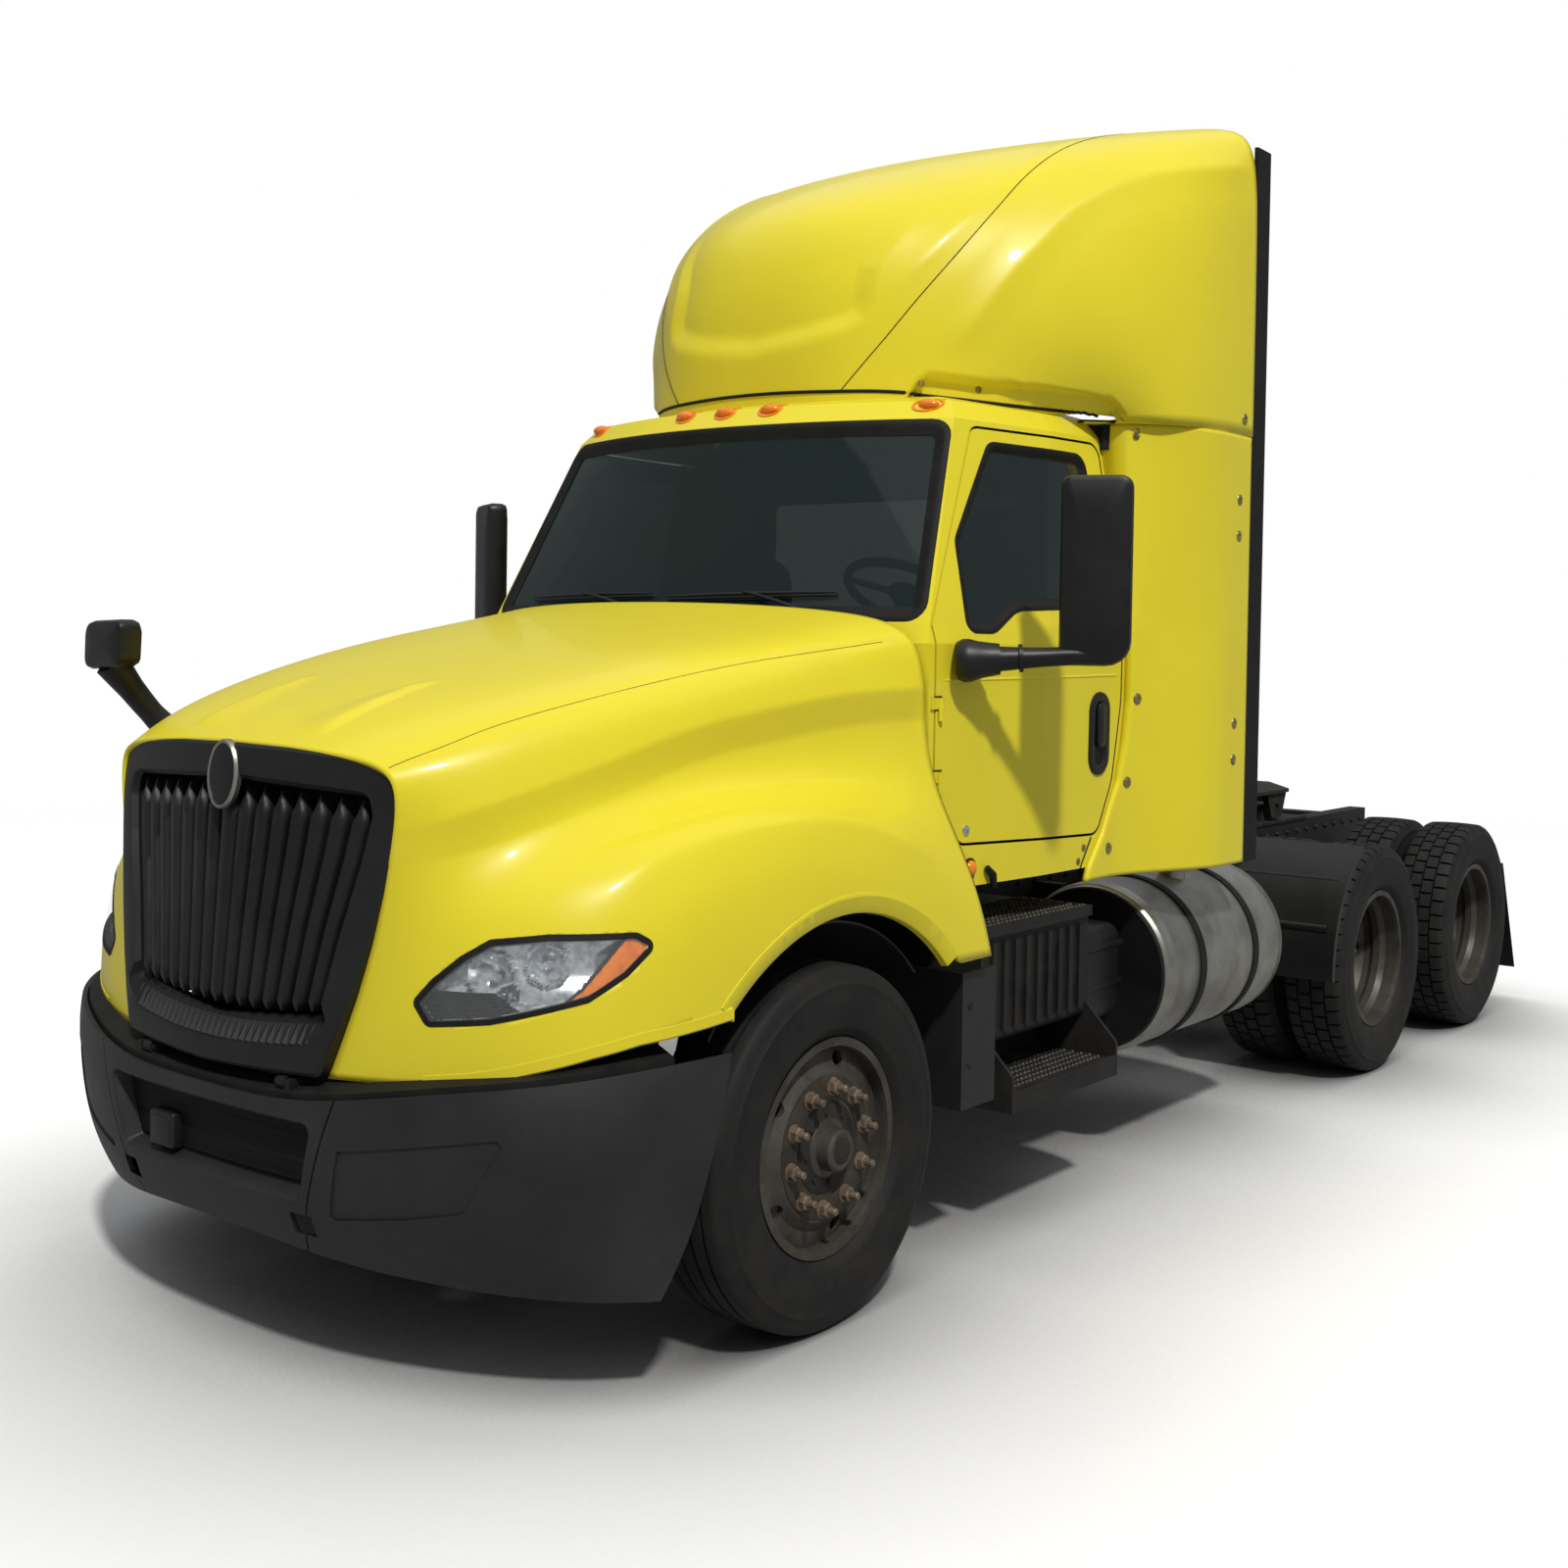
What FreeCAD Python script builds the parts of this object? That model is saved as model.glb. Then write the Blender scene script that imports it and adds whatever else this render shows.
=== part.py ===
import FreeCAD, Part
import math
import os
from FreeCAD import Vector

# Day cab semi truck tractor with three axles, in millimetres.
# The truck faces -Y and its left side is +X. The origin is on the ground, at mid length and mid width.
# Lengths along the truck are given as s, the distance behind the front face of the bumper.

# Axles and wheels
front_axle_s = 1225.0
front_to_drive = 4045.0
bogie_spacing = 1320.0
rear_overhang = 850.0
drive_axle_s = [front_axle_s + front_to_drive, front_axle_s + front_to_drive + bogie_spacing]
bogie_s = (drive_axle_s[0] + drive_axle_s[1]) / 2
overall_length = drive_axle_s[1] + rear_overhang
nose_y = -overall_length / 2

tyre_radius = 508.0
tyre_width = 278.0
rim_radius = 292.0
rim_lip = 12.0
rim_flange = 8.0
rim_half_width = 108.0
spindle_radius = 38.0
axle_tube_radius = 60.0
front_track = 2100.0
dual_spacing = 330.0
drive_track = 1850.0
hub_radius = 140.0
axle_height = tyre_radius
kingpin_inset = 160.0
kingpin_x = front_track / 2 - kingpin_inset
kingpin_radius = 24.0
tie_rod_offset = 230.0
tie_pin_radius = 11.0
tie_rod_drop = 146.0
knuckle_gap = 6.0
beam_eye_radius = 48.0
beam_eye_height = 110.0
running_gap = 0.3
seat_gap = 0.3

# Ladder frame
frame_outer_width = 864.0
rail_height = 267.0
rail_flange = 89.0
rail_web = 9.0
rail_top = 1010.0
rail_front_s = 330.0
rail_to_flap = 310.0
rail_rear_s = overall_length - rail_to_flap
rail_bottom = rail_top - rail_height
rail_x = frame_outer_width / 2
crossmember_length = 160.0
last_crossmember = 110.0

# Cab
cab_wall = 45.0
cab_floor_z = 1130.0
cab_belt_z = 1960.0
cab_header_z = 2640.0
cab_roof_z = 2745.0
cab_rear_s = 3150.0
cab_half_width = 1070.0
door_gap = 9.0
door_hinge_x = 1018.0
door_hinge_s = 1956.0
door_hinge_radius = 9.0
door_pin_radius = 4.0
door_hinge_z = [1430.0, 1660.0]
door_hinge_half = 36.0
crossmember_s = [cab_rear_s - 750, cab_rear_s + 350, drive_axle_s[0] - 770, bogie_s, rail_rear_s - last_crossmember]
glass_thickness = 6.0
glass_inset = 12.0

# Hood, which carries the grille and tilts forward
hood_wall = 16.0
hood_pivot_s = 60.0
hood_pivot_z = 765.0
hood_pin_radius = 12.0
hood_arm_x = 300.0
arch_radius = 655.0
arch_s = 1262.0
arch_z = 500.0

# Roof fairing and side extenders
fairing_wall = 12.0
fairing_rear_s = 3700.0
fairing_seam_z = 2700.0
extender_flare = 175.0
extender_half_width = cab_half_width + extender_flare
fairing_half_width = extender_half_width + 5.0
extender_wall = 14.0
extender_bottom_z = 1085.0
extender_seal = 120.0
extender_edge_top_z = 3780.0

# Bumper
bumper_wall = 14.0
bumper_seam_top_x = 530.0
bumper_seam_bottom_x = 350.0
bumper_seam_gap = 6.0
bumper_recess = 6.0


def at(x, s, z):
    return Vector(x, nose_y + s, z)


def block(x0, x1, s0, s1, z0, z1):
    return Part.makeBox(x1 - x0, s1 - s0, z1 - z0, at(x0, s0, z0))


def rod(start, end, radius):
    return Part.makeCylinder(radius, (end - start).Length, start, end - start)


def rod_x(x0, x1, s, z, radius):
    return rod(at(x0, s, z), at(x1, s, z), radius)


def fused(shapes):
    whole = shapes[0].multiFuse(shapes[1:]) if len(shapes) > 1 else shapes[0]
    return whole.removeSplitter()


def mirrored(shape):
    return shape.mirror(Vector(0, 0, 0), Vector(1, 0, 0))


def soft_wire(outline, place):
    """A closed wire through (a, b) or (a, b, radius) corners, where a radius makes the corner an arc."""
    starts, ends, arcs = [], [], []
    count = len(outline)
    for i in range(count):
        before, corner, after = outline[i - 1], outline[i], outline[(i + 1) % count]
        here = Vector(corner[0], corner[1], 0)
        back = (Vector(before[0], before[1], 0) - here).normalize()
        ahead = (Vector(after[0], after[1], 0) - here).normalize()
        if len(corner) < 3 or corner[2] < 0.1:
            starts.append(here)
            ends.append(here)
            arcs.append(None)
            continue
        half_angle = back.getAngle(ahead) / 2
        run = corner[2] / math.tan(half_angle)
        middle = (back + ahead).normalize() * (corner[2] / math.sin(half_angle) - corner[2])
        starts.append(here + back * run)
        ends.append(here + ahead * run)
        arcs.append(here + middle)
    edges = []
    for i in range(count):
        if arcs[i] is not None:
            points = [place(p.x, p.y) for p in (starts[i], arcs[i], ends[i])]
            edges.append(Part.Arc(*points).toShape())
        first, second = ends[i], starts[(i + 1) % count]
        if (second - first).Length > 0.01:
            edges.append(Part.makeLine(place(first.x, first.y), place(second.x, second.y)))
    return Part.Wire(edges)


def prism(outline, place, direction):
    return Part.Face(soft_wire(outline, place)).extrude(direction)


def side_prism(outline, x0, x1):
    """Extrudes an outline of (s, z) corners across the truck."""
    return prism(outline, lambda s, z: at(x0, s, z), Vector(x1 - x0, 0, 0))


def front_prism(outline, s0, s1):
    """Extrudes an outline of (x, z) corners along the truck."""
    return prism(outline, lambda x, z: at(x, s0, z), Vector(0, s1 - s0, 0))


def plan_prism(outline, z0, z1):
    """Extrudes an outline of (x, s) corners upwards."""
    return prism(outline, lambda x, s: at(x, s, z0), Vector(0, 0, z1 - z0))


def rounded(shape, radius, picked=None):
    edges = [e for e in shape.Edges if picked is None or picked(e)]
    return shape.makeFillet(radius, edges)


def uprights(axis):
    """Picks straight edges that run along an axis."""
    def picked(edge):
        if len(edge.Vertexes) != 2:
            return False
        run = edge.Vertexes[1].Point - edge.Vertexes[0].Point
        return run.Length > 1e-6 and abs(run.normalize().dot(axis)) > 0.99
    return picked


along_x = Vector(1, 0, 0)
along_s = Vector(0, 1, 0)
upwards = Vector(0, 0, 1)


# Curved skins over a net of poles
def knots_for(count, degree):
    spans = count - degree
    return [i / spans for i in range(spans + 1)], [degree + 1] + [1] * (spans - 1) + [degree + 1]


def spline_face(net, row_degree=3, column_degree=3):
    row_knots, row_repeats = knots_for(len(net), row_degree)
    column_knots, column_repeats = knots_for(len(net[0]), column_degree)
    surface = Part.BSplineSurface()
    surface.buildFromPolesMultsKnots(net, row_repeats, column_repeats, row_knots, column_knots,
                                     False, False, row_degree, column_degree)
    return surface.toShape()


def moved_in(net, distance, inside):
    """The net moved inwards by a distance, along the normals of the net itself."""
    rows, columns = len(net), len(net[0])
    result = []
    for i in range(rows):
        line = []
        for j in range(columns):
            along = net[min(i + 1, rows - 1)][j] - net[max(i - 1, 0)][j]
            across = net[i][min(j + 1, columns - 1)] - net[i][max(j - 1, 0)]
            normal = along.cross(across).normalize()
            if normal.dot(net[i][j] - inside) > 0:
                normal = normal * -1
            line.append(net[i][j] + normal * distance)
        result.append(line)
    return result


def solid_between(outer, inner):
    """A closed solid between two nets of the same size."""
    faces = [spline_face(outer), spline_face(inner)]
    for edge_of in (lambda n: n[0], lambda n: n[-1], lambda n: [r[0] for r in n], lambda n: [r[-1] for r in n]):
        faces.append(spline_face([edge_of(outer), edge_of(inner)], 1, 3))
    shell = Part.makeShell(faces)
    shell.sewShape(0.01)
    solid = Part.makeSolid(Part.Shell(shell.Faces))
    if solid.Volume < 0:
        solid.reverse()
    return solid


def whole_net(half_rows):
    """Each row runs from the middle outwards on the left, and is mirrored to the right."""
    net = []
    for row in half_rows:
        left = [at(x, s, z) for x, s, z in row]
        right = [Vector(-p.x, p.y, p.z) for p in reversed(left[1:])]
        net.append(right + left)
    return net


def skin(half_rows, start, thickness, inside):
    """A curved skin whose outer face lies at start inside the net, and its inner face at thickness more."""
    net = whole_net(half_rows)
    outer = moved_in(net, start, inside) if start else net
    return solid_between(outer, moved_in(net, start + thickness, inside))


# Each row of the hood net runs from the middle of the top, out over the shoulder and the fender,
# to the lower edge. The first row follows the grille and the last one the cab.
hood_rows = [
    [(0, 105, 1618), (240, 108, 1614), (430, 120, 1602), (575, 142, 1582), (614, 152, 1515), (600, 150, 1395),
     (572, 146, 1260), (540, 138, 1130), (500, 125, 1000), (460, 112, 890), (420, 100, 785)],
    [(0, 250, 1695), (280, 250, 1690), (520, 255, 1672), (660, 265, 1625), (712, 270, 1530), (725, 262, 1400),
     (745, 240, 1280), (765, 210, 1150), (770, 180, 1020), (765, 165, 900), (755, 160, 800)],
    [(0, 480, 1765), (300, 480, 1760), (590, 480, 1745), (755, 480, 1695), (805, 480, 1600), (820, 475, 1465),
     (880, 430, 1380), (985, 395, 1310), (1065, 365, 1180), (1085, 345, 1000), (1085, 345, 830)],
    [(0, 830, 1850), (340, 830, 1846), (670, 830, 1830), (850, 830, 1780), (905, 830, 1680), (895, 830, 1540),
     (940, 810, 1480), (1070, 790, 1465), (1170, 780, 1370), (1205, 770, 1170), (1200, 740, 930)],
    [(0, 1220, 1925), (370, 1220, 1922), (740, 1220, 1905), (915, 1220, 1860), (965, 1220, 1760), (955, 1220, 1600),
     (985, 1220, 1500), (1090, 1220, 1490), (1180, 1220, 1400), (1215, 1240, 1200), (1215, 1250, 950)],
    [(0, 1520, 1985), (380, 1535, 1980), (760, 1580, 1960), (920, 1610, 1915), (970, 1620, 1815), (985, 1620, 1640),
     (1010, 1620, 1500), (1095, 1630, 1440), (1180, 1650, 1340), (1215, 1700, 1160), (1215, 1740, 950)],
    [(0, 1700, 2025), (390, 1718, 2020), (775, 1800, 1998), (942, 1868, 1955), (992, 1890, 1850), (1008, 1890, 1670),
     (1030, 1888, 1510), (1078, 1890, 1400), (1145, 1905, 1260), (1195, 1940, 1100), (1210, 1970, 950)],
]
hood_inside = at(0, 1000, 1000)

fairing_rows = [
    [(0, 2232, 2690), (220, 2236, 2690), (400, 2275, 2690), (540, 2350, 2690), (670, 2460, 2690), (790, 2600, 2690),
     (880, 2780, 2690), (940, 2970, 2690)],
    [(0, 2200, 3000), (240, 2210, 3000), (430, 2270, 2995), (580, 2370, 2985), (730, 2500, 2965), (870, 2660, 2920),
     (980, 2850, 2850), (1040, 3030, 2695)],
    [(0, 2225, 3330), (260, 2245, 3325), (460, 2340, 3310), (640, 2480, 3280), (820, 2640, 3190), (970, 2800, 3060),
     (1070, 2940, 2920), (1125, 3090, 2695)],
    [(0, 2480, 3530), (280, 2500, 3520), (540, 2600, 3505), (780, 2760, 3470), (980, 2900, 3360), (1100, 3000, 3180),
     (1155, 3070, 2960), (1185, 3160, 2695)],
    [(0, 2950, 3740), (320, 2960, 3730), (660, 3000, 3712), (950, 3080, 3670), (1130, 3160, 3560), (1200, 3230, 3320),
     (1225, 3280, 3020), (1230, 3310, 2695)],
    [(0, 3350, 3860), (330, 3355, 3855), (720, 3370, 3845), (1060, 3400, 3810), (1215, 3430, 3700), (1240, 3450, 3420),
     (1245, 3470, 3060), (1245, 3480, 2695)],
    [(0, 3700, 3925), (340, 3700, 3922), (760, 3700, 3910), (1130, 3700, 3880), (1240, 3700, 3800), (1250, 3700, 3500),
     (1250, 3700, 3080), (1250, 3700, 2695)],
]
fairing_inside = at(0, 3400, 2700)

bumper_rows = [
    [(0, 4, 728), (250, 8, 728), (480, 24, 745), (780, 125, 800), (1000, 260, 825), (1140, 450, 850), (1205, 745, 862)],
    [(0, -2, 670), (250, 2, 672), (510, 25, 690), (800, 125, 730), (1030, 262, 750), (1165, 450, 770), (1215, 720, 780)],
    [(0, 0, 560), (250, 4, 560), (510, 30, 560), (800, 135, 560), (1030, 275, 560), (1160, 445, 560), (1210, 660, 560)],
    [(0, 20, 430), (250, 26, 430), (500, 58, 415), (780, 165, 400), (1000, 295, 395), (1130, 440, 390), (1190, 600, 390)],
    [(0, 60, 355), (250, 66, 350), (480, 105, 325), (740, 210, 300), (950, 325, 285), (1090, 440, 278), (1160, 540, 275)],
]
bumper_inside = at(0, 700, 560)


def cab_section(z, front_s, corner, middle, rear, inward):
    """One level of the cab: a bowed front, sides that widen to the middle of the door, and a straight back."""
    points = [(corner[0] - inward * 0.7, corner[1] + inward), (middle[0] - inward, middle[1]),
              (rear[0] - inward, rear[1] - inward)]
    left = [at(x, s, z) for x, s in points]
    right = [at(-x, s, z) for x, s in reversed(points)]
    front = Part.Arc(right[-1], at(0, front_s + inward, z), left[0]).toShape()
    line = left + right
    return Part.Wire([front] + [Part.makeLine(a, b) for a, b in zip(line, line[1:])])


def cab_solid(inward=0.0):
    """The outside of the cab, or the same form with every wall moved inwards."""
    widest = cab_half_width
    levels = [
        (cab_floor_z + inward, 1850, (widest - 55, 1905), (widest - 8, 2500), (widest - 5, cab_rear_s)),
        (cab_belt_z - 60, 1790, (widest - 67, 1905), (widest - 2, 2500), (widest, cab_rear_s)),
        (cab_belt_z, 1782, (widest - 83, 1930), (widest - 8, 2540), (widest, cab_rear_s)),
        (cab_header_z, 2050, (widest - 213, 2248), (widest - 138, 2740), (widest - 118, cab_rear_s - 10)),
        (cab_roof_z - 40.0 - inward * 0.6, 2110, (widest - 258, 2300), (widest - 185, 2760),
         (widest - 158, cab_rear_s - 25)),
        (cab_roof_z - inward, 2290, (widest - 410, 2450), (widest - 330, 2800), (widest - 290, cab_rear_s - 80)),
    ]
    return Part.makeLoft([cab_section(z, f, c, m, r, inward) for z, f, c, m, r in levels], True, True)


door_outline = [(1935, 1960), (1925, 1420, 60), (2060, 1262, 60), (2885, 1236, 70), (2985, 1420, 200),
                (3040, 1700, 300), (3047, 2624, 60), (2322, 2622, 60)]
window_outline = [(2118, 1948, 28), (2240, 1946, 60), (2375, 2022, 120), (2922, 2044, 36), (2926, 2562, 48),
                  (2400, 2562, 60), (2140, 2230, 60)]
reach = 2600.0


def grown(outline, distance):
    """An outline moved outwards all round. A rounded corner keeps its centre."""
    count = len(outline)
    area = sum(outline[i][0] * outline[(i + 1) % count][1] - outline[(i + 1) % count][0] * outline[i][1]
               for i in range(count)) / 2
    turn = 1 if area > 0 else -1
    result = []
    for i in range(count):
        before, corner, after = outline[i - 1], outline[i], outline[(i + 1) % count]
        first = Vector(corner[0] - before[0], corner[1] - before[1], 0).normalize()
        second = Vector(after[0] - corner[0], after[1] - corner[1], 0).normalize()
        n1 = Vector(first.y, -first.x, 0) * turn
        n2 = Vector(second.y, -second.x, 0) * turn
        push = (n1 + n2) * (distance / (1 + n1.dot(n2)))
        moved = (corner[0] + push.x, corner[1] + push.y)
        if len(corner) > 2:
            outward = 1 if first.cross(second).z * turn > 0 else -1
            moved += (max(corner[2] + outward * distance, 0.0),)
        result.append(moved)
    return result


windscreen_outline = [(-945, 1990, 30), (945, 1990, 30), (836, 2614, 50), (-836, 2614, 50)]
rear_window_outline = [(-620, 2010, 60), (620, 2010, 60), (620, 2480, 60), (-620, 2480, 60)]
cab_middle_s = 2500.0


def door_cutter(outline, depth):
    """The space of a door: its outline, from outside the cab to a depth inside the side wall."""
    space = side_prism(outline, 500, 1300)
    core = cab_solid()
    core.translate(Vector(-depth, 0, 0))
    return space.cut(core)


def cab_shell():
    shell = cab_solid().cut(cab_solid(cab_wall))
    opening = door_cutter(door_outline, cab_wall + 5 + door_gap)
    shell = shell.cut(opening).cut(mirrored(opening))
    shell = shell.cut(front_prism(windscreen_outline, 1500, cab_middle_s))
    shell = shell.cut(front_prism(rear_window_outline, cab_middle_s + 300, cab_rear_s + 150))
    pieces = [max(shell.Solids, key=lambda s: s.Volume)]
    for side in (1, -1):
        for foot in door_hinge_z:
            x, s, z = side * door_hinge_x, door_hinge_s, foot + door_hinge_half + seat_gap
            x0, x1 = sorted((side * (door_hinge_x - 16), side * (door_hinge_x - 4)))
            pieces.append(block(x0, x1, s - 46, s, z, z + door_hinge_half - 1))
            pieces.append(rod(at(x, s, z), at(x, s, z + door_hinge_half - 1), door_hinge_radius))
            pieces.append(rod(at(x, s, foot + 2), at(x, s, z + 2), door_pin_radius))
    return fused(pieces)


def cab_glass():
    pane = cab_solid(glass_inset).cut(cab_solid(glass_inset + glass_thickness))
    windscreen = pane.common(front_prism(grown(windscreen_outline, -seat_gap), 1500, cab_middle_s))
    rear = pane.common(front_prism(grown(rear_window_outline, -seat_gap), cab_middle_s + 300, cab_rear_s + 150))
    return Part.Compound([windscreen.Solids[0], rear.Solids[0]])


def door():
    """The side wall inside the door outline, with the window cut and two hinge barrels on its front edge."""
    wall = cab_solid().cut(cab_solid(cab_wall))
    panel = wall.common(door_cutter(grown(door_outline, -door_gap), cab_wall + 5))
    panel = panel.cut(side_prism(window_outline, 500, 1300))
    panel = max(panel.Solids, key=lambda s: s.Volume)
    axis = [at(door_hinge_x, door_hinge_s, z) for z in door_hinge_z]
    for foot in axis:
        z = foot.z + door_hinge_half
        panel = panel.cut(block(door_hinge_x - 22, door_hinge_x + 20, door_hinge_s - 30, door_hinge_s + 16, z - 6,
                                z + door_hinge_half + 6))
    barrels = [rod(foot, foot + upwards * door_hinge_half, door_hinge_radius) for foot in axis]
    whole = fused([panel] + barrels)
    for foot in axis:
        whole = whole.cut(rod(foot - upwards, foot + upwards * 60, door_pin_radius + running_gap))
    return whole


def door_glass():
    pane = cab_solid(glass_inset).cut(cab_solid(glass_inset + glass_thickness))
    return pane.common(side_prism(grown(window_outline, -seat_gap), 500, 1300))


mirror_centre = at(1384, 2267, 0)
mirror_size = (228.0, 80.0)
mirror_z = (1865.0, 2430.0)
mirror_toe = 27.0


def mirror():
    """The mirror head, turned in towards the driver, on an arm bolted to the front of the door."""
    width, depth = mirror_size
    head = Part.makeBox(width, depth, mirror_z[1] - mirror_z[0], Vector(-width / 2, -depth / 2, mirror_z[0]))
    head = rounded(head, 34, None)
    head.rotate(Vector(0, 0, 0), upwards, mirror_toe)
    head.translate(mirror_centre)
    base = block(990, 1105, 1975, 2090, 1800, 1900)
    base = base.cut(cab_solid(-seat_gap))
    arm = rod(at(1085, 2035, 1850), at(1384, 2262, 1905), 30)
    return fused([head, base, arm])


# Hood, grille and lamps
grille_inner = [(-550, 1440, 30), (-520, 1505, 30), (0, 1532), (520, 1505, 30), (550, 1440, 30), (385, 918, 40), (0, 880, 60),
                (-385, 918, 40)]
nose_lean = 0.075
nose_vee = 90.0 / 700.0
vane_count = 15
vane_pitch = 68.0
vane_width = 36.0


grille_front_s = 25.0
grille_depth = 75.0


def nose_slab(z0, z1, front, depth):
    """A slab that is veed in plan and leans back, from which the grille pieces are cut."""
    half = 700.0
    vee = half * nose_vee

    def level(z):
        back = front + (z - 700) * nose_lean
        line = [(-half, back + vee), (0, back), (half, back + vee), (half, back + vee + depth), (0, back + depth),
                (-half, back + vee + depth)]
        points = [at(x, s, z) for x, s in line]
        return Part.makePolygon(points + points[:1])

    return Part.makeLoft([level(z0), level(z1)], True, True)


def nose_prism(clearance):
    """Extrudes the front edge of the hood along the truck, a clearance inside the hood's inner face."""
    poles = moved_in(whole_net(hood_rows), hood_wall + clearance, hood_inside)[0]
    flat = [at(p.x, -100, p.z) for p in poles]
    knots, repeats = knots_for(len(flat), 3)
    curve = Part.BSplineCurve()
    curve.buildFromPolesMultsKnots(flat, repeats, knots, False, 3)
    closing = Part.makeLine(flat[-1], flat[0])
    return Part.Face(Part.Wire([curve.toShape(), closing])).extrude(Vector(0, 500, 0))


def grille_surround():
    slab = nose_slab(700, 1700, grille_front_s, grille_depth)
    return slab.common(nose_prism(seat_gap)).cut(front_prism(grille_inner, -100, 400))


def grille_bars():
    """Upright vanes with rounded fronts and pointed tops, on two rails behind them."""
    bars = []
    for i in range(vane_count):
        x = (i - (vane_count - 1) / 2) * vane_pitch
        half = vane_width / 2 if x else vane_width * 0.85
        foot, top = 905 + abs(x) * 0.05, 1500 - abs(x) * 0.06
        if abs(x) > 385:
            foot = 920 + (abs(x) + half - 385) * 3.2
        outline = [(x - half, foot), (x + half, foot), (x + half, top - 30), (x, top), (x - half, top - 30)]
        wires = []
        for z in (800.0, 1650.0):
            front = grille_front_s + 15 + (z - 700) * nose_lean + abs(x) * nose_vee
            section = [(x - half, front + 44), (x - half, front, 13), (x + half, front, 13), (x + half, front + 44)]
            wires.append(soft_wire(section, lambda across, s, z=z: at(across, s, z)))
        bars.append(Part.makeLoft(wires, True, True).common(front_prism(outline, -100, 400)))
    rails = nose_slab(700, 1700, 79, 16)
    rungs = []
    for z in (1000.0, 1400.0):
        rungs.append(front_prism([(-600, z - 15), (600, z - 15), (600, z + 15), (-600, z + 15)], -100, 400))
    rails = rails.common(Part.Compound(rungs)).common(front_prism(grown(grille_inner, -seat_gap), -100, 400))
    return fused(bars + rails.Solids)


lamp_direction = Vector(-0.73, 0.68, 0).normalize()
lamp_outline = [(-196, 1003), (-160, 947), (-6, 964), (230, 1020), (325, 1079), (401, 1151),
                (348, 1180), (133, 1178), (-8, 1162), (-78, 1120), (-147, 1061)]
lamp_centre = at(860, 250, 0)


def lamp_prism(outline):
    """Extrudes the lamp outline into the fender, square to the lens."""
    across = Vector(-lamp_direction.y, lamp_direction.x, 0) * -1
    return prism(outline, lambda a, z: lamp_centre + across * a + Vector(0, 0, z) - lamp_direction * 400,
                 lamp_direction * 800)


def arch_cut():
    return rod_x(-1400, 1400, arch_s, arch_z, arch_radius)


def hood():
    body = skin(hood_rows, 0, hood_wall, hood_inside)
    body = body.cut(arch_cut())
    for cutter in (lamp_prism(lamp_outline), mirrored(lamp_prism(lamp_outline))):
        body = body.cut(cutter)
    return body


def headlamps():
    body = skin(hood_rows, 1.0, 70.0, hood_inside)
    left = body.common(lamp_prism(grown(lamp_outline, -1.0)))
    left = max(left.Solids, key=lambda s: s.Volume)
    return Part.Compound([left, mirrored(left)])


def fairing():
    """The roof fairing, whose net widens with the extenders below it, with a floor from its foot in to the cab."""
    wider = fairing_half_width / fairing_rows[-1][-1][0]
    rows = [[(x * wider, s, z) for x, s, z in row] for row in fairing_rows]
    skirt = skin(rows, 0, fairing_wall, fairing_inside)
    foot = [row[-1] for row in moved_in(whole_net(rows), fairing_wall / 2, fairing_inside)]
    floor_z = fairing_seam_z - 10 + seat_gap
    flat = [Vector(p.x, p.y, floor_z) for p in foot]
    knots, repeats = knots_for(len(flat), 3)
    curve = Part.BSplineCurve()
    curve.buildFromPolesMultsKnots(flat, repeats, knots, False, 3)
    inner_x = cab_half_width - 270
    corners = [flat[-1], Vector(inner_x, flat[-1].y, floor_z), Vector(inner_x, flat[0].y, floor_z), flat[0]]
    sides = [Part.makeLine(a, b) for a, b in zip(corners, corners[1:])]
    floor = Part.Face(Part.Wire([curve.toShape()] + sides)).extrude(upwards * 10)
    whole = skirt.fuse([floor, mirrored(floor)])
    whole = whole.cut(block(-2000, 2000, fairing_rear_s, fairing_rear_s + 500, fairing_seam_z - 500, 5000))
    return max(whole.cut(cab_solid(-seat_gap)).Solids, key=lambda s: s.Volume)


def extender():
    """One side panel over the back of the cab, leaning in with it and flaring out to the width of the fairing."""
    low_x = cab_half_width + extender_wall + seat_gap
    high_x = cab_half_width - 110
    low = [(low_x, cab_rear_s - 270), (low_x + 8, cab_rear_s - 70), (cab_half_width + extender_flare * 0.54, cab_rear_s + 130),
           (extender_half_width, cab_rear_s + 350, 120), (extender_half_width, fairing_rear_s)]
    high = [(high_x, cab_rear_s - 270), (high_x + 8, cab_rear_s - 95), (high_x + extender_flare, cab_rear_s + 38),
            (extender_half_width, cab_rear_s + 250, 120), (extender_half_width, fairing_rear_s)]
    wires = []
    for plan, z in ((low, extender_bottom_z), (low, cab_belt_z), (high, fairing_seam_z - 10)):
        inner = [(c[0] - extender_wall,) + tuple(c[1:]) for c in reversed(plan)]
        wires.append(soft_wire(plan + inner, lambda x, s, z=z: at(x, s, z)))
    panel = Part.makeLoft(wires, True, True)
    front = cab_rear_s - 260
    outline = [(front, 1000), (fairing_rear_s + 100, 1000), (fairing_rear_s + 100, 2800), (front + 168, 2800),
               (front + 168, 1700), (front + 112, 1420)]
    return panel.common(side_prism(outline, cab_half_width - 170, extender_half_width + 160))


def extender_edge():
    return block(extender_half_width - extender_wall, extender_half_width, fairing_rear_s + seat_gap,
                 fairing_rear_s + extender_seal, extender_bottom_z, extender_edge_top_z)


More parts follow.
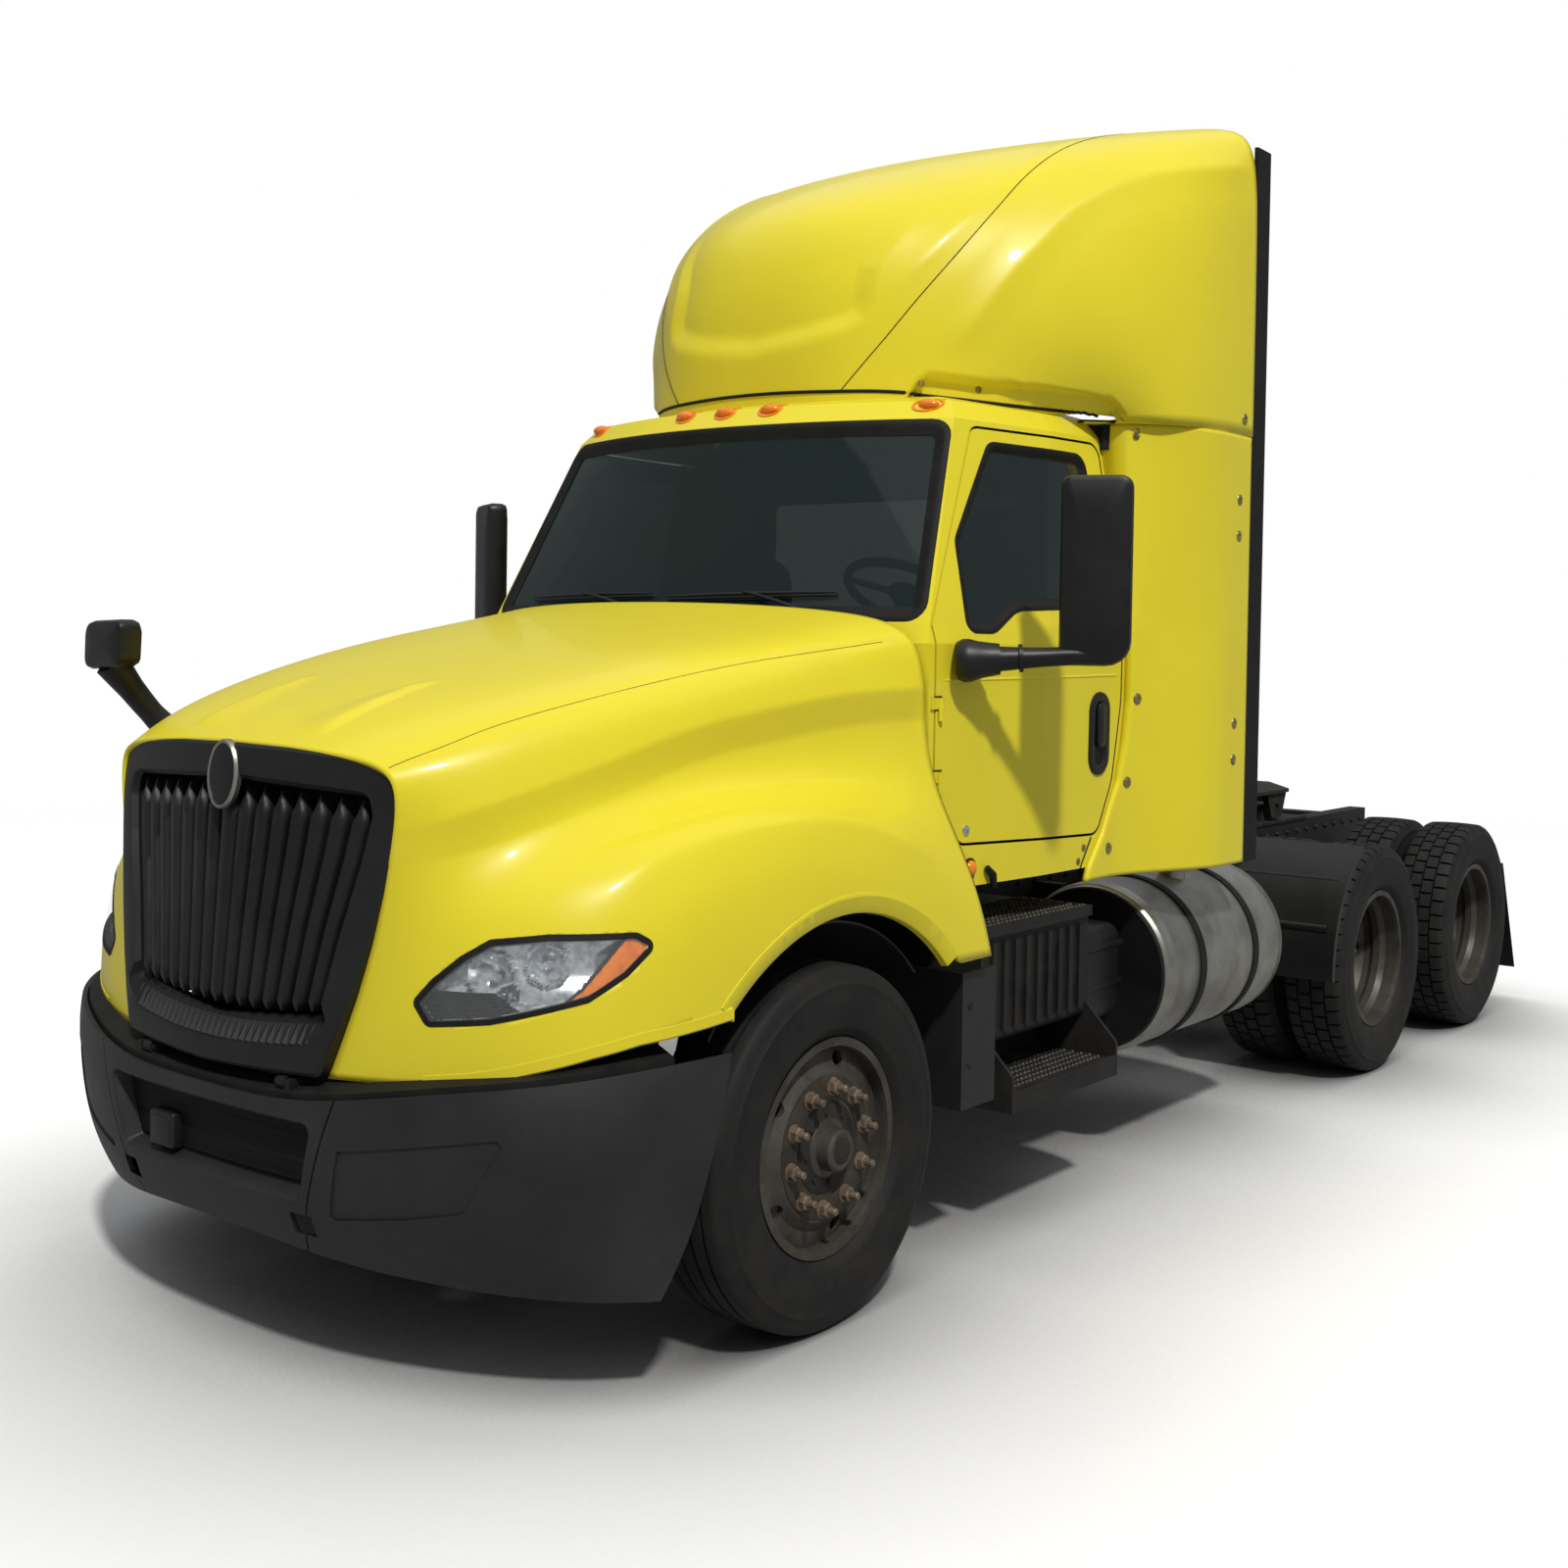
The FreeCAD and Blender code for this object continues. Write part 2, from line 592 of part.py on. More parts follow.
def bumper():
    """Three pieces with slanted seams, an air inlet in the middle and a shallow recess in each side piece."""
    body = skin(bumper_rows, 0, bumper_wall, bumper_inside)
    opening = front_prism([(-452, 690, 30), (-392, 478, 24), (392, 478, 24), (452, 690, 30)], -200, 300)
    body = body.cut(opening)
    shallow = skin(bumper_rows, -40, 40 + bumper_recess, bumper_inside)
    pocket = front_prism([(527, 632, 10), (946, 702, 16), (838, 508, 24), (696, 478, 16), (480, 446, 10)], -200, 520)
    pocket = shallow.common(pocket)
    body = body.cut(pocket).cut(mirrored(pocket))
    for side in (1, -1):
        body = body.cut(block(min(side * 345, side * 420), max(side * 345, side * 420), -200, 300, 388, 446))
        top, bottom, half = bumper_seam_top_x, bumper_seam_bottom_x, bumper_seam_gap / 2
        slot = front_prism([(top - half, 790), (top + half, 790), (bottom + half, 300), (bottom - half, 300)], -200, 700)
        body = body.cut(slot if side > 0 else mirrored(slot))
    return body


# Frame, axles and suspension
def channel(side):
    outer = side * rail_x
    inner = side * (rail_x - rail_flange)
    rail = block(min(outer, inner), max(outer, inner), rail_front_s, rail_rear_s, rail_bottom, rail_top)
    hollow = block(min(side * (rail_x - rail_web), side * (rail_x - rail_flange - 5)),
                   max(side * (rail_x - rail_web), side * (rail_x - rail_flange - 5)),
                   rail_front_s, rail_rear_s, rail_bottom + rail_web, rail_top - rail_web)
    return rail.cut(hollow)


def chassis_frame():
    """Two channel rails and their crossmembers, with the cab mounts and the hood's hinge brackets."""
    pieces = [channel(1), channel(-1)]
    half = rail_x - rail_web
    for s in crossmember_s:
        web = block(-half, half, s, s + rail_web, rail_bottom + 40, rail_top - 40)
        flange = block(-half, half, s, min(s + crossmember_length, rail_rear_s), rail_top - 40 - rail_web, rail_top - 40)
        pieces += [web, flange]
    pieces.append(block(-half, half, rail_front_s, rail_front_s + 90, rail_bottom - 20, rail_bottom + 30))
    pieces.append(block(-half, half, rail_rear_s - 9, rail_rear_s, rail_bottom + 20, rail_top - 40))
    for side in (1, -1):
        x0, x1 = sorted((side * (rail_x - 80), side * rail_x))
        pieces.append(block(x0, x1, 1960, 2060, rail_top - 5, cab_floor_z - seat_gap))
        pieces.append(block(x0, x1, 2990, 3110, rail_top - 5, cab_floor_z - seat_gap))
        x2, x3 = sorted((side * (hood_arm_x + 22), side * (hood_arm_x + 42)))
        pieces.append(side_prism([(hood_pivot_s - 20, hood_pivot_z - 20), (hood_pivot_s + 20, hood_pivot_z - 22),
                                  (rail_front_s + 20, rail_bottom - 20), (rail_front_s + 20, rail_bottom + 20),
                                  (hood_pivot_s + 15, hood_pivot_z + 14), (hood_pivot_s - 20, hood_pivot_z + 12)], x2, x3))
        pin = sorted((side * (hood_arm_x - 30), side * (hood_arm_x + 40)))
        pieces.append(rod_x(pin[0], pin[1], hood_pivot_s, hood_pivot_z, hood_pin_radius))
    return fused(pieces)


def hood_arms():
    """Two arms with eyes on the hinge pins, and the bar behind the foot of the grille that they carry."""
    pieces = []
    for side in (1, -1):
        x0, x1 = sorted((side * (hood_arm_x - 18), side * (hood_arm_x + 16)))
        pieces.append(rod_x(x0, x1, hood_pivot_s, hood_pivot_z, 19))
        pieces.append(block(x0, x1, hood_pivot_s, 190, hood_pivot_z - 14, hood_pivot_z + 17))
        pieces.append(block(x0, x1, 160, 190, hood_pivot_z, 850))
    whole = fused(pieces + [block(-360, 360, 90, 190, 792, 850)])
    whole = whole.cut(rod_x(-500, 500, hood_pivot_s, hood_pivot_z, hood_pin_radius + running_gap))
    behind = whole.cut(nose_slab(784, 1700, grille_front_s - 400, 400 + grille_depth + seat_gap))
    return behind


def bumper_beam():
    """A curved beam bolted behind the three bumper pieces, on arms from the frame rails."""
    strip = skin(bumper_rows, bumper_wall + seat_gap, 22, bumper_inside)
    pieces = []
    for side in (1, -1):
        x0, x1 = sorted((side * 458, side * 960))
        pieces.append(strip.common(block(x0, x1, -100, 600, 540, 640)))
        x2, x3 = sorted((side * 470, side * 540))
        arm = block(x2, x3, 60, rail_front_s + 110, 560, 620)
        pieces.append(arm.cut(solid_under_bumper()))
        x4, x5 = sorted((side * (rail_x + seat_gap), side * 540))
        pieces.append(block(x4, x5, rail_front_s + 10, rail_front_s + 110, 560, rail_bottom + 120))
    whole = [fused(pieces[i:i + 3]) for i in (0, 3)]
    return Part.Compound(whole)


def solid_under_bumper():
    """Everything from the inner face of the bumper forwards, near the arms of the beam."""
    return skin(bumper_rows, -60, 60 + bumper_wall + seat_gap, bumper_inside)


beam_z = 400.0


def front_axle():
    """A forged beam that drops in the middle and rises to an eye round the kingpin at each end."""
    high, low = axle_height + beam_eye_height / 2, axle_height - beam_eye_height / 2
    half = [(kingpin_x - 82, low, 40), (620, beam_z - 45, 60), (-620, beam_z - 45, 60), (-kingpin_x + 82, low, 40),
            (-kingpin_x, low), (-kingpin_x, high), (-kingpin_x + 60, high, 40), (-600, beam_z + 50, 60),
            (600, beam_z + 50, 60), (kingpin_x - 60, high, 40), (kingpin_x, high), (kingpin_x, low)]
    beam = front_prism(half, front_axle_s - 40, front_axle_s + 40)
    for side in (40, -40):
        beam = beam.cut(front_prism([(-540, beam_z - 22), (540, beam_z - 22), (540, beam_z + 28), (-540, beam_z + 28)],
                                    front_axle_s + side * 0.45, front_axle_s + side * 1.2))
    pieces = [beam]
    for side in (1, -1):
        x = side * kingpin_x
        pieces.append(rod(at(x, front_axle_s, low), at(x, front_axle_s, high), beam_eye_radius))
        pieces.append(rod(at(x, front_axle_s, axle_height - 130), at(x, front_axle_s, axle_height + 130), kingpin_radius))
    return fused(pieces)


def knuckle():
    """A clevis on the kingpin with the wheel spindle outside it and a steering arm behind."""
    x, s, z = kingpin_x, front_axle_s, axle_height
    gap = beam_eye_height / 2 + knuckle_gap
    fork = fused([rod(at(x, s, z - 120), at(x, s, z + 120), 56), block(x, x + 110, s - 55, s + 55, z - 120, z + 120)])
    fork = fork.cut(block(x - 90, x + 22, s - 70, s + 70, z - gap, z + gap))
    fork = fork.cut(rod(at(x, s, z - gap), at(x, s, z + gap), beam_eye_radius + knuckle_gap))
    spindle = rod_x(x + 100, front_track / 2 + 120, s, z, spindle_radius)
    flange = rod_x(x + 95, x + 112, s, z, 85)
    arm = plan_prism([(x - 34, s + 20), (x + 34, s + 20), (x + 24, s + tie_rod_offset + 24, 22),
                      (x - 24, s + tie_rod_offset + 24, 22)], z - 120, z - 92)
    pin_top = z - tie_rod_drop + 50
    pin = rod(at(x, s + tie_rod_offset, z - tie_rod_drop - 26), at(x, s + tie_rod_offset, pin_top), tie_pin_radius)
    knuckle = fused([fork, spindle, flange, arm, pin])
    return knuckle.cut(rod(at(x, s, z - 200), at(x, s, z + 200), kingpin_radius + running_gap))


def tie_rod():
    """Links the two steering arms behind the axle beam, its pins straight behind the kingpins."""
    x, s, z = kingpin_x, front_axle_s + tie_rod_offset, axle_height - tie_rod_drop
    pieces = [rod_x(-x, x, s, z, 17)]
    for side in (1, -1):
        pieces.append(rod(at(side * x, s, z - 20), at(side * x, s, z + 20), 26))
        x0, x1 = sorted((side * (x - 30), side * (x - 150)))
        pieces.append(rod_x(x0, x1, s, z, 21))
    whole = fused(pieces)
    for side in (1, -1):
        whole = whole.cut(rod(at(side * x, s, z - 30), at(side * x, s, z + 30), tie_pin_radius + running_gap))
    return whole


def spun(points, x, s):
    """Turns an outline of (offset from the wheel plane, radius) about the axle line at s."""
    face = Part.Face(Part.makePolygon([at(x + dx, s, axle_height + r) for dx, r in points + points[:1]]))
    solid = face.revolve(at(0, s, axle_height), along_x, 360)
    if solid.Volume < 0:
        solid.reverse()
    return solid


def tyre(x, s):
    """A tyre carcass whose beads sit on the rim, against its two flanges."""
    half = tyre_width / 2
    bead = rim_half_width - rim_flange - seat_gap
    low, high = rim_radius + seat_gap, tyre_radius
    outer = [(bead, low), (bead, low + 16), (half * 0.95, low + 62), (half, high - 125), (half * 0.97, high - 60), (half * 0.84, high - 12),
             (half * 0.7, high)]
    inner = [(half * 0.6, high - 35), (half * 0.84, high - 120), (half * 0.8, low + 50), (bead - 14, low)]
    left = [(-dx, r) for dx, r in outer]
    hollow = [(-dx, r) for dx, r in reversed(inner)]
    return spun(left + outer[::-1] + inner[::-1] + hollow[::-1], x, s)


def rim(x, s, out, dish, holes):
    """A steel disc wheel: the barrel, and a dished disc with hand holes that ends dish outside the wheel plane."""
    half, flange = rim_half_width, rim_flange
    barrel = spun([(-half, rim_radius - 12), (-half, rim_radius + rim_lip), (-half + flange, rim_radius + rim_lip),
                   (-half + flange, rim_radius), (half - flange, rim_radius), (half - flange, rim_radius + rim_lip),
                   (half, rim_radius + rim_lip), (half, rim_radius - 12), (half - 14, rim_radius - 14),
                   (out * 30, rim_radius - 14), (out * 10, rim_radius - 26), (out * -20, rim_radius - 26),
                   (out * -44, rim_radius - 14), (-half + 14, rim_radius - 14)], x, s)
    disc = spun([(out * 44, rim_radius - 5), (out * 66, rim_radius - 5), (out * (dish - 8), 232), (out * (dish + 12), 205),
                 (out * (dish + 12), 70), (out * dish, 70), (out * dish, 200), (out * (dish - 20), 224)], x, s)
    for i in range(holes):
        angle = 2 * math.pi * i / holes
        s1, z1 = s + 243 * math.cos(angle), axle_height + 243 * math.sin(angle)
        disc = disc.cut(rod_x(x - 200, x + 200, s1, z1, 24))
    return fused([barrel, disc])


def steer_wheel():
    """The front wheel on its hub, whose cap closes over the end of the spindle."""
    x = front_track / 2
    s = front_axle_s
    bore = spindle_radius + running_gap
    hub = spun([(-36, bore), (-36, 150), (-20, 150), (-20, 105), (84, 105), (86, 92), (104, 80), (110, 62), (146, 58), (152, 50),
                (152, 0), (140, 0), (140, bore)], x, s)
    return fused([rim(x, s, 1, 85, 5), hub])


def dual_wheel(s):
    """Twin wheels on one hub: the outer wheel dishes in and the inner one out, and their discs meet."""
    middle = drive_track / 2
    dish = dual_spacing / 2 - 12
    bore = axle_tube_radius + running_gap
    outer = rim(middle + dual_spacing / 2, s, -1, dish, 5)
    inner = rim(middle - dual_spacing / 2, s, 1, dish, 5)
    hub = spun([(-75, bore), (-75, 200), (-50, 200), (-50, 110), (12, 110), (12, 98), (104, 90), (110, 118), (124, 118), (126, 80),
                (145, 60), (145, 0), (135, 0), (135, bore)], middle, s)
    return fused([outer, inner, hub])


def dual_tyres(s):
    return Part.Compound([tyre(drive_track / 2 - dual_spacing / 2, s), tyre(drive_track / 2 + dual_spacing / 2, s)])


def drive_axle(s, last):
    """The housing with its differential, the nose that takes the drive shaft, and two brake chambers."""
    tube = rod_x(-drive_track / 2 - 70, drive_track / 2 + 70, s, axle_height, axle_tube_radius)
    bowl = Part.makeSphere(215, at(0, s, axle_height))
    bowl = bowl.common(block(-215, 215, s - 190, s + 190, axle_height - 215, axle_height + 215))
    nose = Part.makeCone(85, 135, 200, at(0, s - 330, axle_height + 60), along_s)
    pieces = [tube, bowl, nose, rod(at(0, s - 345, axle_height + 60), at(0, s, axle_height + 60), 62)]
    if not last:
        pieces.append(rod(at(0, s, axle_height + 60), at(0, s + 250, axle_height + 60), 62))
    for side in (1, -1):
        x0, x1 = sorted((side * 300, side * 330))
        arm = side_prism([(s + 20, axle_height - 30), (s + 150, axle_height + 40), (s + 150, axle_height + 100),
                          (s - 20, axle_height + 30)], x0, x1)
        x2, x3 = sorted((side * 210, side * 345))
        can = rod_x(x2, x3, s + 160, axle_height + 75, 72)
        band = rod_x(side * 270 if side > 0 else side * 285, side * 285 if side > 0 else side * 270, s + 160, axle_height + 75, 80)
        pieces += [arm, can, band]
    return fused(pieces)


def drive_axles():
    return Part.Compound([drive_axle(s, s == drive_axle_s[-1]) for s in drive_axle_s])


def drive_shafts():
    """Two shafts in line from the gearbox to the first drive axle, and one between the axles."""
    high = at(0, gearbox_rear_s + seat_gap, 705)
    middle = at(0, crossmember_s[1] + 300, 640)
    nose = at(0, drive_axle_s[0] - 345 - seat_gap, axle_height + 60)
    behind = at(0, drive_axle_s[0] + 250 + seat_gap, axle_height + 60)
    last = at(0, drive_axle_s[1] - 345 - seat_gap, axle_height + 60)
    front = fused([rod(high, middle, 48), rod(high, high + (middle - high).normalize() * 60, 70)])
    front = front.cut(block(-200, 200, 2000, gearbox_rear_s + seat_gap, 500, 1100))
    rear = fused([rod(middle, nose, 48), rod(middle + Vector(0, -40, 0), middle + Vector(0, 60, 0), 75)])
    rear = rear.cut(block(-200, 200, drive_axle_s[0] - 345 - seat_gap, drive_axle_s[0], 200, 1100))
    return Part.Compound([fused([front, rear]), rod(behind, last, 48)])


def turned(outline, x, s):
    """Turns an outline of (radius, z) corners about an upright line."""
    face = Part.Face(soft_wire(outline, lambda r, z: at(x + r, s, z)))
    solid = face.revolve(at(x, s, 0), upwards, 360)
    if solid.Volume < 0:
        solid.reverse()
    return solid


def rear_suspension():
    """On each side a beam under each axle with an air spring, hung from a bracket, and a damper."""
    pieces = []
    axle_low = axle_height - axle_tube_radius
    for side in (1, -1):
        for s in drive_axle_s:
            x0, x1 = sorted((side * 395, side * 480))
            beam = side_prism([(s - 490, axle_low - 40, 20), (s - 120, axle_low - 80, 60), (s + 330, axle_low - 62, 20),
                               (s + 330, axle_low - 30, 10), (s + 80, axle_low - seat_gap), (s - 80, axle_low - seat_gap),
                               (s - 400, axle_low + 10, 30), (s - 490, axle_low + 10, 20)], x0, x1)
            hanger = side_prism([(s - 480, axle_low - 30), (s - 420, axle_low - 30), (s - 370, rail_bottom - seat_gap),
                                 (s - 530, rail_bottom - seat_gap)], x0, x1)
            low, high = axle_low - 40, rail_bottom - seat_gap
            middle = side * 437
            spring = turned([(0, low), (58, low), (58, low + 100), (74, low + 112, 12), (74, high - 16, 12), (62, high - 16),
                             (62, high), (0, high)], middle, s + 240)
            pieces.append(fused([beam, hanger, spring]))
    return Part.Compound(pieces)


def leaf(radius, half_length, z, thickness, x0, x1):
    """One leaf: a slice of a wide ring, whose middle is its lowest place."""
    centre = z + radius
    ring = rod_x(x0, x1, front_axle_s, centre, radius).cut(rod_x(x0, x1, front_axle_s, centre, radius - thickness))
    return ring.common(block(x0, x1, front_axle_s - half_length, front_axle_s + half_length, z - 10, z + 300))


def front_springs():
    """Stacks of leaves on the axle beam, with their hangers, shackles, clamps and dampers."""
    pieces = []
    low = beam_z + 50 + seat_gap
    for side in (1, -1):
        x0, x1 = sorted((side * 385, side * 465))
        stack = [leaf(2600, 740, low + 22, 13, x0, x1), leaf(2600, 520, low + 11, 13, x0, x1),
                 leaf(2600, 330, low, 13, x0, x1)]
        clamp = block(x0 - 6, x1 + 6, front_axle_s - 60, front_axle_s + 60, low, low + 52)
        x2, x3 = sorted((side * 400, side * 450))
        front = block(x2, x3, front_axle_s - 740, front_axle_s - 670, low + 95, rail_bottom - seat_gap)
        rear = block(x2, x3, front_axle_s + 670, front_axle_s + 740, low + 95, rail_bottom - seat_gap)
        eyes = [rod_x(x0, x1, front_axle_s + offset, low + 145, 32) for offset in (-722, 722)]
        x4 = side * 500
        damper = fused([rod(at(x4, front_axle_s + 90, low + 20), at(x4, front_axle_s + 200, rail_bottom + 90), 22),
                        rod(at(x4, front_axle_s + 140, low + 168), at(x4, front_axle_s + 200, rail_bottom + 90), 34)])
        x5, x6 = sorted((side * 440, side * 520))
        foot = block(x5, x6, front_axle_s + 60, front_axle_s + 110, low, low + 40)
        pieces.append(fused(stack + [clamp, front, rear, damper, foot] + eyes))
    return Part.Compound(pieces)


gearbox_rear_s = 2300.0


def engine_block():
    """The engine and gearbox as one plain block, on feet that rest on the rails."""
    body = block(-320, 320, 640, 1700, 640, 1500)
    gearbox = block(-230, 230, 1700, gearbox_rear_s, 640, 1000)
    pieces = [body, gearbox]
    for side in (1, -1):
        x0, x1 = sorted((side * 300, side * 420))
        pieces.append(block(x0, x1, 1050, 1180, rail_top + seat_gap, rail_top + 70))
    return fused(pieces)


def radiator():
    upper = block(-400, 400, 440, 540, rail_top + seat_gap, 1470)
    lower = block(-330, 330, 440, 540, 790, rail_top + 20)
    return fused([upper, lower])


step_x = 1165.0
step_z = 436.0
box_front_s = 2180.0
tank_front_s = cab_rear_s + 120.0
tank_to_axle = 970.0
tank_rear_s = drive_axle_s[0] - tank_to_axle
tank_radius = 318.0
tank_x = 845.0
tank_z = 690.0
strap_s = [tank_front_s + 260.0, tank_rear_s - 300.0]


def fuel_tank():
    """A round tank with domed ends and a filler neck on top."""
    tank = rod(at(tank_x, tank_front_s, tank_z), at(tank_x, tank_rear_s, tank_z), tank_radius)
    tank = rounded(tank, 55, None)
    neck_s = (strap_s[0] + strap_s[1]) / 2
    neck = rod(at(tank_x + 60, neck_s, tank_z + 250), at(tank_x + 75, neck_s, tank_z + tank_radius + 22), 46)
    return fused([tank, neck])


def tank_straps():
    straps = []
    for s in strap_s:
        hole = rod(at(tank_x, s - 5, tank_z), at(tank_x, s + 60, tank_z), tank_radius + seat_gap)
        ring = rod(at(tank_x, s, tank_z), at(tank_x, s + 45, tank_z), tank_radius + 6 + seat_gap).cut(hole)
        bracket = side_prism([(s, rail_bottom - 150), (s + 45, rail_bottom - 150), (s + 45, rail_top - 60), (s, rail_top - 60)],
                             rail_x + seat_gap, tank_x - 285)
        straps.append(fused([ring, bracket.cut(hole)]))
    return Part.Compound(straps)


def step_tray(side, front, rear):
    """A cab step: a tread with a lip, on side plates with rounded feet."""
    x0, x1 = sorted((side * 820, side * step_x))
    lip = sorted((side * (step_x - 14), side * step_x))
    pieces = [block(x0, x1, front, rear, step_z, step_z + 34), block(lip[0], lip[1], front, rear, step_z - 26, step_z + 44)]
    for s in (front, rear - 14):
        plate = front_prism([(side * 820, step_z - 26), (side * step_x, step_z - 26, 30), (side * step_x, step_z + 90, 30),
                             (side * 1040, step_z + 215, 40), (side * 820, step_z + 215)], s, s + 14)
        pieces.append(plate)
    pieces.append(block(min(side * 820, side * 845), max(side * 820, side * 845), front, rear, step_z, step_z + 170))
    return pieces


def battery_box():
    """The battery box under the door, with a ribbed cover and the cab step below it."""
    front, rear = box_front_s, cab_rear_s - 270
    body = block(rail_x + seat_gap, 1040, front, rear, 600, 985)
    body = rounded(body, 30, uprights(along_s))
    ribs = []
    for i in range(9):
        s = front + 55 + i * (rear - front - 110 - 24) / 8
        ribs.append(block(1030, 1052, s, s + 24, 640, 930))
    rim_top = block(760, 1056, front, rear, 955, 991)
    return fused([body, rim_top] + ribs + step_tray(1, front, rear))


def exhaust_box():
    """The long box of the exhaust filters on the right side, with a heat shield band and the cab step below it."""
    front, rear = box_front_s, cab_rear_s + 150
    body = block(-1050, -rail_x - seat_gap, front, rear, 560, 985)
    body = rounded(body, 40, uprights(along_s))
    bands = [block(-1056, -rail_x - 20, s, s + 40, 554, 991) for s in (front + 60, rear - 100, (front + rear) / 2)]
    bands = [rounded(b, 40, uprights(along_s)) for b in bands]
    return fused([body] + bands + step_tray(-1, front, cab_rear_s - 270))


def quarter_fenders():
    """Curved guards ahead of the first drive wheels, on rods from the frame."""
    s = drive_axle_s[0]
    outer_x = drive_track / 2 + 295
    outer = rod_x(720, outer_x, s, axle_height, tyre_radius + 75)
    inner = rod_x(700, outer_x + 20, s, axle_height, tyre_radius + 69)
    guard = outer.cut(inner).common(block(700, outer_x + 20, s - 700, s - 250, 480, 1200))
    lip = rod_x(outer_x - 8, outer_x, s, axle_height, tyre_radius + 75)
    lip = lip.cut(rod_x(outer_x - 20, outer_x + 20, s, axle_height, tyre_radius + 48))
    lip = lip.common(block(700, outer_x + 20, s - 700, s - 250, 480, 1200))
    brackets = []
    for s1, z1 in ((s - 548, 700), (s - 420, 890)):
        brackets.append(rod_x(rail_x + seat_gap if z1 > rail_bottom else 700, 1180, s1, z1, 17))
    post = rod(at(705, s - 548, 700), at(705, s - 420, 890), 17)
    guard = fused([guard, lip, post] + brackets)
    return Part.Compound([guard, mirrored(guard)])


def mud_flaps():
    """Flaps that trail behind the last wheels, on bars from the ends of the rails."""
    top, bottom = overall_length - 250, overall_length
    outer_x = drive_track / 2 + 240
    flap = side_prism([(top - 8, 760), (top, 760), (bottom, 170), (bottom - 8, 170)], outer_x - 525, outer_x)
    hanger = block(rail_x - 60, outer_x, top - 48, top - 4, 722, 760)
    arm = block(rail_x - 60, rail_x - 10, rail_rear_s + seat_gap, top - 20, 722, 800)
    piece = fused([flap, hanger, arm])
    return Part.Compound([piece, mirrored(piece)])


def deck_plate():
    """A tread plate over the rails behind the cab."""
    return block(-rail_x, rail_x, cab_rear_s + 150, tank_rear_s, rail_top + seat_gap, rail_top + 6)


def air_tanks():
    """Two air tanks, one above the other, strapped to brackets on the right rail."""
    pieces = []
    front, rear = tank_front_s + 130, tank_rear_s - 60
    for z in (rail_top - 130, rail_top - 380):
        body = rounded(rod(at(-590, front, z), at(-590, rear, z), 110), 40, None)
        for s in (front + 120, rear - 160):
            band = rod(at(-590, s, z), at(-590, s + 36, z), 115)
            arm = block(-560, -rail_x - seat_gap, s, s + 36, max(z - 60, rail_bottom - 60), max(z - 60, rail_bottom - 60) + 60)
            pieces += [band, arm]
            pieces.append(block(-470, -rail_x - seat_gap, s, s + 36, rail_top - 420, rail_top - 60))
        pieces.append(body)
    return fused(pieces)


def marker_lamps():
    """Five oval lamps along the front edge of the cab roof."""
    lamps = []
    for share in marker_shares:
        x, z = share * cab_half_width, cab_roof_z - (51 if abs(share) < 0.5 else 55)
        sight = Part.makeLine(at(x, 1000, z), at(x, cab_middle_s + 200, z)).common(cab_solid())
        s = sight.BoundBox.YMin - nose_y
        bulb = Part.makeSphere(1.0, Vector(0, 0, 0))
        stretch = FreeCAD.Matrix()
        stretch.scale(40, 26, 20)
        bulb = bulb.transformGeometry(stretch)
        bulb.translate(at(x, s, z))
        lens = bulb.cut(cab_solid(-seat_gap))
        lamps.append(max(lens.Solids, key=lambda piece: piece.Volume))
    return Part.Compound(lamps)


marker_shares = [-0.701, -0.1813, 0.0, 0.1813, 0.701]
fifth_wheel_ahead = 30.0
fifth_wheel_s = bogie_s - fifth_wheel_ahead
fifth_wheel_pivot_z = 1085.0
fifth_wheel_top_z = 1180.0
plate_thickness = 16.0
throat_radius = 26.0


def fifth_wheel_base():
    plate = block(-rail_x - 10, rail_x + 10, fifth_wheel_s - 380, fifth_wheel_s + 380, rail_top + seat_gap, rail_top + 15)
    pieces = [plate]
    for side in (1, -1):
        x0, x1 = sorted((side * 330, side * 400))
        ear = block(x0, x1, fifth_wheel_s - 90, fifth_wheel_s + 90, rail_top + 10, fifth_wheel_pivot_z + 30)
        pieces.append(ear)
    base = fused(pieces)
    for side in (1, -1):
        pin = rod_x(min(side * 300, side * 430), max(side * 300, side * 430), fifth_wheel_s, fifth_wheel_pivot_z, 25)
        base = fused([base, pin])
    return base


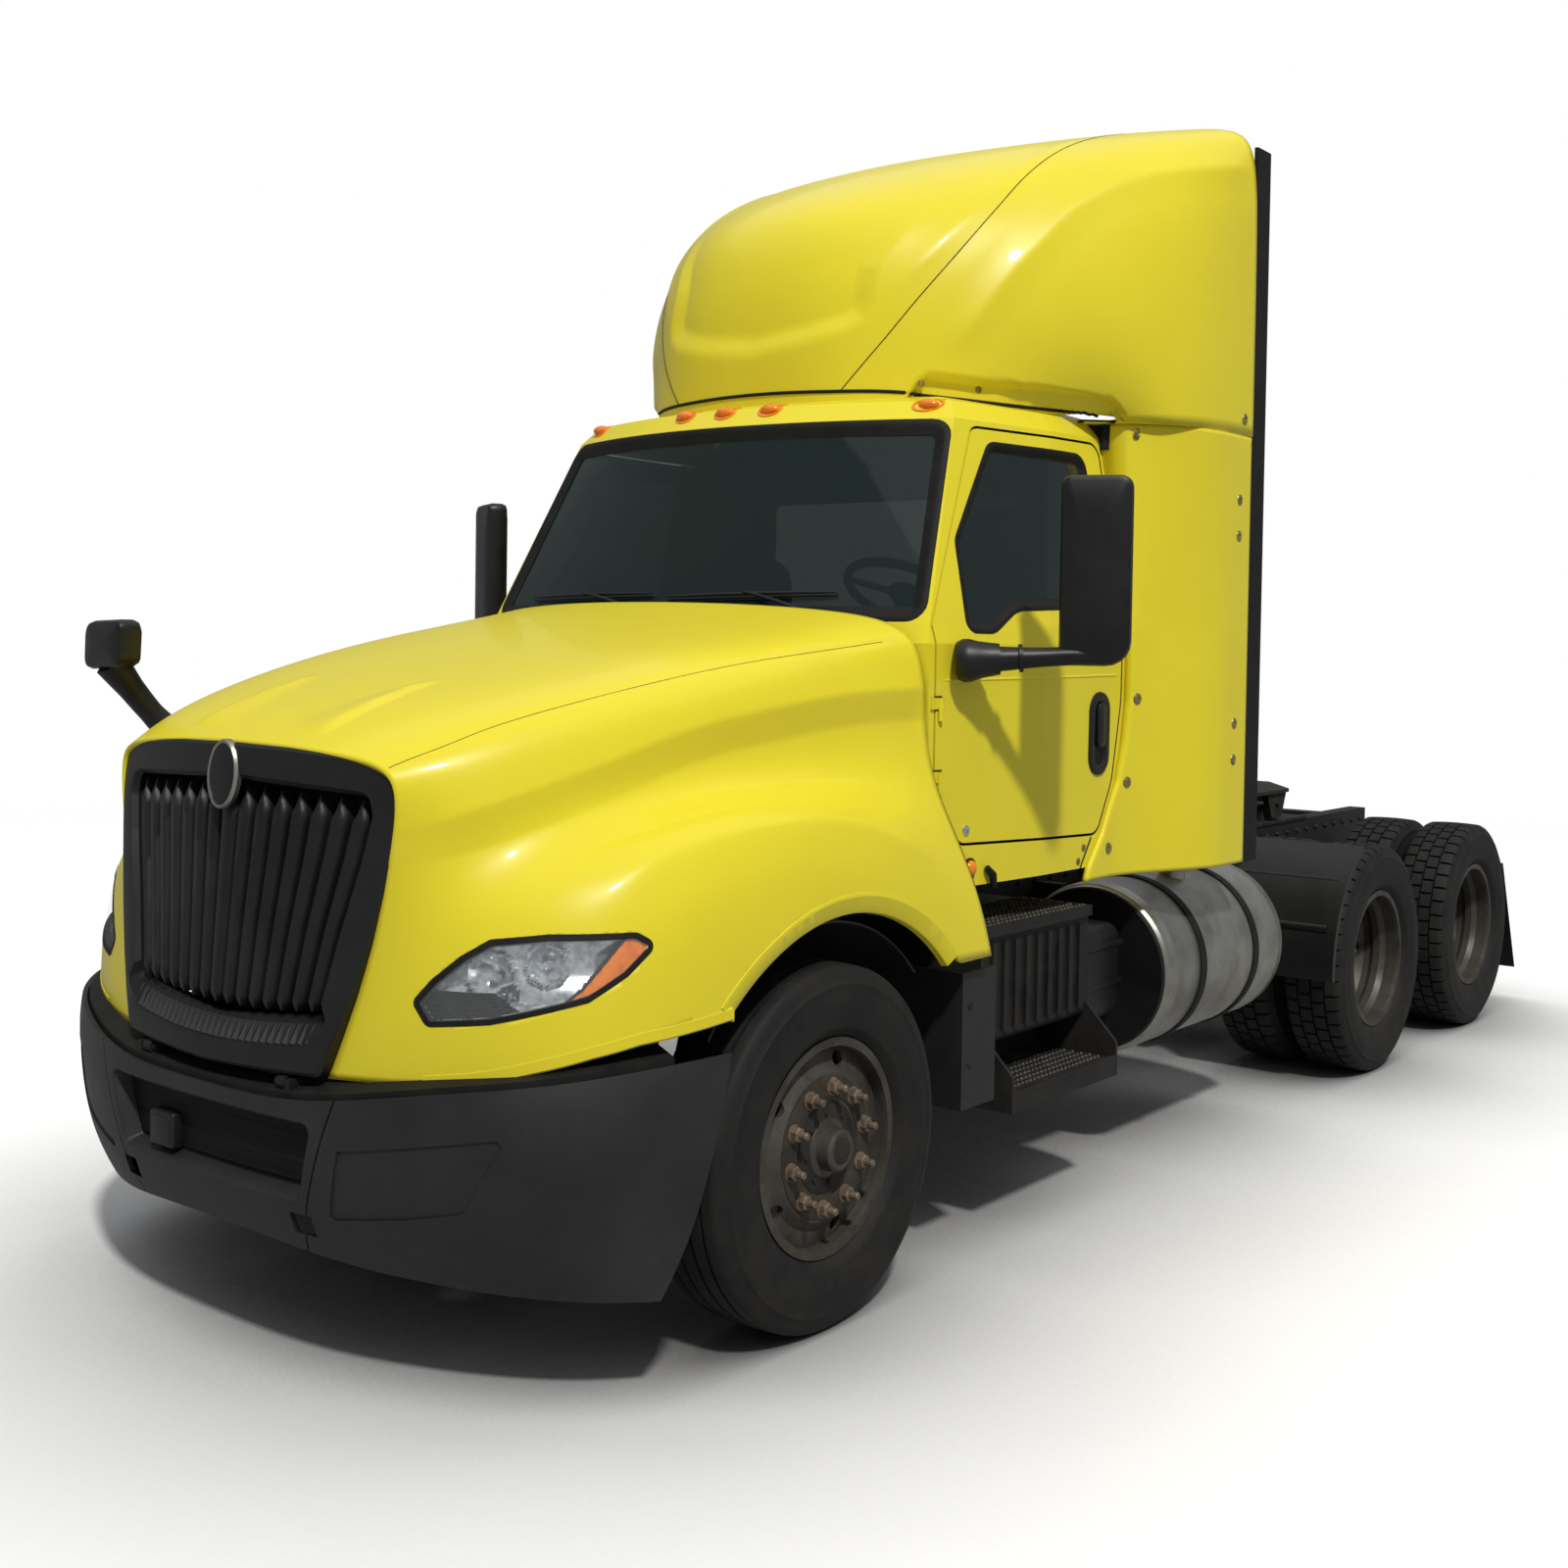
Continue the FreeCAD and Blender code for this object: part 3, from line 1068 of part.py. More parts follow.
def fifth_wheel_plate():
    """The coupling plate, slotted behind for the kingpin, with ribs below and skirts down to the pivot pins."""
    outline = [(-455, -330, 60), (-330, -440, 60), (330, -440, 60), (455, -330, 60), (455, 120, 60), (190, 480, 40), (110, 480),
               (throat_radius, 190), (throat_radius, 0), (-throat_radius, 0), (-throat_radius, 190), (-110, 480),
               (-190, 480, 40), (-455, 120, 60)]
    s, top = fifth_wheel_s, fifth_wheel_top_z
    plate = plan_prism([(c[0], s + c[1]) + tuple(c[2:]) for c in outline], top - plate_thickness, top)
    plate = plate.cut(rod(at(0, s, 1000), at(0, s, 1300), throat_radius))
    pieces = [plate]
    for side in (1, -1):
        x0, x1 = sorted((side * 406, side * 440))
        x2, x3 = sorted((side * 290, side * 324))
        for a, b in ((x0, x1), (x2, x3)):
            pieces.append(side_prism([(s - 120, top - 5), (s - 60, fifth_wheel_pivot_z - 45, 30),
                                      (s + 60, fifth_wheel_pivot_z - 45, 30), (s + 120, top - 5)], a, b))
        x4, x5 = sorted((side * 60, side * 78))
        pieces.append(block(x4, x5, s - 400, s + 200, top - 60, top - 5))
    pieces.append(block(-280, 280, s - 400, s - 384, top - 60, top - 5))
    pieces.append(block(-280, 280, s - 190, s - 174, top - 60, top - 5))
    handle = [rod_x(78, 470, s - 250, top - 50, 9), rod(at(470, s - 250, top - 50), at(470, s - 330, top - 50), 9)]
    whole = fused(pieces + handle)
    return whole.cut(rod_x(-600, 600, s, fifth_wheel_pivot_z, 25 + running_gap))


def tail_lamps():
    bar = block(-365, 365, rail_rear_s + seat_gap, rail_rear_s + 40, 780, 900)
    return bar


def dashboard():
    """The dashboard across the front of the cab, with the steering column on it."""
    outline = [(1700, 1500), (1700, 1990), (2100, 1990), (2290, 1960), (2350, 1800), (2300, 1600), (2200, 1500)]
    body = side_prism(outline, -1000, 1000).common(cab_solid(cab_wall + seat_gap))
    body = body.cut(cab_glass_wall())
    for side in (1, -1):
        x0, x1 = sorted((side * 880, side * 1100))
        body = body.cut(block(x0, x1, 1860, 2500, 1400, 2100))
    start = steering_centre + column_direction() * 36
    column = Part.makeCylinder(30, 260, start, column_direction())
    shaft = Part.makeCylinder(steering_shaft_radius, 60, steering_centre, column_direction())
    return fused([body, column, shaft])


def cab_glass_wall():
    """The space that the windscreen takes, kept clear of the dashboard."""
    return cab_solid(-10).cut(cab_solid(glass_inset + glass_thickness + seat_gap)).common(
        front_prism(grown(windscreen_outline, 20), 1500, cab_middle_s))


def column_direction():
    return FreeCAD.Rotation(along_x, -steering_tilt).multVec(Vector(0, 0, -1))


def seat():
    cushion = rounded(block(330, 830, 2420, 2930, 1560, 1700), 40, None)
    back = rounded(block(340, 820, 2860, 2990, 1660, 2230), 40, None)
    rest = rounded(block(430, 730, 2880, 2980, 2200, 2400), 30, None)
    base = block(420, 740, 2480, 2880, cab_floor_z + cab_wall + seat_gap, 1580)
    return fused([cushion, back, rest, base])


def seats():
    return Part.Compound([seat(), mirrored(seat())])


def steering_wheel():
    ring = Part.makeTorus(215, 16, Vector(0, 0, 0), upwards, 0, 360)
    hub = Part.makeCylinder(42, 44, Vector(0, 0, -28), upwards)
    spokes = [Part.makeBox(215, 24, 14, Vector(0, -12, -7)) for _ in range(3)]
    for i, spoke in enumerate(spokes):
        spoke.rotate(Vector(0, 0, 0), upwards, 90 + 120 * i)
    wheel = fused([ring, hub] + spokes)
    wheel = wheel.cut(Part.makeCylinder(steering_shaft_radius + running_gap, 40, Vector(0, 0, -35), upwards))
    wheel.rotate(Vector(0, 0, 0), along_x, -steering_tilt)
    wheel.translate(steering_centre + column_direction() * -4)
    return wheel


steering_tilt = 30.0
steering_centre = at(560, 2420, 2060)
steering_shaft_radius = 10.0


splash_s = 1880.0


def splash_guards():
    """A guard behind each front wheel, hung from the cab side of the frame."""
    guard = block(760, 1165, splash_s, splash_s + 14, 480, 900)
    outer = block(1151, 1165, splash_s, splash_s + 190, 480, 900)
    arm = block(rail_x + seat_gap, 780, splash_s, splash_s + 40, 790, 830)
    piece = fused([guard, outer, arm])
    return Part.Compound([piece, mirrored(piece)])


def hood_mirror():
    """The small mirror on a bent stalk, whose foot is bolted in the valley between hood and fender, right side only."""
    head = rounded(block(-1075, -862, 290, 372, 1778, 1938), 34, None)
    bend = at(-930, 480, 1600)
    foot_at = at(-872, 560, 1500)
    stalk = rod(at(-966, 345, 1800), bend, 19)
    lower = rod(bend, foot_at + Vector(20, 22, -36), 19)
    elbow = Part.makeSphere(20, bend)
    pad = rod(foot_at + Vector(4, 2, 8), foot_at + Vector(24, 30, -70), 46)
    piece = fused([head, stalk, elbow, lower, pad])
    cutter = skin(hood_rows, -seat_gap, 160, hood_inside)
    return max(piece.cut(cutter).Solids, key=lambda s: s.Volume)


def export(name, shape):
    shape.exportStep("parts/" + name + ".step")
    print(name, len(shape.Solids), shape.isValid(), round(shape.Volume / 1e6, 2))


def main():
    os.makedirs("parts", exist_ok=True)
    export("chassis_frame", chassis_frame())
    export("front_axle", front_axle())
    export("front_springs", front_springs())
    export("drive_axles", drive_axles())
    export("rear_suspension", rear_suspension())
    export("drive_shafts", drive_shafts())
    export("air_tanks", air_tanks())
    export("marker_lamps", marker_lamps())
    export("engine_block", engine_block())
    export("radiator", radiator())
    export("bumper", bumper())
    export("cab_shell", cab_shell())
    export("cab_glass", cab_glass())
    export("roof_fairing", fairing())
    left_extender = extender()
    export("side_extenders", Part.Compound([left_extender, mirrored(left_extender)]))
    edge = extender_edge()
    export("extender_edges", Part.Compound([edge, mirrored(edge)]))
    export("dashboard", dashboard())
    export("seats", seats())
    export("steering_wheel", steering_wheel())
    export("fuel_tank", fuel_tank())
    export("tank_straps", tank_straps())
    export("battery_box", battery_box())
    export("exhaust_box", exhaust_box())
    export("quarter_fenders", quarter_fenders())
    export("mud_flaps", mud_flaps())
    export("deck_plate", deck_plate())
    export("fifth_wheel_base", fifth_wheel_base())
    export("fifth_wheel_plate", fifth_wheel_plate())
    export("tail_lamps", tail_lamps())
    export("bumper_beam", bumper_beam())
    export("splash_guards", splash_guards())
    export("hood_arms", hood_arms())
    export("hood_mirror", hood_mirror())
    export("tie_rod", tie_rod())
    export("hood", hood())
    export("grille_surround", grille_surround())
    export("grille_bars", grille_bars())
    export("headlamps", headlamps())
    for name, build in (("door", door), ("door_glass", door_glass), ("door_mirror", mirror), ("knuckle", knuckle),
                        ("steer_wheel", steer_wheel)):
        left = build()
        export(name + "_left", left)
        export(name + "_right", mirrored(left))
    left = tyre(front_track / 2, front_axle_s)
    export("steer_tyre_left", left)
    export("steer_tyre_right", mirrored(left))
    for number, s in enumerate(drive_axle_s, 1):
        wheels, tyres = dual_wheel(s), dual_tyres(s)
        export("drive_wheel_%d_left" % number, wheels)
        export("drive_wheel_%d_right" % number, mirrored(wheels))
        export("drive_tyres_%d_left" % number, tyres)
        export("drive_tyres_%d_right" % number, mirrored(tyres))


main()
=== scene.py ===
import math

import bmesh
import bpy
import numpy as np
from mathutils import Matrix, Vector


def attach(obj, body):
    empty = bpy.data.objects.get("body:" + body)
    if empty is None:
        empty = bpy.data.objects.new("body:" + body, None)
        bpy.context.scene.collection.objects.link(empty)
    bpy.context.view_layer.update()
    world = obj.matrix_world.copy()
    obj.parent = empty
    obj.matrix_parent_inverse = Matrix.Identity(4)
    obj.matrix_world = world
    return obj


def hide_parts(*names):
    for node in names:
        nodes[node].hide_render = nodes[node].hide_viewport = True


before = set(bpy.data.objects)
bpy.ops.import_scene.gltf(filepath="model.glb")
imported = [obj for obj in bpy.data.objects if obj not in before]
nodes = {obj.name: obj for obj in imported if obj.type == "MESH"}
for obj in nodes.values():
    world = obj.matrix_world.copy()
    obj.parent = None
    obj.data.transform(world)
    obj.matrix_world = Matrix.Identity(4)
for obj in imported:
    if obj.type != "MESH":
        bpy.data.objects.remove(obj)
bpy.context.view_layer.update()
halfLength = 3.72  # the row frame's Y is the distance behind the bumper less this
print("frame loaded with", len(nodes), "nodes")


# Camera, solved from the photograph
camera = {"x": 4.1095, "s": -2.7277, "z": 1.92, "azimuth": 38.4523, "elevation": 1.4236, "roll": 0.885,
          "lens": 41.344, "shiftX": 0.0005, "shiftY": -0.0666}


def addCamera():
    # The view's axes from its azimuth and elevation, then turned about the line of sight by the roll
    az, el, roll = (math.radians(camera[k]) for k in ("azimuth", "elevation", "roll"))
    ahead = np.array([-math.sin(az) * math.cos(el), math.cos(az) * math.cos(el), -math.sin(el)])
    right = np.cross(ahead, [0, 0, 1])
    right /= np.linalg.norm(right)
    up = np.cross(right, ahead)
    turnedRight = right * math.cos(roll) + up * math.sin(roll)
    turnedUp = up * math.cos(roll) - right * math.sin(roll)
    data = bpy.data.cameras.new("photoCamera")
    data.lens = camera["lens"]
    data.sensor_width = 36.0
    data.shift_x = camera["shiftX"]
    data.shift_y = camera["shiftY"]
    data.clip_end = 200.0
    eye = bpy.data.objects.new("photoCamera", data)
    place = np.identity(4)
    place[:3, 0], place[:3, 1], place[:3, 2] = turnedRight, turnedUp, -ahead
    place[:3, 3] = (camera["x"], camera["s"] - halfLength, camera["z"])
    eye.matrix_world = Matrix(place.tolist())
    bpy.context.scene.collection.objects.link(eye)
    bpy.context.scene.camera = eye


addCamera()


# Studio: a pale floor, a white surround for the camera, and soft lamps
studio = {
    "sun": 2.5, "sunAngle": 4.0, "sunTurn": (38, 0, 54), "sunColour": (1.0, 0.98, 0.94), "sky": 280.0,
    "skySize": 14.0, "skyHeight": 9.0, "ambient": 0.27, "ambientColour": (0.93, 0.96, 1.0, 1),
    "floorSize": 90.0, "floorColour": 0.34, "floorGlow": 0.07, "whiteFrom": 6.5, "whiteTo": 15.0,
    "shadeReach": 1.5, "shadePower": 1.5,
}
white = (1, 1, 1, 1)


def node(tree, kind, inputs=(), **values):
    # A shader node with its settings, fed by (socket, output) pairs
    made = tree.nodes.new("ShaderNode" + kind)
    for key, value in values.items():
        if hasattr(made, key):
            setattr(made, key, value)
        else:
            made.inputs[key].default_value = value
    for socket, output in inputs:
        tree.links.new(output, made.inputs[socket])
    return made


def seenBy(tree):
    # 1 for camera and transmission rays, which see the white surround, and 0 for light on the object
    path = node(tree, "LightPath")
    rays = [(0, path.outputs["Is Camera Ray"]), (1, path.outputs["Is Transmission Ray"])]
    return node(tree, "Math", rays, operation="MAXIMUM").outputs[0]


def addLight(kind, energy, **values):
    # A lamp of one kind, with its settings
    data = bpy.data.lights.new(kind.lower() + "Light", kind)
    data.energy = energy
    for key, value in values.items():
        setattr(data, key, value)
    lamp = bpy.data.objects.new(data.name, data)
    bpy.context.scene.collection.objects.link(lamp)
    return lamp


def addStudio():
    scene = bpy.context.scene
    scene.view_settings.view_transform = "Standard"
    scene.world = bpy.data.worlds.new("studioWorld")
    scene.world.use_nodes = True
    tree = scene.world.node_tree
    tree.nodes.clear()
    soft = node(tree, "Background", Color=studio["ambientColour"], Strength=studio["ambient"])
    bright = node(tree, "Background", Color=white, Strength=1.0)
    mix = node(tree, "MixShader", [(0, seenBy(tree)), (1, soft.outputs[0]), (2, bright.outputs[0])])
    node(tree, "OutputWorld", [(0, mix.outputs[0])])
    sun = addLight("SUN", studio["sun"], angle=math.radians(studio["sunAngle"]), color=studio["sunColour"])
    sun.rotation_euler = [math.radians(a) for a in studio["sunTurn"]]
    addLight("AREA", studio["sky"], size=studio["skySize"]).location = (0, 0, studio["skyHeight"])

    half = studio["floorSize"] / 2
    mesh = bpy.data.meshes.new("studioFloor")
    mesh.from_pydata([(-half, -half, 0), (half, -half, 0), (half, half, 0), (-half, half, 0)], [],
                     [(0, 1, 2, 3)])
    floor = bpy.data.objects.new("studioFloor", mesh)
    scene.collection.objects.link(floor)
    mesh.materials.append(floorMaterial())


def floorMaterial():
    # A plain pale floor to the lamps, and white to the camera where nothing shades it. Near the truck it is
    # darkened by what hangs over it, and far away it turns to the white of the surround
    mat = bpy.data.materials.new("studioFloor")
    mat.use_nodes = True
    tree = mat.node_tree
    tree.nodes.clear()
    plain = node(tree, "BsdfDiffuse", Color=(*[studio["floorColour"]] * 3, 1))
    # Painted shade: ambient occlusion darkens the floor's colour and glow under and around the truck, a painted
    # drop shadow on top of the real shadows
    near = node(tree, "AmbientOcclusion", Distance=studio["shadeReach"])
    deep = node(tree, "Math", [(0, near.outputs["AO"])], operation="POWER")
    deep.inputs[1].default_value = studio["shadePower"]
    bright = node(tree, "BsdfPrincipled",
                  [("Base Color", deep.outputs[0]), ("Emission Color", deep.outputs[0])], Roughness=1.0,
                  **{"Specular IOR Level": 0.0, "Emission Strength": studio["floorGlow"]})
    coords = node(tree, "TexCoord")
    reach = node(tree, "VectorMath", [(0, coords.outputs["Object"])], operation="LENGTH")
    far = node(tree, "MapRange", [("Value", reach.outputs["Value"])],
               **{"From Min": studio["whiteFrom"], "From Max": studio["whiteTo"]})
    glow = node(tree, "Emission")
    seen = node(tree, "MixShader", [(0, far.outputs[0]), (1, bright.outputs[0]), (2, glow.outputs[0])])
    mix = node(tree, "MixShader", [(0, seenBy(tree)), (1, plain.outputs[0]), (2, seen.outputs[0])])
    node(tree, "OutputMaterial", [(0, mix.outputs[0])])
    return mat


addStudio()
print("camera and studio set")


# Materials
def look(colour, shade, patch, rough, grain, **more):
    # A colour that drifts to its shade in patches of a scale, a range of roughness, grain of (depth, scale),
    # and more: metal, coat, shine, sheen, stretch, weave, and dust of (colour, height where it ends, amount)
    return {"colour": colour, "shade": shade, "patch": patch, "rough": rough, "grain": grain, **more}


looks = {
    "bodyPaint": look((0.82, 0.7, 0.03), (0.79, 0.67, 0.028), 1.6, (0.3, 0.38), (0.008, 60), coat=0.18,
                      shine=0.22, dust=((0.42, 0.36, 0.12), 1.2, 0.12)),
    "framePaint": look((0.007, 0.007, 0.008), (0.018, 0.017, 0.016), 5, (0.45, 0.75), (0.15, 90), shine=0.3,
                       dust=((0.05, 0.044, 0.034), 1.2, 0.35)),
    "castIron": look((0.01, 0.01, 0.01), (0.03, 0.026, 0.02), 9, (0.55, 0.85), (0.4, 160), shine=0.3,
                     dust=((0.06, 0.05, 0.036), 0.9, 0.45)),
    "bumperPlastic": look((0.014, 0.0145, 0.016), (0.022, 0.023, 0.025), 3, (0.42, 0.58), (0.25, 900),
                          shine=0.4, dust=((0.06, 0.055, 0.045), 0.5, 0.25)),
    "blackPlastic": look((0.005, 0.0055, 0.006), (0.011, 0.011, 0.012), 4, (0.3, 0.5), (0.1, 700), shine=0.4,
                         dust=((0.04, 0.036, 0.03), 0.9, 0.2)),
    "grillePlastic": look((0.006, 0.006, 0.0065), (0.011, 0.011, 0.012), 4, (0.38, 0.52), (0.12, 800),
                          shine=0.4, dust=((0.03, 0.028, 0.024), 1.0, 0.1)),
    "sealRubber": look((0.004, 0.004, 0.004), (0.009, 0.009, 0.008), 12, (0.55, 0.8), (0.12, 300), shine=0.3,
                       dust=((0.04, 0.036, 0.03), 1.2, 0.3)),
    "tyreRubber": look((0.006, 0.006, 0.0065), (0.014, 0.013, 0.012), 7, (0.6, 0.85), (0.3, 220), shine=0.35,
                       dust=((0.035, 0.03, 0.023), 0.9, 0.22)),
    "wheelSteel": look((0.085, 0.08, 0.072), (0.045, 0.039, 0.031), 11, (0.4, 0.65), (0.25, 120), metal=0.35,
                       shine=0.4, dust=((0.07, 0.055, 0.038), 1.1, 0.5)),
    "nutSteel": look((0.22, 0.17, 0.12), (0.1, 0.07, 0.045), 30, (0.45, 0.75), (0.3, 300), metal=0.4),
    "ringSteel": look((0.055, 0.046, 0.035), (0.03, 0.024, 0.018), 18, (0.5, 0.8), (0.25, 240), metal=0.2,
                      shine=0.3, dust=((0.08, 0.062, 0.042), 1.2, 0.5)),
    # Screw heads and their shallow cups: a dark tan, partly painted shade of the dimples they sit in, partly
    # dirt
    "screwSteel": look((0.36, 0.3, 0.1), (0.2, 0.16, 0.06), 40, (0.3, 0.5), (0.1, 300), metal=0.6),
    "engineGrey": look((0.045, 0.045, 0.045), (0.022, 0.02, 0.018), 8, (0.55, 0.8), (0.3, 120), metal=0.3),
    "radiatorFins": look((0.05, 0.05, 0.052), (0.025, 0.025, 0.025), 20, (0.4, 0.6), (0.6, 260), metal=0.7,
                         stretch=(1, 1, 12)),
    "tankMetal": look((0.42, 0.42, 0.39), (0.27, 0.26, 0.23), 6, (0.26, 0.45), (0.06, 90), metal=0.85,
                      stretch=(1, 14, 1), dust=((0.16, 0.14, 0.1), 0.9, 0.5)),
    "chrome": look((0.78, 0.79, 0.8), (0.66, 0.67, 0.69), 5, (0.05, 0.14), (0.01, 60), metal=1.0),
    "trimGrey": look((0.045, 0.048, 0.052), (0.065, 0.07, 0.075), 4, (0.6, 0.8), (0.25, 600)),
    "amberLens": look((0.95, 0.26, 0.006), (0.8, 0.18, 0.004), 30, (0.12, 0.22), (0.3, 140), coat=0.5,
                      stretch=(1, 1, 3)),
    # Lamp bowls: silver made pale and partly diffuse, with dark patches, as painted reflection of the bright
    # and dark things a chrome bowl mirrors
    "lampSilver": look((0.86, 0.89, 0.92), (0.4, 0.43, 0.46), 42, (0.12, 0.28), (0.12, 120), metal=0.72),
    "combPlastic": look((0.02, 0.021, 0.022), (0.008, 0.008, 0.009), 60, (0.2, 0.4), (0.2, 500), metal=0.6),
    "mirrorGlass": look((0.55, 0.58, 0.6), (0.48, 0.51, 0.53), 3, (0.02, 0.06), (0.004, 20), metal=1.0),
    "screenBlack": look((0.003, 0.003, 0.0035), (0.007, 0.007, 0.008), 9, (0.5, 0.8), (0.5, 420), shine=0.2),
    "treadSteel": look((0.016, 0.015, 0.013), (0.07, 0.06, 0.048), 26, (0.4, 0.7), (0.3, 260), metal=0.4),
    "blueCap": look((0.05, 0.22, 0.42), (0.035, 0.15, 0.32), 24, (0.35, 0.5), (0.1, 400)),
    "seatCloth": look((0.02, 0.021, 0.024), (0.036, 0.038, 0.042), 30, (0.85, 0.95), (0.8, 900), weave=520.0,
                      sheen=0.3),
    "redLens": look((0.42, 0.012, 0.01), (0.28, 0.008, 0.008), 25, (0.12, 0.24), (0.3, 120), coat=0.5),
}
looks["cabPaint"] = {**looks["bodyPaint"], "dust": ((0.42, 0.36, 0.12), 1.4, 0.15),
                     "inner": (0.055, 0.058, 0.062), "heart": (0.0, -1.2, 1.9)}
materials = {}


def mixed(tree, factor, under, over, **values):
    # One colour over another by a factor; each is a value or another node's output
    mix = node(tree, "Mix", data_type="RGBA", **values)
    for socket, value in (("Factor", factor), ("A", under), ("B", over)):
        if isinstance(value, (tuple, float)):
            mix.inputs[socket].default_value = value
        else:
            tree.links.new(value, mix.inputs[socket])
    return mix.outputs["Result"]


def ranged(tree, value, **ends):
    # A value moved from one range to another, with the ends given as fromMin, fromMax, toMin and toMax
    names = {"fromMin": "From Min", "fromMax": "From Max", "toMin": "To Min", "toMax": "To Max"}
    return node(tree, "MapRange", [("Value", value)], **{names[k]: v for k, v in ends.items()}).outputs[0]


def dusted(tree, spot, colour, finish):
    # Dust that settles low down, in smears
    dust, top, amount = finish["dust"]
    height = node(tree, "SeparateXYZ", [(0, spot)]).outputs["Z"]
    low = ranged(tree, height, fromMin=top, fromMax=0.15, toMax=amount)
    smear = node(tree, "TexNoise", [("Vector", spot)], Scale=14.0, Detail=6.0, Roughness=0.7)
    spots = ranged(tree, smear.outputs["Fac"], fromMin=0.35, fromMax=0.7)
    cover = node(tree, "Math", [(0, low), (1, spots)], operation="MULTIPLY").outputs[0]
    return mixed(tree, cover, colour, (*dust, 1))


def woven(tree, spot, colour, finish):
    # Two crossed waves make the threads of the cloth; 6.2832 is one whole turn of a wave
    threads = [node(tree, "TexWave", [("Vector", spot)], Scale=finish["weave"] / 6.2832, bands_direction=axis)
               for axis in ("X", "Z")]
    cross = node(tree, "Math", [(k, thread.outputs["Fac"]) for k, thread in enumerate(threads)],
                 operation="MULTIPLY")
    return mixed(tree, 0.5, colour, cross.outputs[0], blend_type="MULTIPLY")


def facedInwards(tree, coords, colour, finish):
    # Faces that look towards the middle of the cab take the colour of its inside
    away = node(tree, "VectorMath", [(0, coords.outputs["Object"])], operation="SUBTRACT")
    away.inputs[1].default_value = finish["heart"]
    facing = node(tree, "VectorMath", [(0, away.outputs[0]), (1, coords.outputs["Normal"])],
                  operation="DOT_PRODUCT")
    inward = node(tree, "Math", [(0, facing.outputs["Value"])], operation="LESS_THAN")
    inward.inputs[1].default_value = 0.0
    return mixed(tree, inward.outputs[0], colour, (*finish["inner"], 1))


def newMaterial(name):
    # A new material's node tree and its shader node
    mat = bpy.data.materials.new(name)
    mat.use_nodes = True
    materials[name] = mat
    return mat.node_tree, mat.node_tree.nodes["Principled BSDF"]


def makeMaterial(name, finish):
    tree, bsdf = newMaterial(name)
    coords = node(tree, "TexCoord")
    spot = coords.outputs["Object"]
    spread = node(tree, "Mapping", [("Vector", spot)], Scale=finish.get("stretch", (1, 1, 1)))
    patches = node(tree, "TexNoise", [("Vector", spot)], Scale=finish["patch"], Detail=5.0, Roughness=0.6)
    patches = patches.outputs["Fac"]
    depth, scale = finish["grain"]
    grain = node(tree, "TexNoise", [("Vector", spread.outputs["Vector"])], Scale=scale, Detail=3.0)
    ramp = node(tree, "ValToRGB", [("Fac", patches)])
    ends = (finish["colour"], finish["shade"])
    for stop, position, colour in zip(ramp.color_ramp.elements, (0.38, 0.66), ends):
        stop.position = position
        stop.color = (*colour, 1)
    colour = ramp.outputs["Color"]
    if "weave" in finish:
        colour = woven(tree, spot, colour, finish)
    if "dust" in finish:
        colour = dusted(tree, spot, colour, finish)
    if "inner" in finish:
        colour = facedInwards(tree, coords, colour, finish)
    polish = ranged(tree, patches, toMin=finish["rough"][0], toMax=finish["rough"][1])
    bump = node(tree, "Bump", [("Height", grain.outputs["Fac"])], Strength=depth, Distance=0.002)
    for socket, output in (("Base Color", colour), ("Roughness", polish), ("Normal", bump.outputs[0])):
        tree.links.new(output, bsdf.inputs[socket])
    for socket, value in (("Metallic", finish.get("metal", 0.0)), ("Coat Weight", finish.get("coat", 0.0)),
                          ("Coat Roughness", 0.06), ("Specular IOR Level", finish.get("shine", 0.5)),
                          ("Sheen Weight", finish.get("sheen", 0.0))):
        bsdf.inputs[socket].default_value = value


for lookName, lookValues in looks.items():
    makeMaterial(lookName, lookValues)


def makeGlass(name, tint, rough, alpha):
    # Thin tinted glass: a faint smear of dust over a clear sheet. The tint is laid over the sheet by alpha, so
    # a dark tint at a high alpha paints shade onto the glass
    tree, bsdf = newMaterial(name)
    coords = node(tree, "TexCoord")
    smear = node(tree, "TexNoise", [("Vector", coords.outputs["Object"])], Scale=5.0, Detail=6.0).outputs["Fac"]
    for socket, (least, most) in (("Roughness", rough), ("Alpha", alpha)):
        tree.links.new(ranged(tree, smear, toMin=least, toMax=most), bsdf.inputs[socket])
    bsdf.inputs["Base Color"].default_value = (*tint, 1)
    bsdf.inputs["IOR"].default_value = 1.5


# Cab and door glass: a green tint, near black and mostly opaque, most of all in the doors, which paints the
# shade of the cab's inside onto the glass
makeGlass("cabGlass", (0.012, 0.024, 0.023), (0.02, 0.06), (0.62, 0.7))
makeGlass("doorGlass", (0.01, 0.018, 0.018), (0.02, 0.06), (0.84, 0.9))
makeGlass("lampGlass", (0.75, 0.78, 0.8), (0.02, 0.05), (0.03, 0.07))
print("materials made:", len(materials))


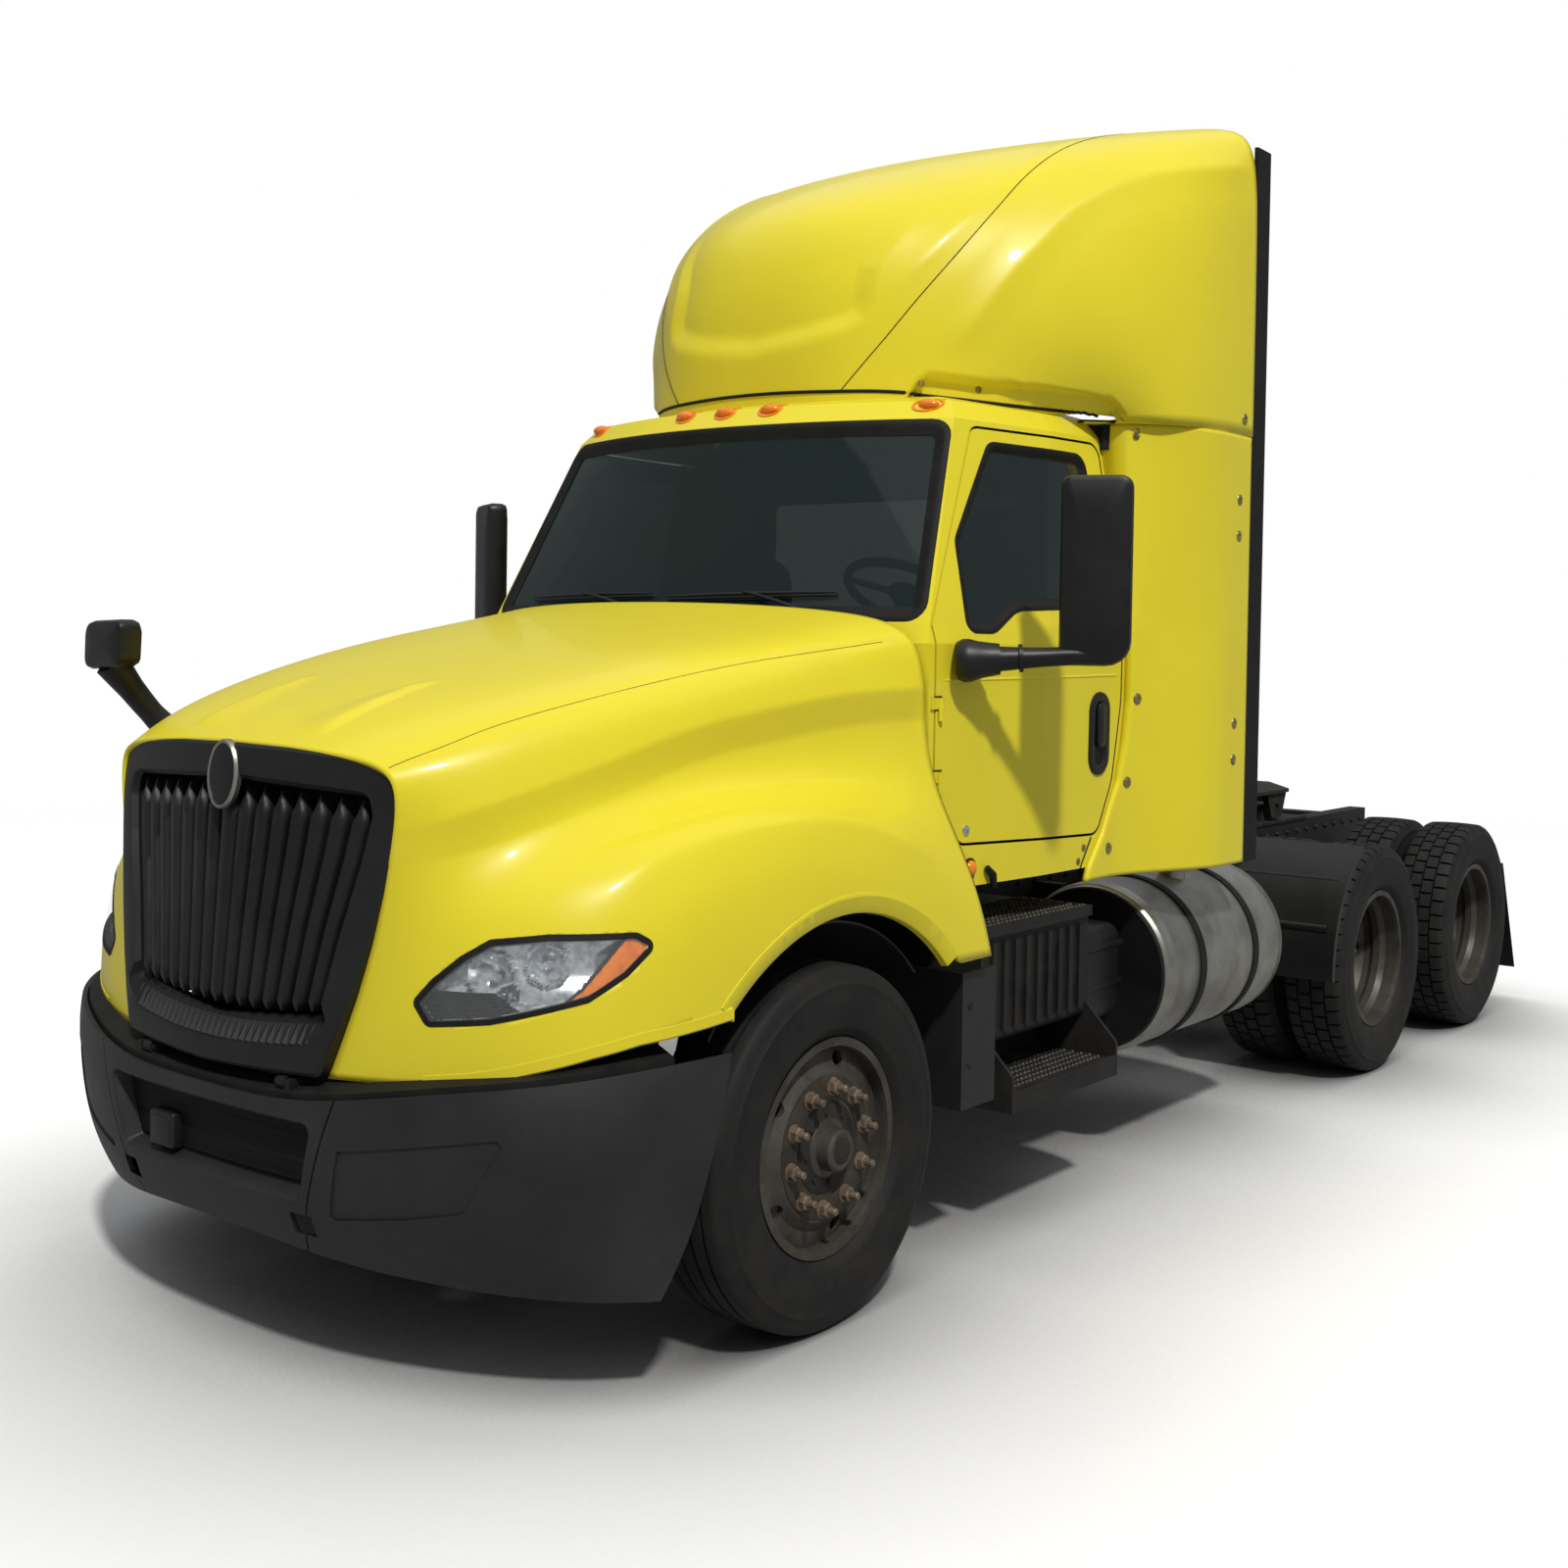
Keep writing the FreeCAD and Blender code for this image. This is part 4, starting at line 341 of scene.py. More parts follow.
# Which finish each CAD node wears; %s stands for left and right
nodeFinish = {
    "bodyPaint": "roof_fairing side_extenders hood", "cabPaint": "cab_shell door_%s",
    "framePaint": "chassis_frame front_springs bumper_beam battery_box exhaust_box deck_plate hood_arms "
                  "air_tanks",
    "castIron": "front_axle drive_axles rear_suspension fifth_wheel_base fifth_wheel_plate knuckle_%s "
                "tie_rod drive_shafts",
    "bumperPlastic": "bumper splash_guards", "blackPlastic": "hood_mirror door_mirror_%s quarter_fenders",
    "grillePlastic": "grille_surround grille_bars", "sealRubber": "extender_edges tank_straps mud_flaps",
    "tyreRubber": "steer_tyre_%s drive_tyres_1_%s drive_tyres_2_%s",
    "wheelSteel": "steer_wheel_%s drive_wheel_1_%s drive_wheel_2_%s", "engineGrey": "engine_block",
    "radiatorFins": "radiator", "tankMetal": "fuel_tank", "trimGrey": "dashboard seats steering_wheel",
    "amberLens": "marker_lamps", "redLens": "tail_lamps", "cabGlass": "cab_glass", "doorGlass": "door_glass_%s",
    "lampGlass": "headlamps",
}
# The finishes of the scene's own pieces that belong to each slot of the record
slotFinishes = {
    "yellow_paint": "bodyPaint cabPaint", "frame_black": "framePaint treadSteel",
    "dark_plastic": "bumperPlastic blackPlastic blueCap", "satin_black": "grillePlastic screenBlack",
    "edge_rubber": "sealRubber", "tyre_rubber": "tyreRubber",
    "wheel_steel": "castIron nutSteel ringSteel screwSteel", "tank_aluminium": "tankMetal",
    "trim_grey": "trimGrey", "seat_cloth": "seatCloth", "amber_lens": "amberLens", "red_lens": "redLens",
    "lamp_lens": "lampGlass lampSilver chrome mirrorGlass",
}
slotOf = {finish: slot for slot, names in slotFinishes.items() for finish in names.split()}
weldReach = 1e-5


def sidesOf(name):
    # The names for both sides where a name has a place for the side, and otherwise the name alone
    return [name.replace("%s", side) for side in ("left", "right")] if "%s" in name else [name]


for finishName, nodeNames in nodeFinish.items():
    for nodeName in sum(map(sidesOf, nodeNames.split()), []):
        mesh = nodes[nodeName].data
        mesh.materials.clear()
        mesh.materials.append(materials[finishName])
print("CAD nodes dressed")


# Shapes. Every one is worked out as whole arrays of points (x, s, z) in metres, with s behind the bumper
def surface(points, roundRows=False, roundCols=False, keep=None, finish=0):
    # Quads between neighbours on a grid of points, closed round where asked, and left out where keep is false
    rows, cols = points.shape[:2]
    i = np.arange(rows if roundRows else rows - 1)
    j = np.arange(cols if roundCols else cols - 1)
    a, b = [m.ravel() for m in np.meshgrid(i, j, indexing="ij")]
    c, d = (a + 1) % rows, (b + 1) % cols
    quads = np.stack([a * cols + b, c * cols + b, c * cols + d, a * cols + d], axis=1)
    if keep is not None:
        quads = quads[keep.ravel()[quads].all(axis=1)]
    return points.reshape(-1, 3), quads.tolist(), finish


def addPiece(name, parts, body, finish, replaces=(), slot=None, wall=0.0, sharp=32.0, inside=None):
    # Joins the parts, merges doubles, turns the faces outwards and hands the piece to its body
    finishes = [finish] if isinstance(finish, str) else finish
    points = np.concatenate([part[0] for part in parts]) - (0, halfLength, 0)
    faces, slots, start = [], [], 0
    for part in parts:
        faces += [[start + k for k in face] for face in part[1]]
        slots += [part[2] if len(part) > 2 else 0] * len(part[1])
        start += len(part[0])
    mesh = bpy.data.meshes.new(name)
    mesh.from_pydata(points.tolist(), [], faces)
    mesh.polygons.foreach_set("material_index", slots)
    work = bmesh.new()
    work.from_mesh(mesh)
    bmesh.ops.remove_doubles(work, verts=work.verts, dist=weldReach)
    loose = [v for v in work.verts if not v.link_faces]
    bmesh.ops.delete(work, geom=loose, context="VERTS")
    bmesh.ops.recalc_face_normals(work, faces=work.faces)
    if inside is not None:
        heart = Vector((inside[0], inside[1] - halfLength, inside[2]))
        if sum(f.normal.dot(f.calc_center_median() - heart) * f.calc_area() for f in work.faces) < 0:
            bmesh.ops.reverse_faces(work, faces=work.faces)
    work.to_mesh(mesh)
    work.free()
    mesh.shade_smooth()
    mesh.set_sharp_from_angle(angle=math.radians(sharp))
    for used in finishes:
        mesh.materials.append(materials[used])
    piece = bpy.data.objects.new(name, mesh)
    bpy.context.scene.collection.objects.link(piece)
    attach(piece, body)
    slot or slotOf[finishes[0]]
    if replaces:
        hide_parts(*replaces)
    if wall:
        shell = piece.modifiers.new("wall", "SOLIDIFY")
        shell.thickness = wall
        shell.offset = -1
        shell.material_offset = len(finishes) - 1
    return piece


def mirrored(parts):
    # The same parts on the right side
    return [(part[0] * (-1, 1, 1),) + tuple(part[1:]) for part in parts]


def both(parts):
    # The parts and their mirror images
    return parts + mirrored(parts)


def addPair(name, parts, body, finish, replaces=(), inside=None, **settings):
    # The piece on the left and its mirror image on the right; %s or %S in a name stands for the side
    pieces = []
    for side, sign in (("left", 1), ("right", -1)):
        named = [n.replace("%s", side).replace("%S", side.title()) for n in (name, body, *replaces)]
        heart = inside and (inside[0] * sign, *inside[1:])
        pieces.append(addPiece(named[0], parts if sign == 1 else mirrored(parts), named[1], finish, named[2:],
                               inside=heart, **settings))
    return pieces


def unit(v):
    # A vector over its own length
    v = np.asarray(v, float)
    return v / np.linalg.norm(v, axis=-1, keepdims=True)


def wholeTurn(steps):
    # Even angles round a circle, the first not repeated
    return np.linspace(0, 2 * math.pi, steps, endpoint=False)


def roundBlock(lo, hi, radius, steps=3):
    # A sphere's grid whose eight octants are moved out to the corners of a box, closed by two flat caps
    lo, hi = np.array(lo, float), np.array(hi, float)
    middle, half = (lo + hi) / 2, (hi - lo) / 2 - radius
    turn = np.concatenate([np.linspace(k, k + 1, steps + 1) for k in range(4)]) * math.pi / 2
    east = np.repeat([1, -1, -1, 1], steps + 1)
    north = np.repeat([1, 1, -1, -1], steps + 1)
    rise = np.concatenate([np.linspace(0, 1, steps + 1), np.linspace(1, 2, steps + 1)]) * math.pi / 2
    high = np.repeat([1, -1], steps + 1)[:, None]
    x = middle[0] + half[0] * east[None] + radius * np.sin(rise)[:, None] * np.cos(turn)[None]
    y = middle[1] + half[1] * north[None] + radius * np.sin(rise)[:, None] * np.sin(turn)[None]
    z = middle[2] + half[2] * high + radius * np.cos(rise)[:, None] + 0 * turn[None]
    points = np.stack([x, y, z], axis=2)
    verts, faces, finish = surface(points, roundCols=True)
    cols = len(turn)
    corners = [k * (steps + 1) for k in range(4)]
    last = (2 * steps + 1) * cols
    return verts, faces + [corners[::-1], [last + k for k in corners]], finish


def tube(path, radius, sides=10, finish=0):
    # Circles carried along a path, square to it, with both ends closed to a point
    path = np.asarray(path, float)
    along = unit(np.gradient(path, axis=0))
    guide = np.array([0.12, 0.31, 0.94]) if abs(along[:, 2]).mean() < 0.8 else np.array([0.96, 0.2, 0.1])
    side = unit(np.cross(along, guide))
    up = np.cross(side, along)
    size = np.broadcast_to(np.asarray(radius, float), len(path))
    path, side, up = [np.concatenate([m[:1], m, m[-1:]]) for m in (path, side, up)]
    size = np.concatenate([[0], size, [0]])
    turn = wholeTurn(sides)
    ring = side[:, None] * np.cos(turn)[None, :, None] + up[:, None] * np.sin(turn)[None, :, None]
    return surface(path[:, None] + ring * size[:, None, None], roundCols=True, finish=finish)


def lathe(profile, centre, axis, segments=48, finish=0, closed=False):
    # A profile of (radius, distance along the axis) turned about the axis
    profile = np.asarray(profile, float)
    axis = unit(axis)
    side = unit(np.cross(axis, [0.0, 0.0, 1.0] if abs(axis[2]) < 0.9 else [1.0, 0.0, 0.0]))
    up = np.cross(axis, side)
    turn = wholeTurn(segments)
    ring = side * np.cos(turn)[:, None] + up * np.sin(turn)[:, None]
    points = np.array(centre) + profile[:, 1, None, None] * axis + profile[:, 0, None, None] * ring[None]
    return surface(points, roundRows=closed, roundCols=True, finish=finish)


def rectangle(a0, b0, a1, b1, radius=0.0):
    # Four corners, each with the radius that rounds it
    return [(a0, b0, radius), (a1, b0, radius), (a1, b1, radius), (a0, b1, radius)]


def softOutline(corners, spacing=0.03):
    # A closed outline through (a, b, radius) corners: an arc at each corner, and points along the straights
    corners = [tuple(c) + (0.0,) * (3 - len(c)) for c in corners]
    spots = np.array([c[:2] for c in corners], float)
    line = []
    for k, (spot, radius) in enumerate(zip(spots, [c[2] for c in corners])):
        back, ahead = unit(spots[k - 1] - spot), unit(spots[(k + 1) % len(spots)] - spot)
        half = math.acos(max(-1.0, min(1.0, float(back @ ahead)))) / 2
        if radius < 1e-4 or half > 1.56:
            line.append(spot[None])
            continue
        run, heart = radius / math.tan(half), spot + unit(back + ahead) * radius / math.sin(half)
        first, last = spot + back * run - heart, spot + ahead * run - heart
        a0 = math.atan2(first[1], first[0])
        sweep = (math.atan2(last[1], last[0]) - a0 + math.pi) % (2 * math.pi) - math.pi
        angles = a0 + sweep * np.linspace(0, 1, 6)
        line.append(heart + radius * np.stack([np.cos(angles), np.sin(angles)], axis=1))
    points = []
    for k, part in enumerate(line):
        points.append(part)
        gap = line[(k + 1) % len(line)][0] - part[-1]
        count = int(np.linalg.norm(gap) / spacing)
        if count:
            points.append(part[-1] + gap * (np.arange(1, count + 1) / (count + 1))[:, None])
    return np.concatenate(points)


def outwardOf(outline):
    # The direction out of a closed outline at each of its points
    run = unit(np.roll(outline, -1, axis=0) - np.roll(outline, 1, axis=0))
    area = (outline[:, 0] * np.roll(outline[:, 1], -1) - np.roll(outline[:, 0], -1) * outline[:, 1]).sum()
    return np.stack([run[:, 1], -run[:, 0]], axis=1) * (1 if area > 0 else -1)


def frameRing(corners, section, place, finish=0, spacing=0.03):
    # A closed section of (distance outwards, lift) carried round an outline that lies on a surface
    outline = softOutline(corners, spacing)
    out = outwardOf(outline)
    section = np.array(section, float)
    spots = outline[None] + out[None] * section[:, 0, None, None]
    lift = np.broadcast_to(section[:, 1, None], spots.shape[:2])
    return surface(place(spots[..., 0], spots[..., 1], lift), roundRows=True, roundCols=True, finish=finish)


def slab(corners, place, depth, edge=0.003, finish=0, dome=0.0):
    # An outline given a thickness: rings step out over a softened edge, and the middle closes each side
    outline = softOutline(corners)
    out = outwardOf(outline)
    rings = [(-edge, 0), (-edge * 0.3, edge * 0.3), (0, edge), (0, depth - edge),
             (-edge * 0.3, depth - edge * 0.3), (-edge, depth)]
    spots = [outline + out * r[0] for r in rings]
    points = [place(p[:, 0], p[:, 1], np.full(len(p), r[1])) for p, r in zip(spots, rings)]
    heart = outline.mean(axis=0)
    for share, extra in ((0.66, 0.55), (0.33, 0.9)):
        near = heart + (spots[-1] - heart) * share
        points.append(place(near[:, 0], near[:, 1], np.full(len(near), depth + dome * extra)))
    verts, faces, finish = surface(np.array(points), roundCols=True, finish=finish)
    count, last = len(outline), (len(points) - 1) * len(outline)
    return verts, faces + [list(range(count))[::-1], list(range(last, last + count))], finish


def splineShares(count, t):
    # Weights of the poles of a clamped uniform cubic spline, by the usual recurrence over its knots
    spans = count - 3
    knots = np.concatenate([[0] * 3, np.arange(spans + 1) / spans, [1] * 3])
    t = np.clip(t, 0, 1 - 1e-9)[:, None]
    share = ((knots[:-1] <= t) & (t < knots[1:])).astype(float)
    for degree in (1, 2, 3):
        low, high = knots[:-degree], knots[degree:]
        size = np.where(high - low > 0, high - low, 1)
        ramp = (t - low[:len(low)]) / size
        ramp = np.where(high - low > 0, ramp, 0)
        share = ramp[:, :-1] * share[:, :-1] + np.where(high[1:] > low[1:], 1 - ramp[:, 1:], 0) * share[:, 1:]
    return share


def netSurface(halfRows, u, v):
    # A cubic surface over poles whose rows run from the middle out on the left and are mirrored to the right
    half = np.array(halfRows, float) / 1000
    right = half[:, :0:-1] * (-1, 1, 1)
    poles = np.concatenate([right, half], axis=1)
    return np.einsum("ui,vj,ijk->uvk", splineShares(poles.shape[0], u), splineShares(poles.shape[1], v), poles)


def gridNormals(points, inside):
    # Unit normals from the grid's own steps, turned away from an inside point
    along, across = np.gradient(points, axis=0), np.gradient(points, axis=1)
    normal = unit(np.cross(along, across) + 1e-12)
    facing = ((points - np.array(inside)) * normal).sum(axis=2)
    return normal * np.where(facing < 0, -1, 1)[..., None]


def lineDistance(points, path):
    # Distance from each point to the nearest place on a path of straight pieces, and its share of the way
    path = np.array(path, float)
    best = np.full(points.shape[:-1], 1e9)
    share = np.zeros(points.shape[:-1])
    for k, (a, b) in enumerate(zip(path[:-1], path[1:])):
        t = np.clip(((points - a) @ (b - a)) / ((b - a) @ (b - a)), 0, 1)
        away = np.linalg.norm(points - a - t[..., None] * (b - a), axis=-1)
        nearer = away < best
        best = np.where(nearer, away, best)
        share = np.where(nearer, (k + t) / (len(path) - 1), share)
    return best, share


def smoothPath(points, count=60):
    # An even run of points along a spline through the given ones, by cumulative length and a cubic blend
    points = np.array(points, float)
    length = np.concatenate([[0], np.cumsum(np.linalg.norm(np.diff(points, axis=0), axis=1))])
    slope = np.gradient(points, length, axis=0)
    t = np.linspace(0, length[-1], count)
    k = np.clip(np.searchsorted(length, t) - 1, 0, len(points) - 2)
    h = (length[k + 1] - length[k])[:, None]
    f = (t - length[k])[:, None] / h
    return ((2 * f**3 - 3 * f**2 + 1) * points[k] + (f**3 - 2 * f**2 + f) * h * slope[k]
            + (3 * f**2 - 2 * f**3) * points[k + 1] + (f**3 - f**2) * h * slope[k + 1])


def polygonDistance(a, b, polygon):
    # Signed distance to a closed polygon in the plane, below 0 inside
    polygon = np.array(polygon, float)
    spots = np.stack([a, b], axis=-1)
    away, _ = lineDistance(spots, np.concatenate([polygon, polygon[:1]]))
    inside = np.zeros(a.shape, bool)
    for (x0, y0), (x1, y1) in zip(polygon, np.roll(polygon, -1, axis=0)):
        if y0 != y1:
            inside ^= ((y0 > b) != (y1 > b)) & (a < (x1 - x0) * (b - y0) / (y1 - y0) + x0)
    return np.where(inside, -away, away)


def trimGrid(points, value):
    # Keeps where value is below 0. A point just outside slides to its nearest neighbour until value is 0
    wide = np.pad(points, ((1, 1), (1, 1), (0, 0)), mode="edge")
    level = np.pad(value, 1, constant_values=1.0)
    best = np.full(value.shape, np.inf)
    moved = points.copy()
    rows, cols = value.shape
    for di in (-1, 0, 1):
        for dj in (-1, 0, 1):
            near = wide[1 + di:1 + di + rows, 1 + dj:1 + dj + cols]
            other = level[1 + di:1 + di + rows, 1 + dj:1 + dj + cols]
            crosses = (value > 0) & (other < 0)
            t = np.where(crosses, value / np.where(crosses, value - other, 1), 0)[..., None]
            step = (near - points) * t
            size = np.linalg.norm(step, axis=2)
            take = crosses & (size < best)
            moved = np.where(take[..., None], points + step, moved)
            best = np.where(take, size, best)
    return moved, (value <= 0) | np.isfinite(best)


def smoothStep(x):
    # From 0 to 1 with level ends: 3x squared less 2x cubed
    x = np.clip(x, 0, 1)
    return x * x * (3 - 2 * x)


def tent(distance, half):
    # A ridge that is sharp on its line and runs out smoothly on both sides
    return np.clip(1 - distance / half, 0, 1) ** 2


def crease(points, path, height, half, start, end):
    # A tent of one height along a path, faded in over its first share and out over its last
    near, share = lineDistance(points, smoothPath(path))
    return height * tent(near, half) * smoothStep(share / start) * smoothStep((1 - share) / end)


def groove(points, path, depth, half):
    # A smooth groove along a path, and how far along it each point lies
    near, share = lineDistance(points, smoothPath(path))
    return depth * smoothStep(1 - near / half), share


def leftSide(points):
    # The points with their right half folded over to the left
    return np.concatenate([np.abs(points[..., :1]), points[..., 1:]], axis=-1)


def onGrid(points, normals, across, height):
    # Finds the place on a grid of points with given (across, height) by the nearest point and one linear step
    steps = [np.stack([np.gradient(f, axis=k) for k in (0, 1)], axis=-1) for f in (across, height)]
    along = [np.gradient(points, axis=k) for k in (0, 1)]

    def place(a, b, lift):
        a, b, lift = [np.asarray(m, float) for m in np.broadcast_arrays(a, b, lift)]
        flat = (a.ravel()[:, None] - across.ravel()) ** 2 + (b.ravel()[:, None] - height.ravel()) ** 2
        spot = flat.argmin(axis=1)
        i, j = np.unravel_index(spot, across.shape)
        da, db = a.ravel() - across[i, j], b.ravel() - height[i, j]
        (a0, a1), (b0, b1) = steps[0][i, j].T, steps[1][i, j].T
        det = a0 * b1 - a1 * b0
        p, q = (da * b1 - db * a1) / det, (db * a0 - da * b0) / det
        found = points[i, j] + along[0][i, j] * p[:, None] + along[1][i, j] * q[:, None]
        found = found + normals[i, j] * lift.ravel()[:, None]
        return found.reshape(a.shape + (3,))
    return place


def nearSurface(grid, path, lift):
    # Lays a path on a grid of points: nearest point, slid in its tangent plane, then lifted
    points, normals = grid
    flat, out = points.reshape(-1, 3), normals.reshape(-1, 3)
    path = np.asarray(path, float)
    spot = ((path[:, None] - flat[None]) ** 2).sum(axis=2).argmin(axis=1)
    away = path - flat[spot]
    return path - out[spot] * ((away * out[spot]).sum(axis=1) - lift)[:, None], out[spot]


# Hood: the same net as the solid, with its creases, the two blades on top and the rolled edge of the wheel arch
hoodForm = {
    "wall": 0.016, "inside": (0, 1.0, 1.0), "rows": 150, "cols": 300, "archS": 1.262, "archZ": 0.5,
    "archRadius": 0.655,
    "lowEdge": [(0.1, 0.77), (0.16, 0.79), (0.22, 0.812), (0.3, 0.846), (0.4, 0.88), (0.504, 0.906),
                (0.687, 0.927), (0.771, 0.937), (0.8, 0.9)],
    "archBand": [(0.714, -0.006), (0.71, 0.002), (0.702, 0.0022), (0.664, -0.01), (0.656, -0.015),
                 (0.654, -0.036), (0.664, -0.036)],
    "hem": [(0.034, -0.005), (0.031, 0.0014), (0.004, 0.001), (0.0, -0.002), (0.0, -0.02), (0.01, -0.02)],
    "archTurn": (41.8, 137.0),
    "sideCrease": [(0.572, 0.172, 1.407), (0.671, 0.244, 1.444), (0.759, 0.391, 1.497), (0.831, 0.597, 1.565),
                   (0.899, 0.898, 1.66), (0.949, 1.258, 1.72), (0.973, 1.601, 1.754), (0.998, 1.901, 1.763)],
    "lip": (0.01, 0.11), "hollow": (0.013, 0.095, 0.3), "grooveCut": (0.003, 0.02),
    "innerRise": (-0.006, 0.07, 0.2, 0.1), "outerRise": (0.009, 0.1, 0.15, 0.15),
    "topGroove": [(0.562, 0.171, 1.558), (0.627, 0.28, 1.618), (0.671, 0.403, 1.665), (0.757, 0.668, 1.738),
                  (0.832, 0.971, 1.802), (0.893, 1.325, 1.857), (0.936, 1.749, 1.903)],
    "fenderInner": [(0.82, 0.338, 1.28), (0.915, 0.515, 1.371), (1.033, 0.88, 1.454), (1.07, 1.257, 1.47),
                    (1.096, 1.673, 1.418)],
    "fenderOuter": [(0.994, 0.437, 1.225), (1.05, 0.613, 1.342), (1.117, 0.917, 1.406), (1.147, 1.311, 1.398),
                    (1.176, 1.73, 1.254)],
    "bladeFoot": (0.09, 0.27), "bladeFront": 0.165, "bladeTip": (0.27, 0.62), "bladeRise": 0.01,
}
hoodRows = [
    [(0, 105, 1618), (240, 108, 1614), (430, 120, 1602), (575, 142, 1582), (614, 152, 1515), (600, 150, 1395),
     (572, 146, 1260), (540, 138, 1130), (500, 125, 1000), (460, 112, 890), (420, 100, 785)],
    [(0, 250, 1695), (280, 250, 1690), (520, 255, 1672), (660, 265, 1625), (712, 270, 1530), (725, 262, 1400),
     (745, 240, 1280), (765, 210, 1150), (770, 180, 1020), (765, 165, 900), (755, 160, 800)],
    [(0, 480, 1765), (300, 480, 1760), (590, 480, 1745), (755, 480, 1695), (805, 480, 1600), (820, 475, 1465),
     (880, 430, 1380), (985, 395, 1310), (1065, 365, 1180), (1085, 345, 1000), (1085, 345, 830)],
    [(0, 830, 1850), (340, 830, 1846), (670, 830, 1830), (850, 830, 1780), (905, 830, 1680), (895, 830, 1540),
     (940, 810, 1480), (1070, 790, 1465), (1170, 780, 1370), (1205, 770, 1170), (1200, 740, 930)],
    [(0, 1220, 1925), (370, 1220, 1922), (740, 1220, 1905), (915, 1220, 1860), (965, 1220, 1760),
     (955, 1220, 1600), (985, 1220, 1500), (1090, 1220, 1490), (1180, 1220, 1400), (1215, 1240, 1200),
     (1215, 1250, 950)],
    [(0, 1520, 1985), (380, 1535, 1980), (760, 1580, 1960), (920, 1610, 1915), (970, 1620, 1815),
     (985, 1620, 1640), (1010, 1620, 1500), (1095, 1630, 1440), (1180, 1650, 1340), (1215, 1700, 1160),
     (1215, 1740, 950)],
    [(0, 1700, 2025), (390, 1718, 2020), (775, 1800, 1998), (942, 1868, 1955), (992, 1890, 1850),
     (1008, 1890, 1670), (1030, 1888, 1510), (1078, 1890, 1400), (1145, 1905, 1260), (1195, 1940, 1100),
     (1210, 1970, 950)],
]
lamp = {
    "centre": (0.86, 0.25), "across": (0.6816, 0.7317), "gap": 0.004, "rows": 150, "cols": 150,
    "outline": [(-0.196, 1.003), (-0.16, 0.947), (-0.006, 0.964), (0.23, 1.02), (0.325, 1.079), (0.401, 1.151),
                (0.348, 1.18), (0.133, 1.178), (-0.008, 1.162), (-0.078, 1.12), (-0.147, 1.061)],
    "amber": [(0.06, 0.981), (0.165, 1.012), (0.215, 1.05), (0.328, 1.178), (0.401, 1.151), (0.325, 1.079),
              (0.23, 1.02)],
    "corner": [(-0.196, 1.003), (-0.16, 0.947), (-0.006, 0.964), (0.073, 0.98), (-0.003, 1.035),
               (-0.165, 1.033)],
    "bowls": [(-0.015, 1.075, 0.058), (0.125, 1.11, 0.052), (0.03, 1.03, 0.03)],
    "ribs": (0.0015, 0.011), "comb": (0.004, 0.016),
    "rimSection": [(0.003, -0.003), (0.002, 0.0015), (-0.011, 0.0012), (-0.013, -0.05), (0.003, -0.05)],
    "stripSection": [(0.001, -0.007), (-0.004, -0.006), (-0.004, -0.04), (0.001, -0.04)],
    "wallSection": [(-0.01, -0.02), (-0.01, -0.062), (-0.014, -0.062), (-0.014, -0.02)],
}


def lampPlace(points):
    # Where points lie on the lamp's own plan: across the lens, and height
    (x, s), (acrossX, acrossS) = lamp["centre"][:2], lamp["across"][:2]
    return (np.abs(points[..., 0]) - x) * acrossX + (points[..., 1] - s) * acrossS


def hoodCreases(points):
    # How far the skin stands out: tents along the creases, a fine groove and two blades
    whole = leftSide(points)
    rise = np.zeros(points.shape[:2])
    path = smoothPath(hoodForm["sideCrease"])
    near, share = lineDistance(whole, path)
    above = whole[..., 2] > np.interp(whole[..., 1], path[:, 1], path[:, 2])
    (lip, fall), (hollow, low, end) = hoodForm["lip"], hoodForm["hollow"]
    under = np.where(near < low, lip - (lip + hollow) * near / low,
                     -hollow * smoothStep((end - near) / (end - low)))
    roll = np.where(above, lip * tent(near, fall), under) * smoothStep(share / 0.12)
    rise += roll * smoothStep((1 - share) / 0.05 + 0.3)
    deep, share = groove(whole, hoodForm["topGroove"], *hoodForm["grooveCut"])
    rise -= deep * smoothStep(share / 0.05)
    rise += crease(whole, hoodForm["fenderInner"], *hoodForm["innerRise"])
    rise += crease(whole, hoodForm["fenderOuter"], *hoodForm["outerRise"])
    (inner, outer), (tipX, tipS), front = hoodForm["bladeFoot"], hoodForm["bladeTip"], hoodForm["bladeFront"]
    t = (whole[..., 1] - front) / (tipS - front)
    left, right = inner + (tipX - inner) * t ** 1.3, outer + (tipX - outer) * np.clip(t, 0, 1) ** 2
    f = (whole[..., 0] - left) / np.maximum(right - left, 0.004)
    blade = np.where((f > 0) & (t > 0) & (t < 1), smoothStep(f) * smoothStep((1.12 - f) / 0.12), 0)
    blade = blade * (whole[..., 2] > 1.5)
    rise += hoodForm["bladeRise"] * blade * smoothStep(t / 0.12) * smoothStep((1 - t) / 0.3)
    return rise


def hoodGrid(u, v):
    # The hood's net, then each point moved out along its normal by the creases
    points = netSurface(hoodRows, u, v)
    normals = gridNormals(points, hoodForm["inside"])
    return points + normals * (hoodCreases(points) - 0.0005)[..., None], normals


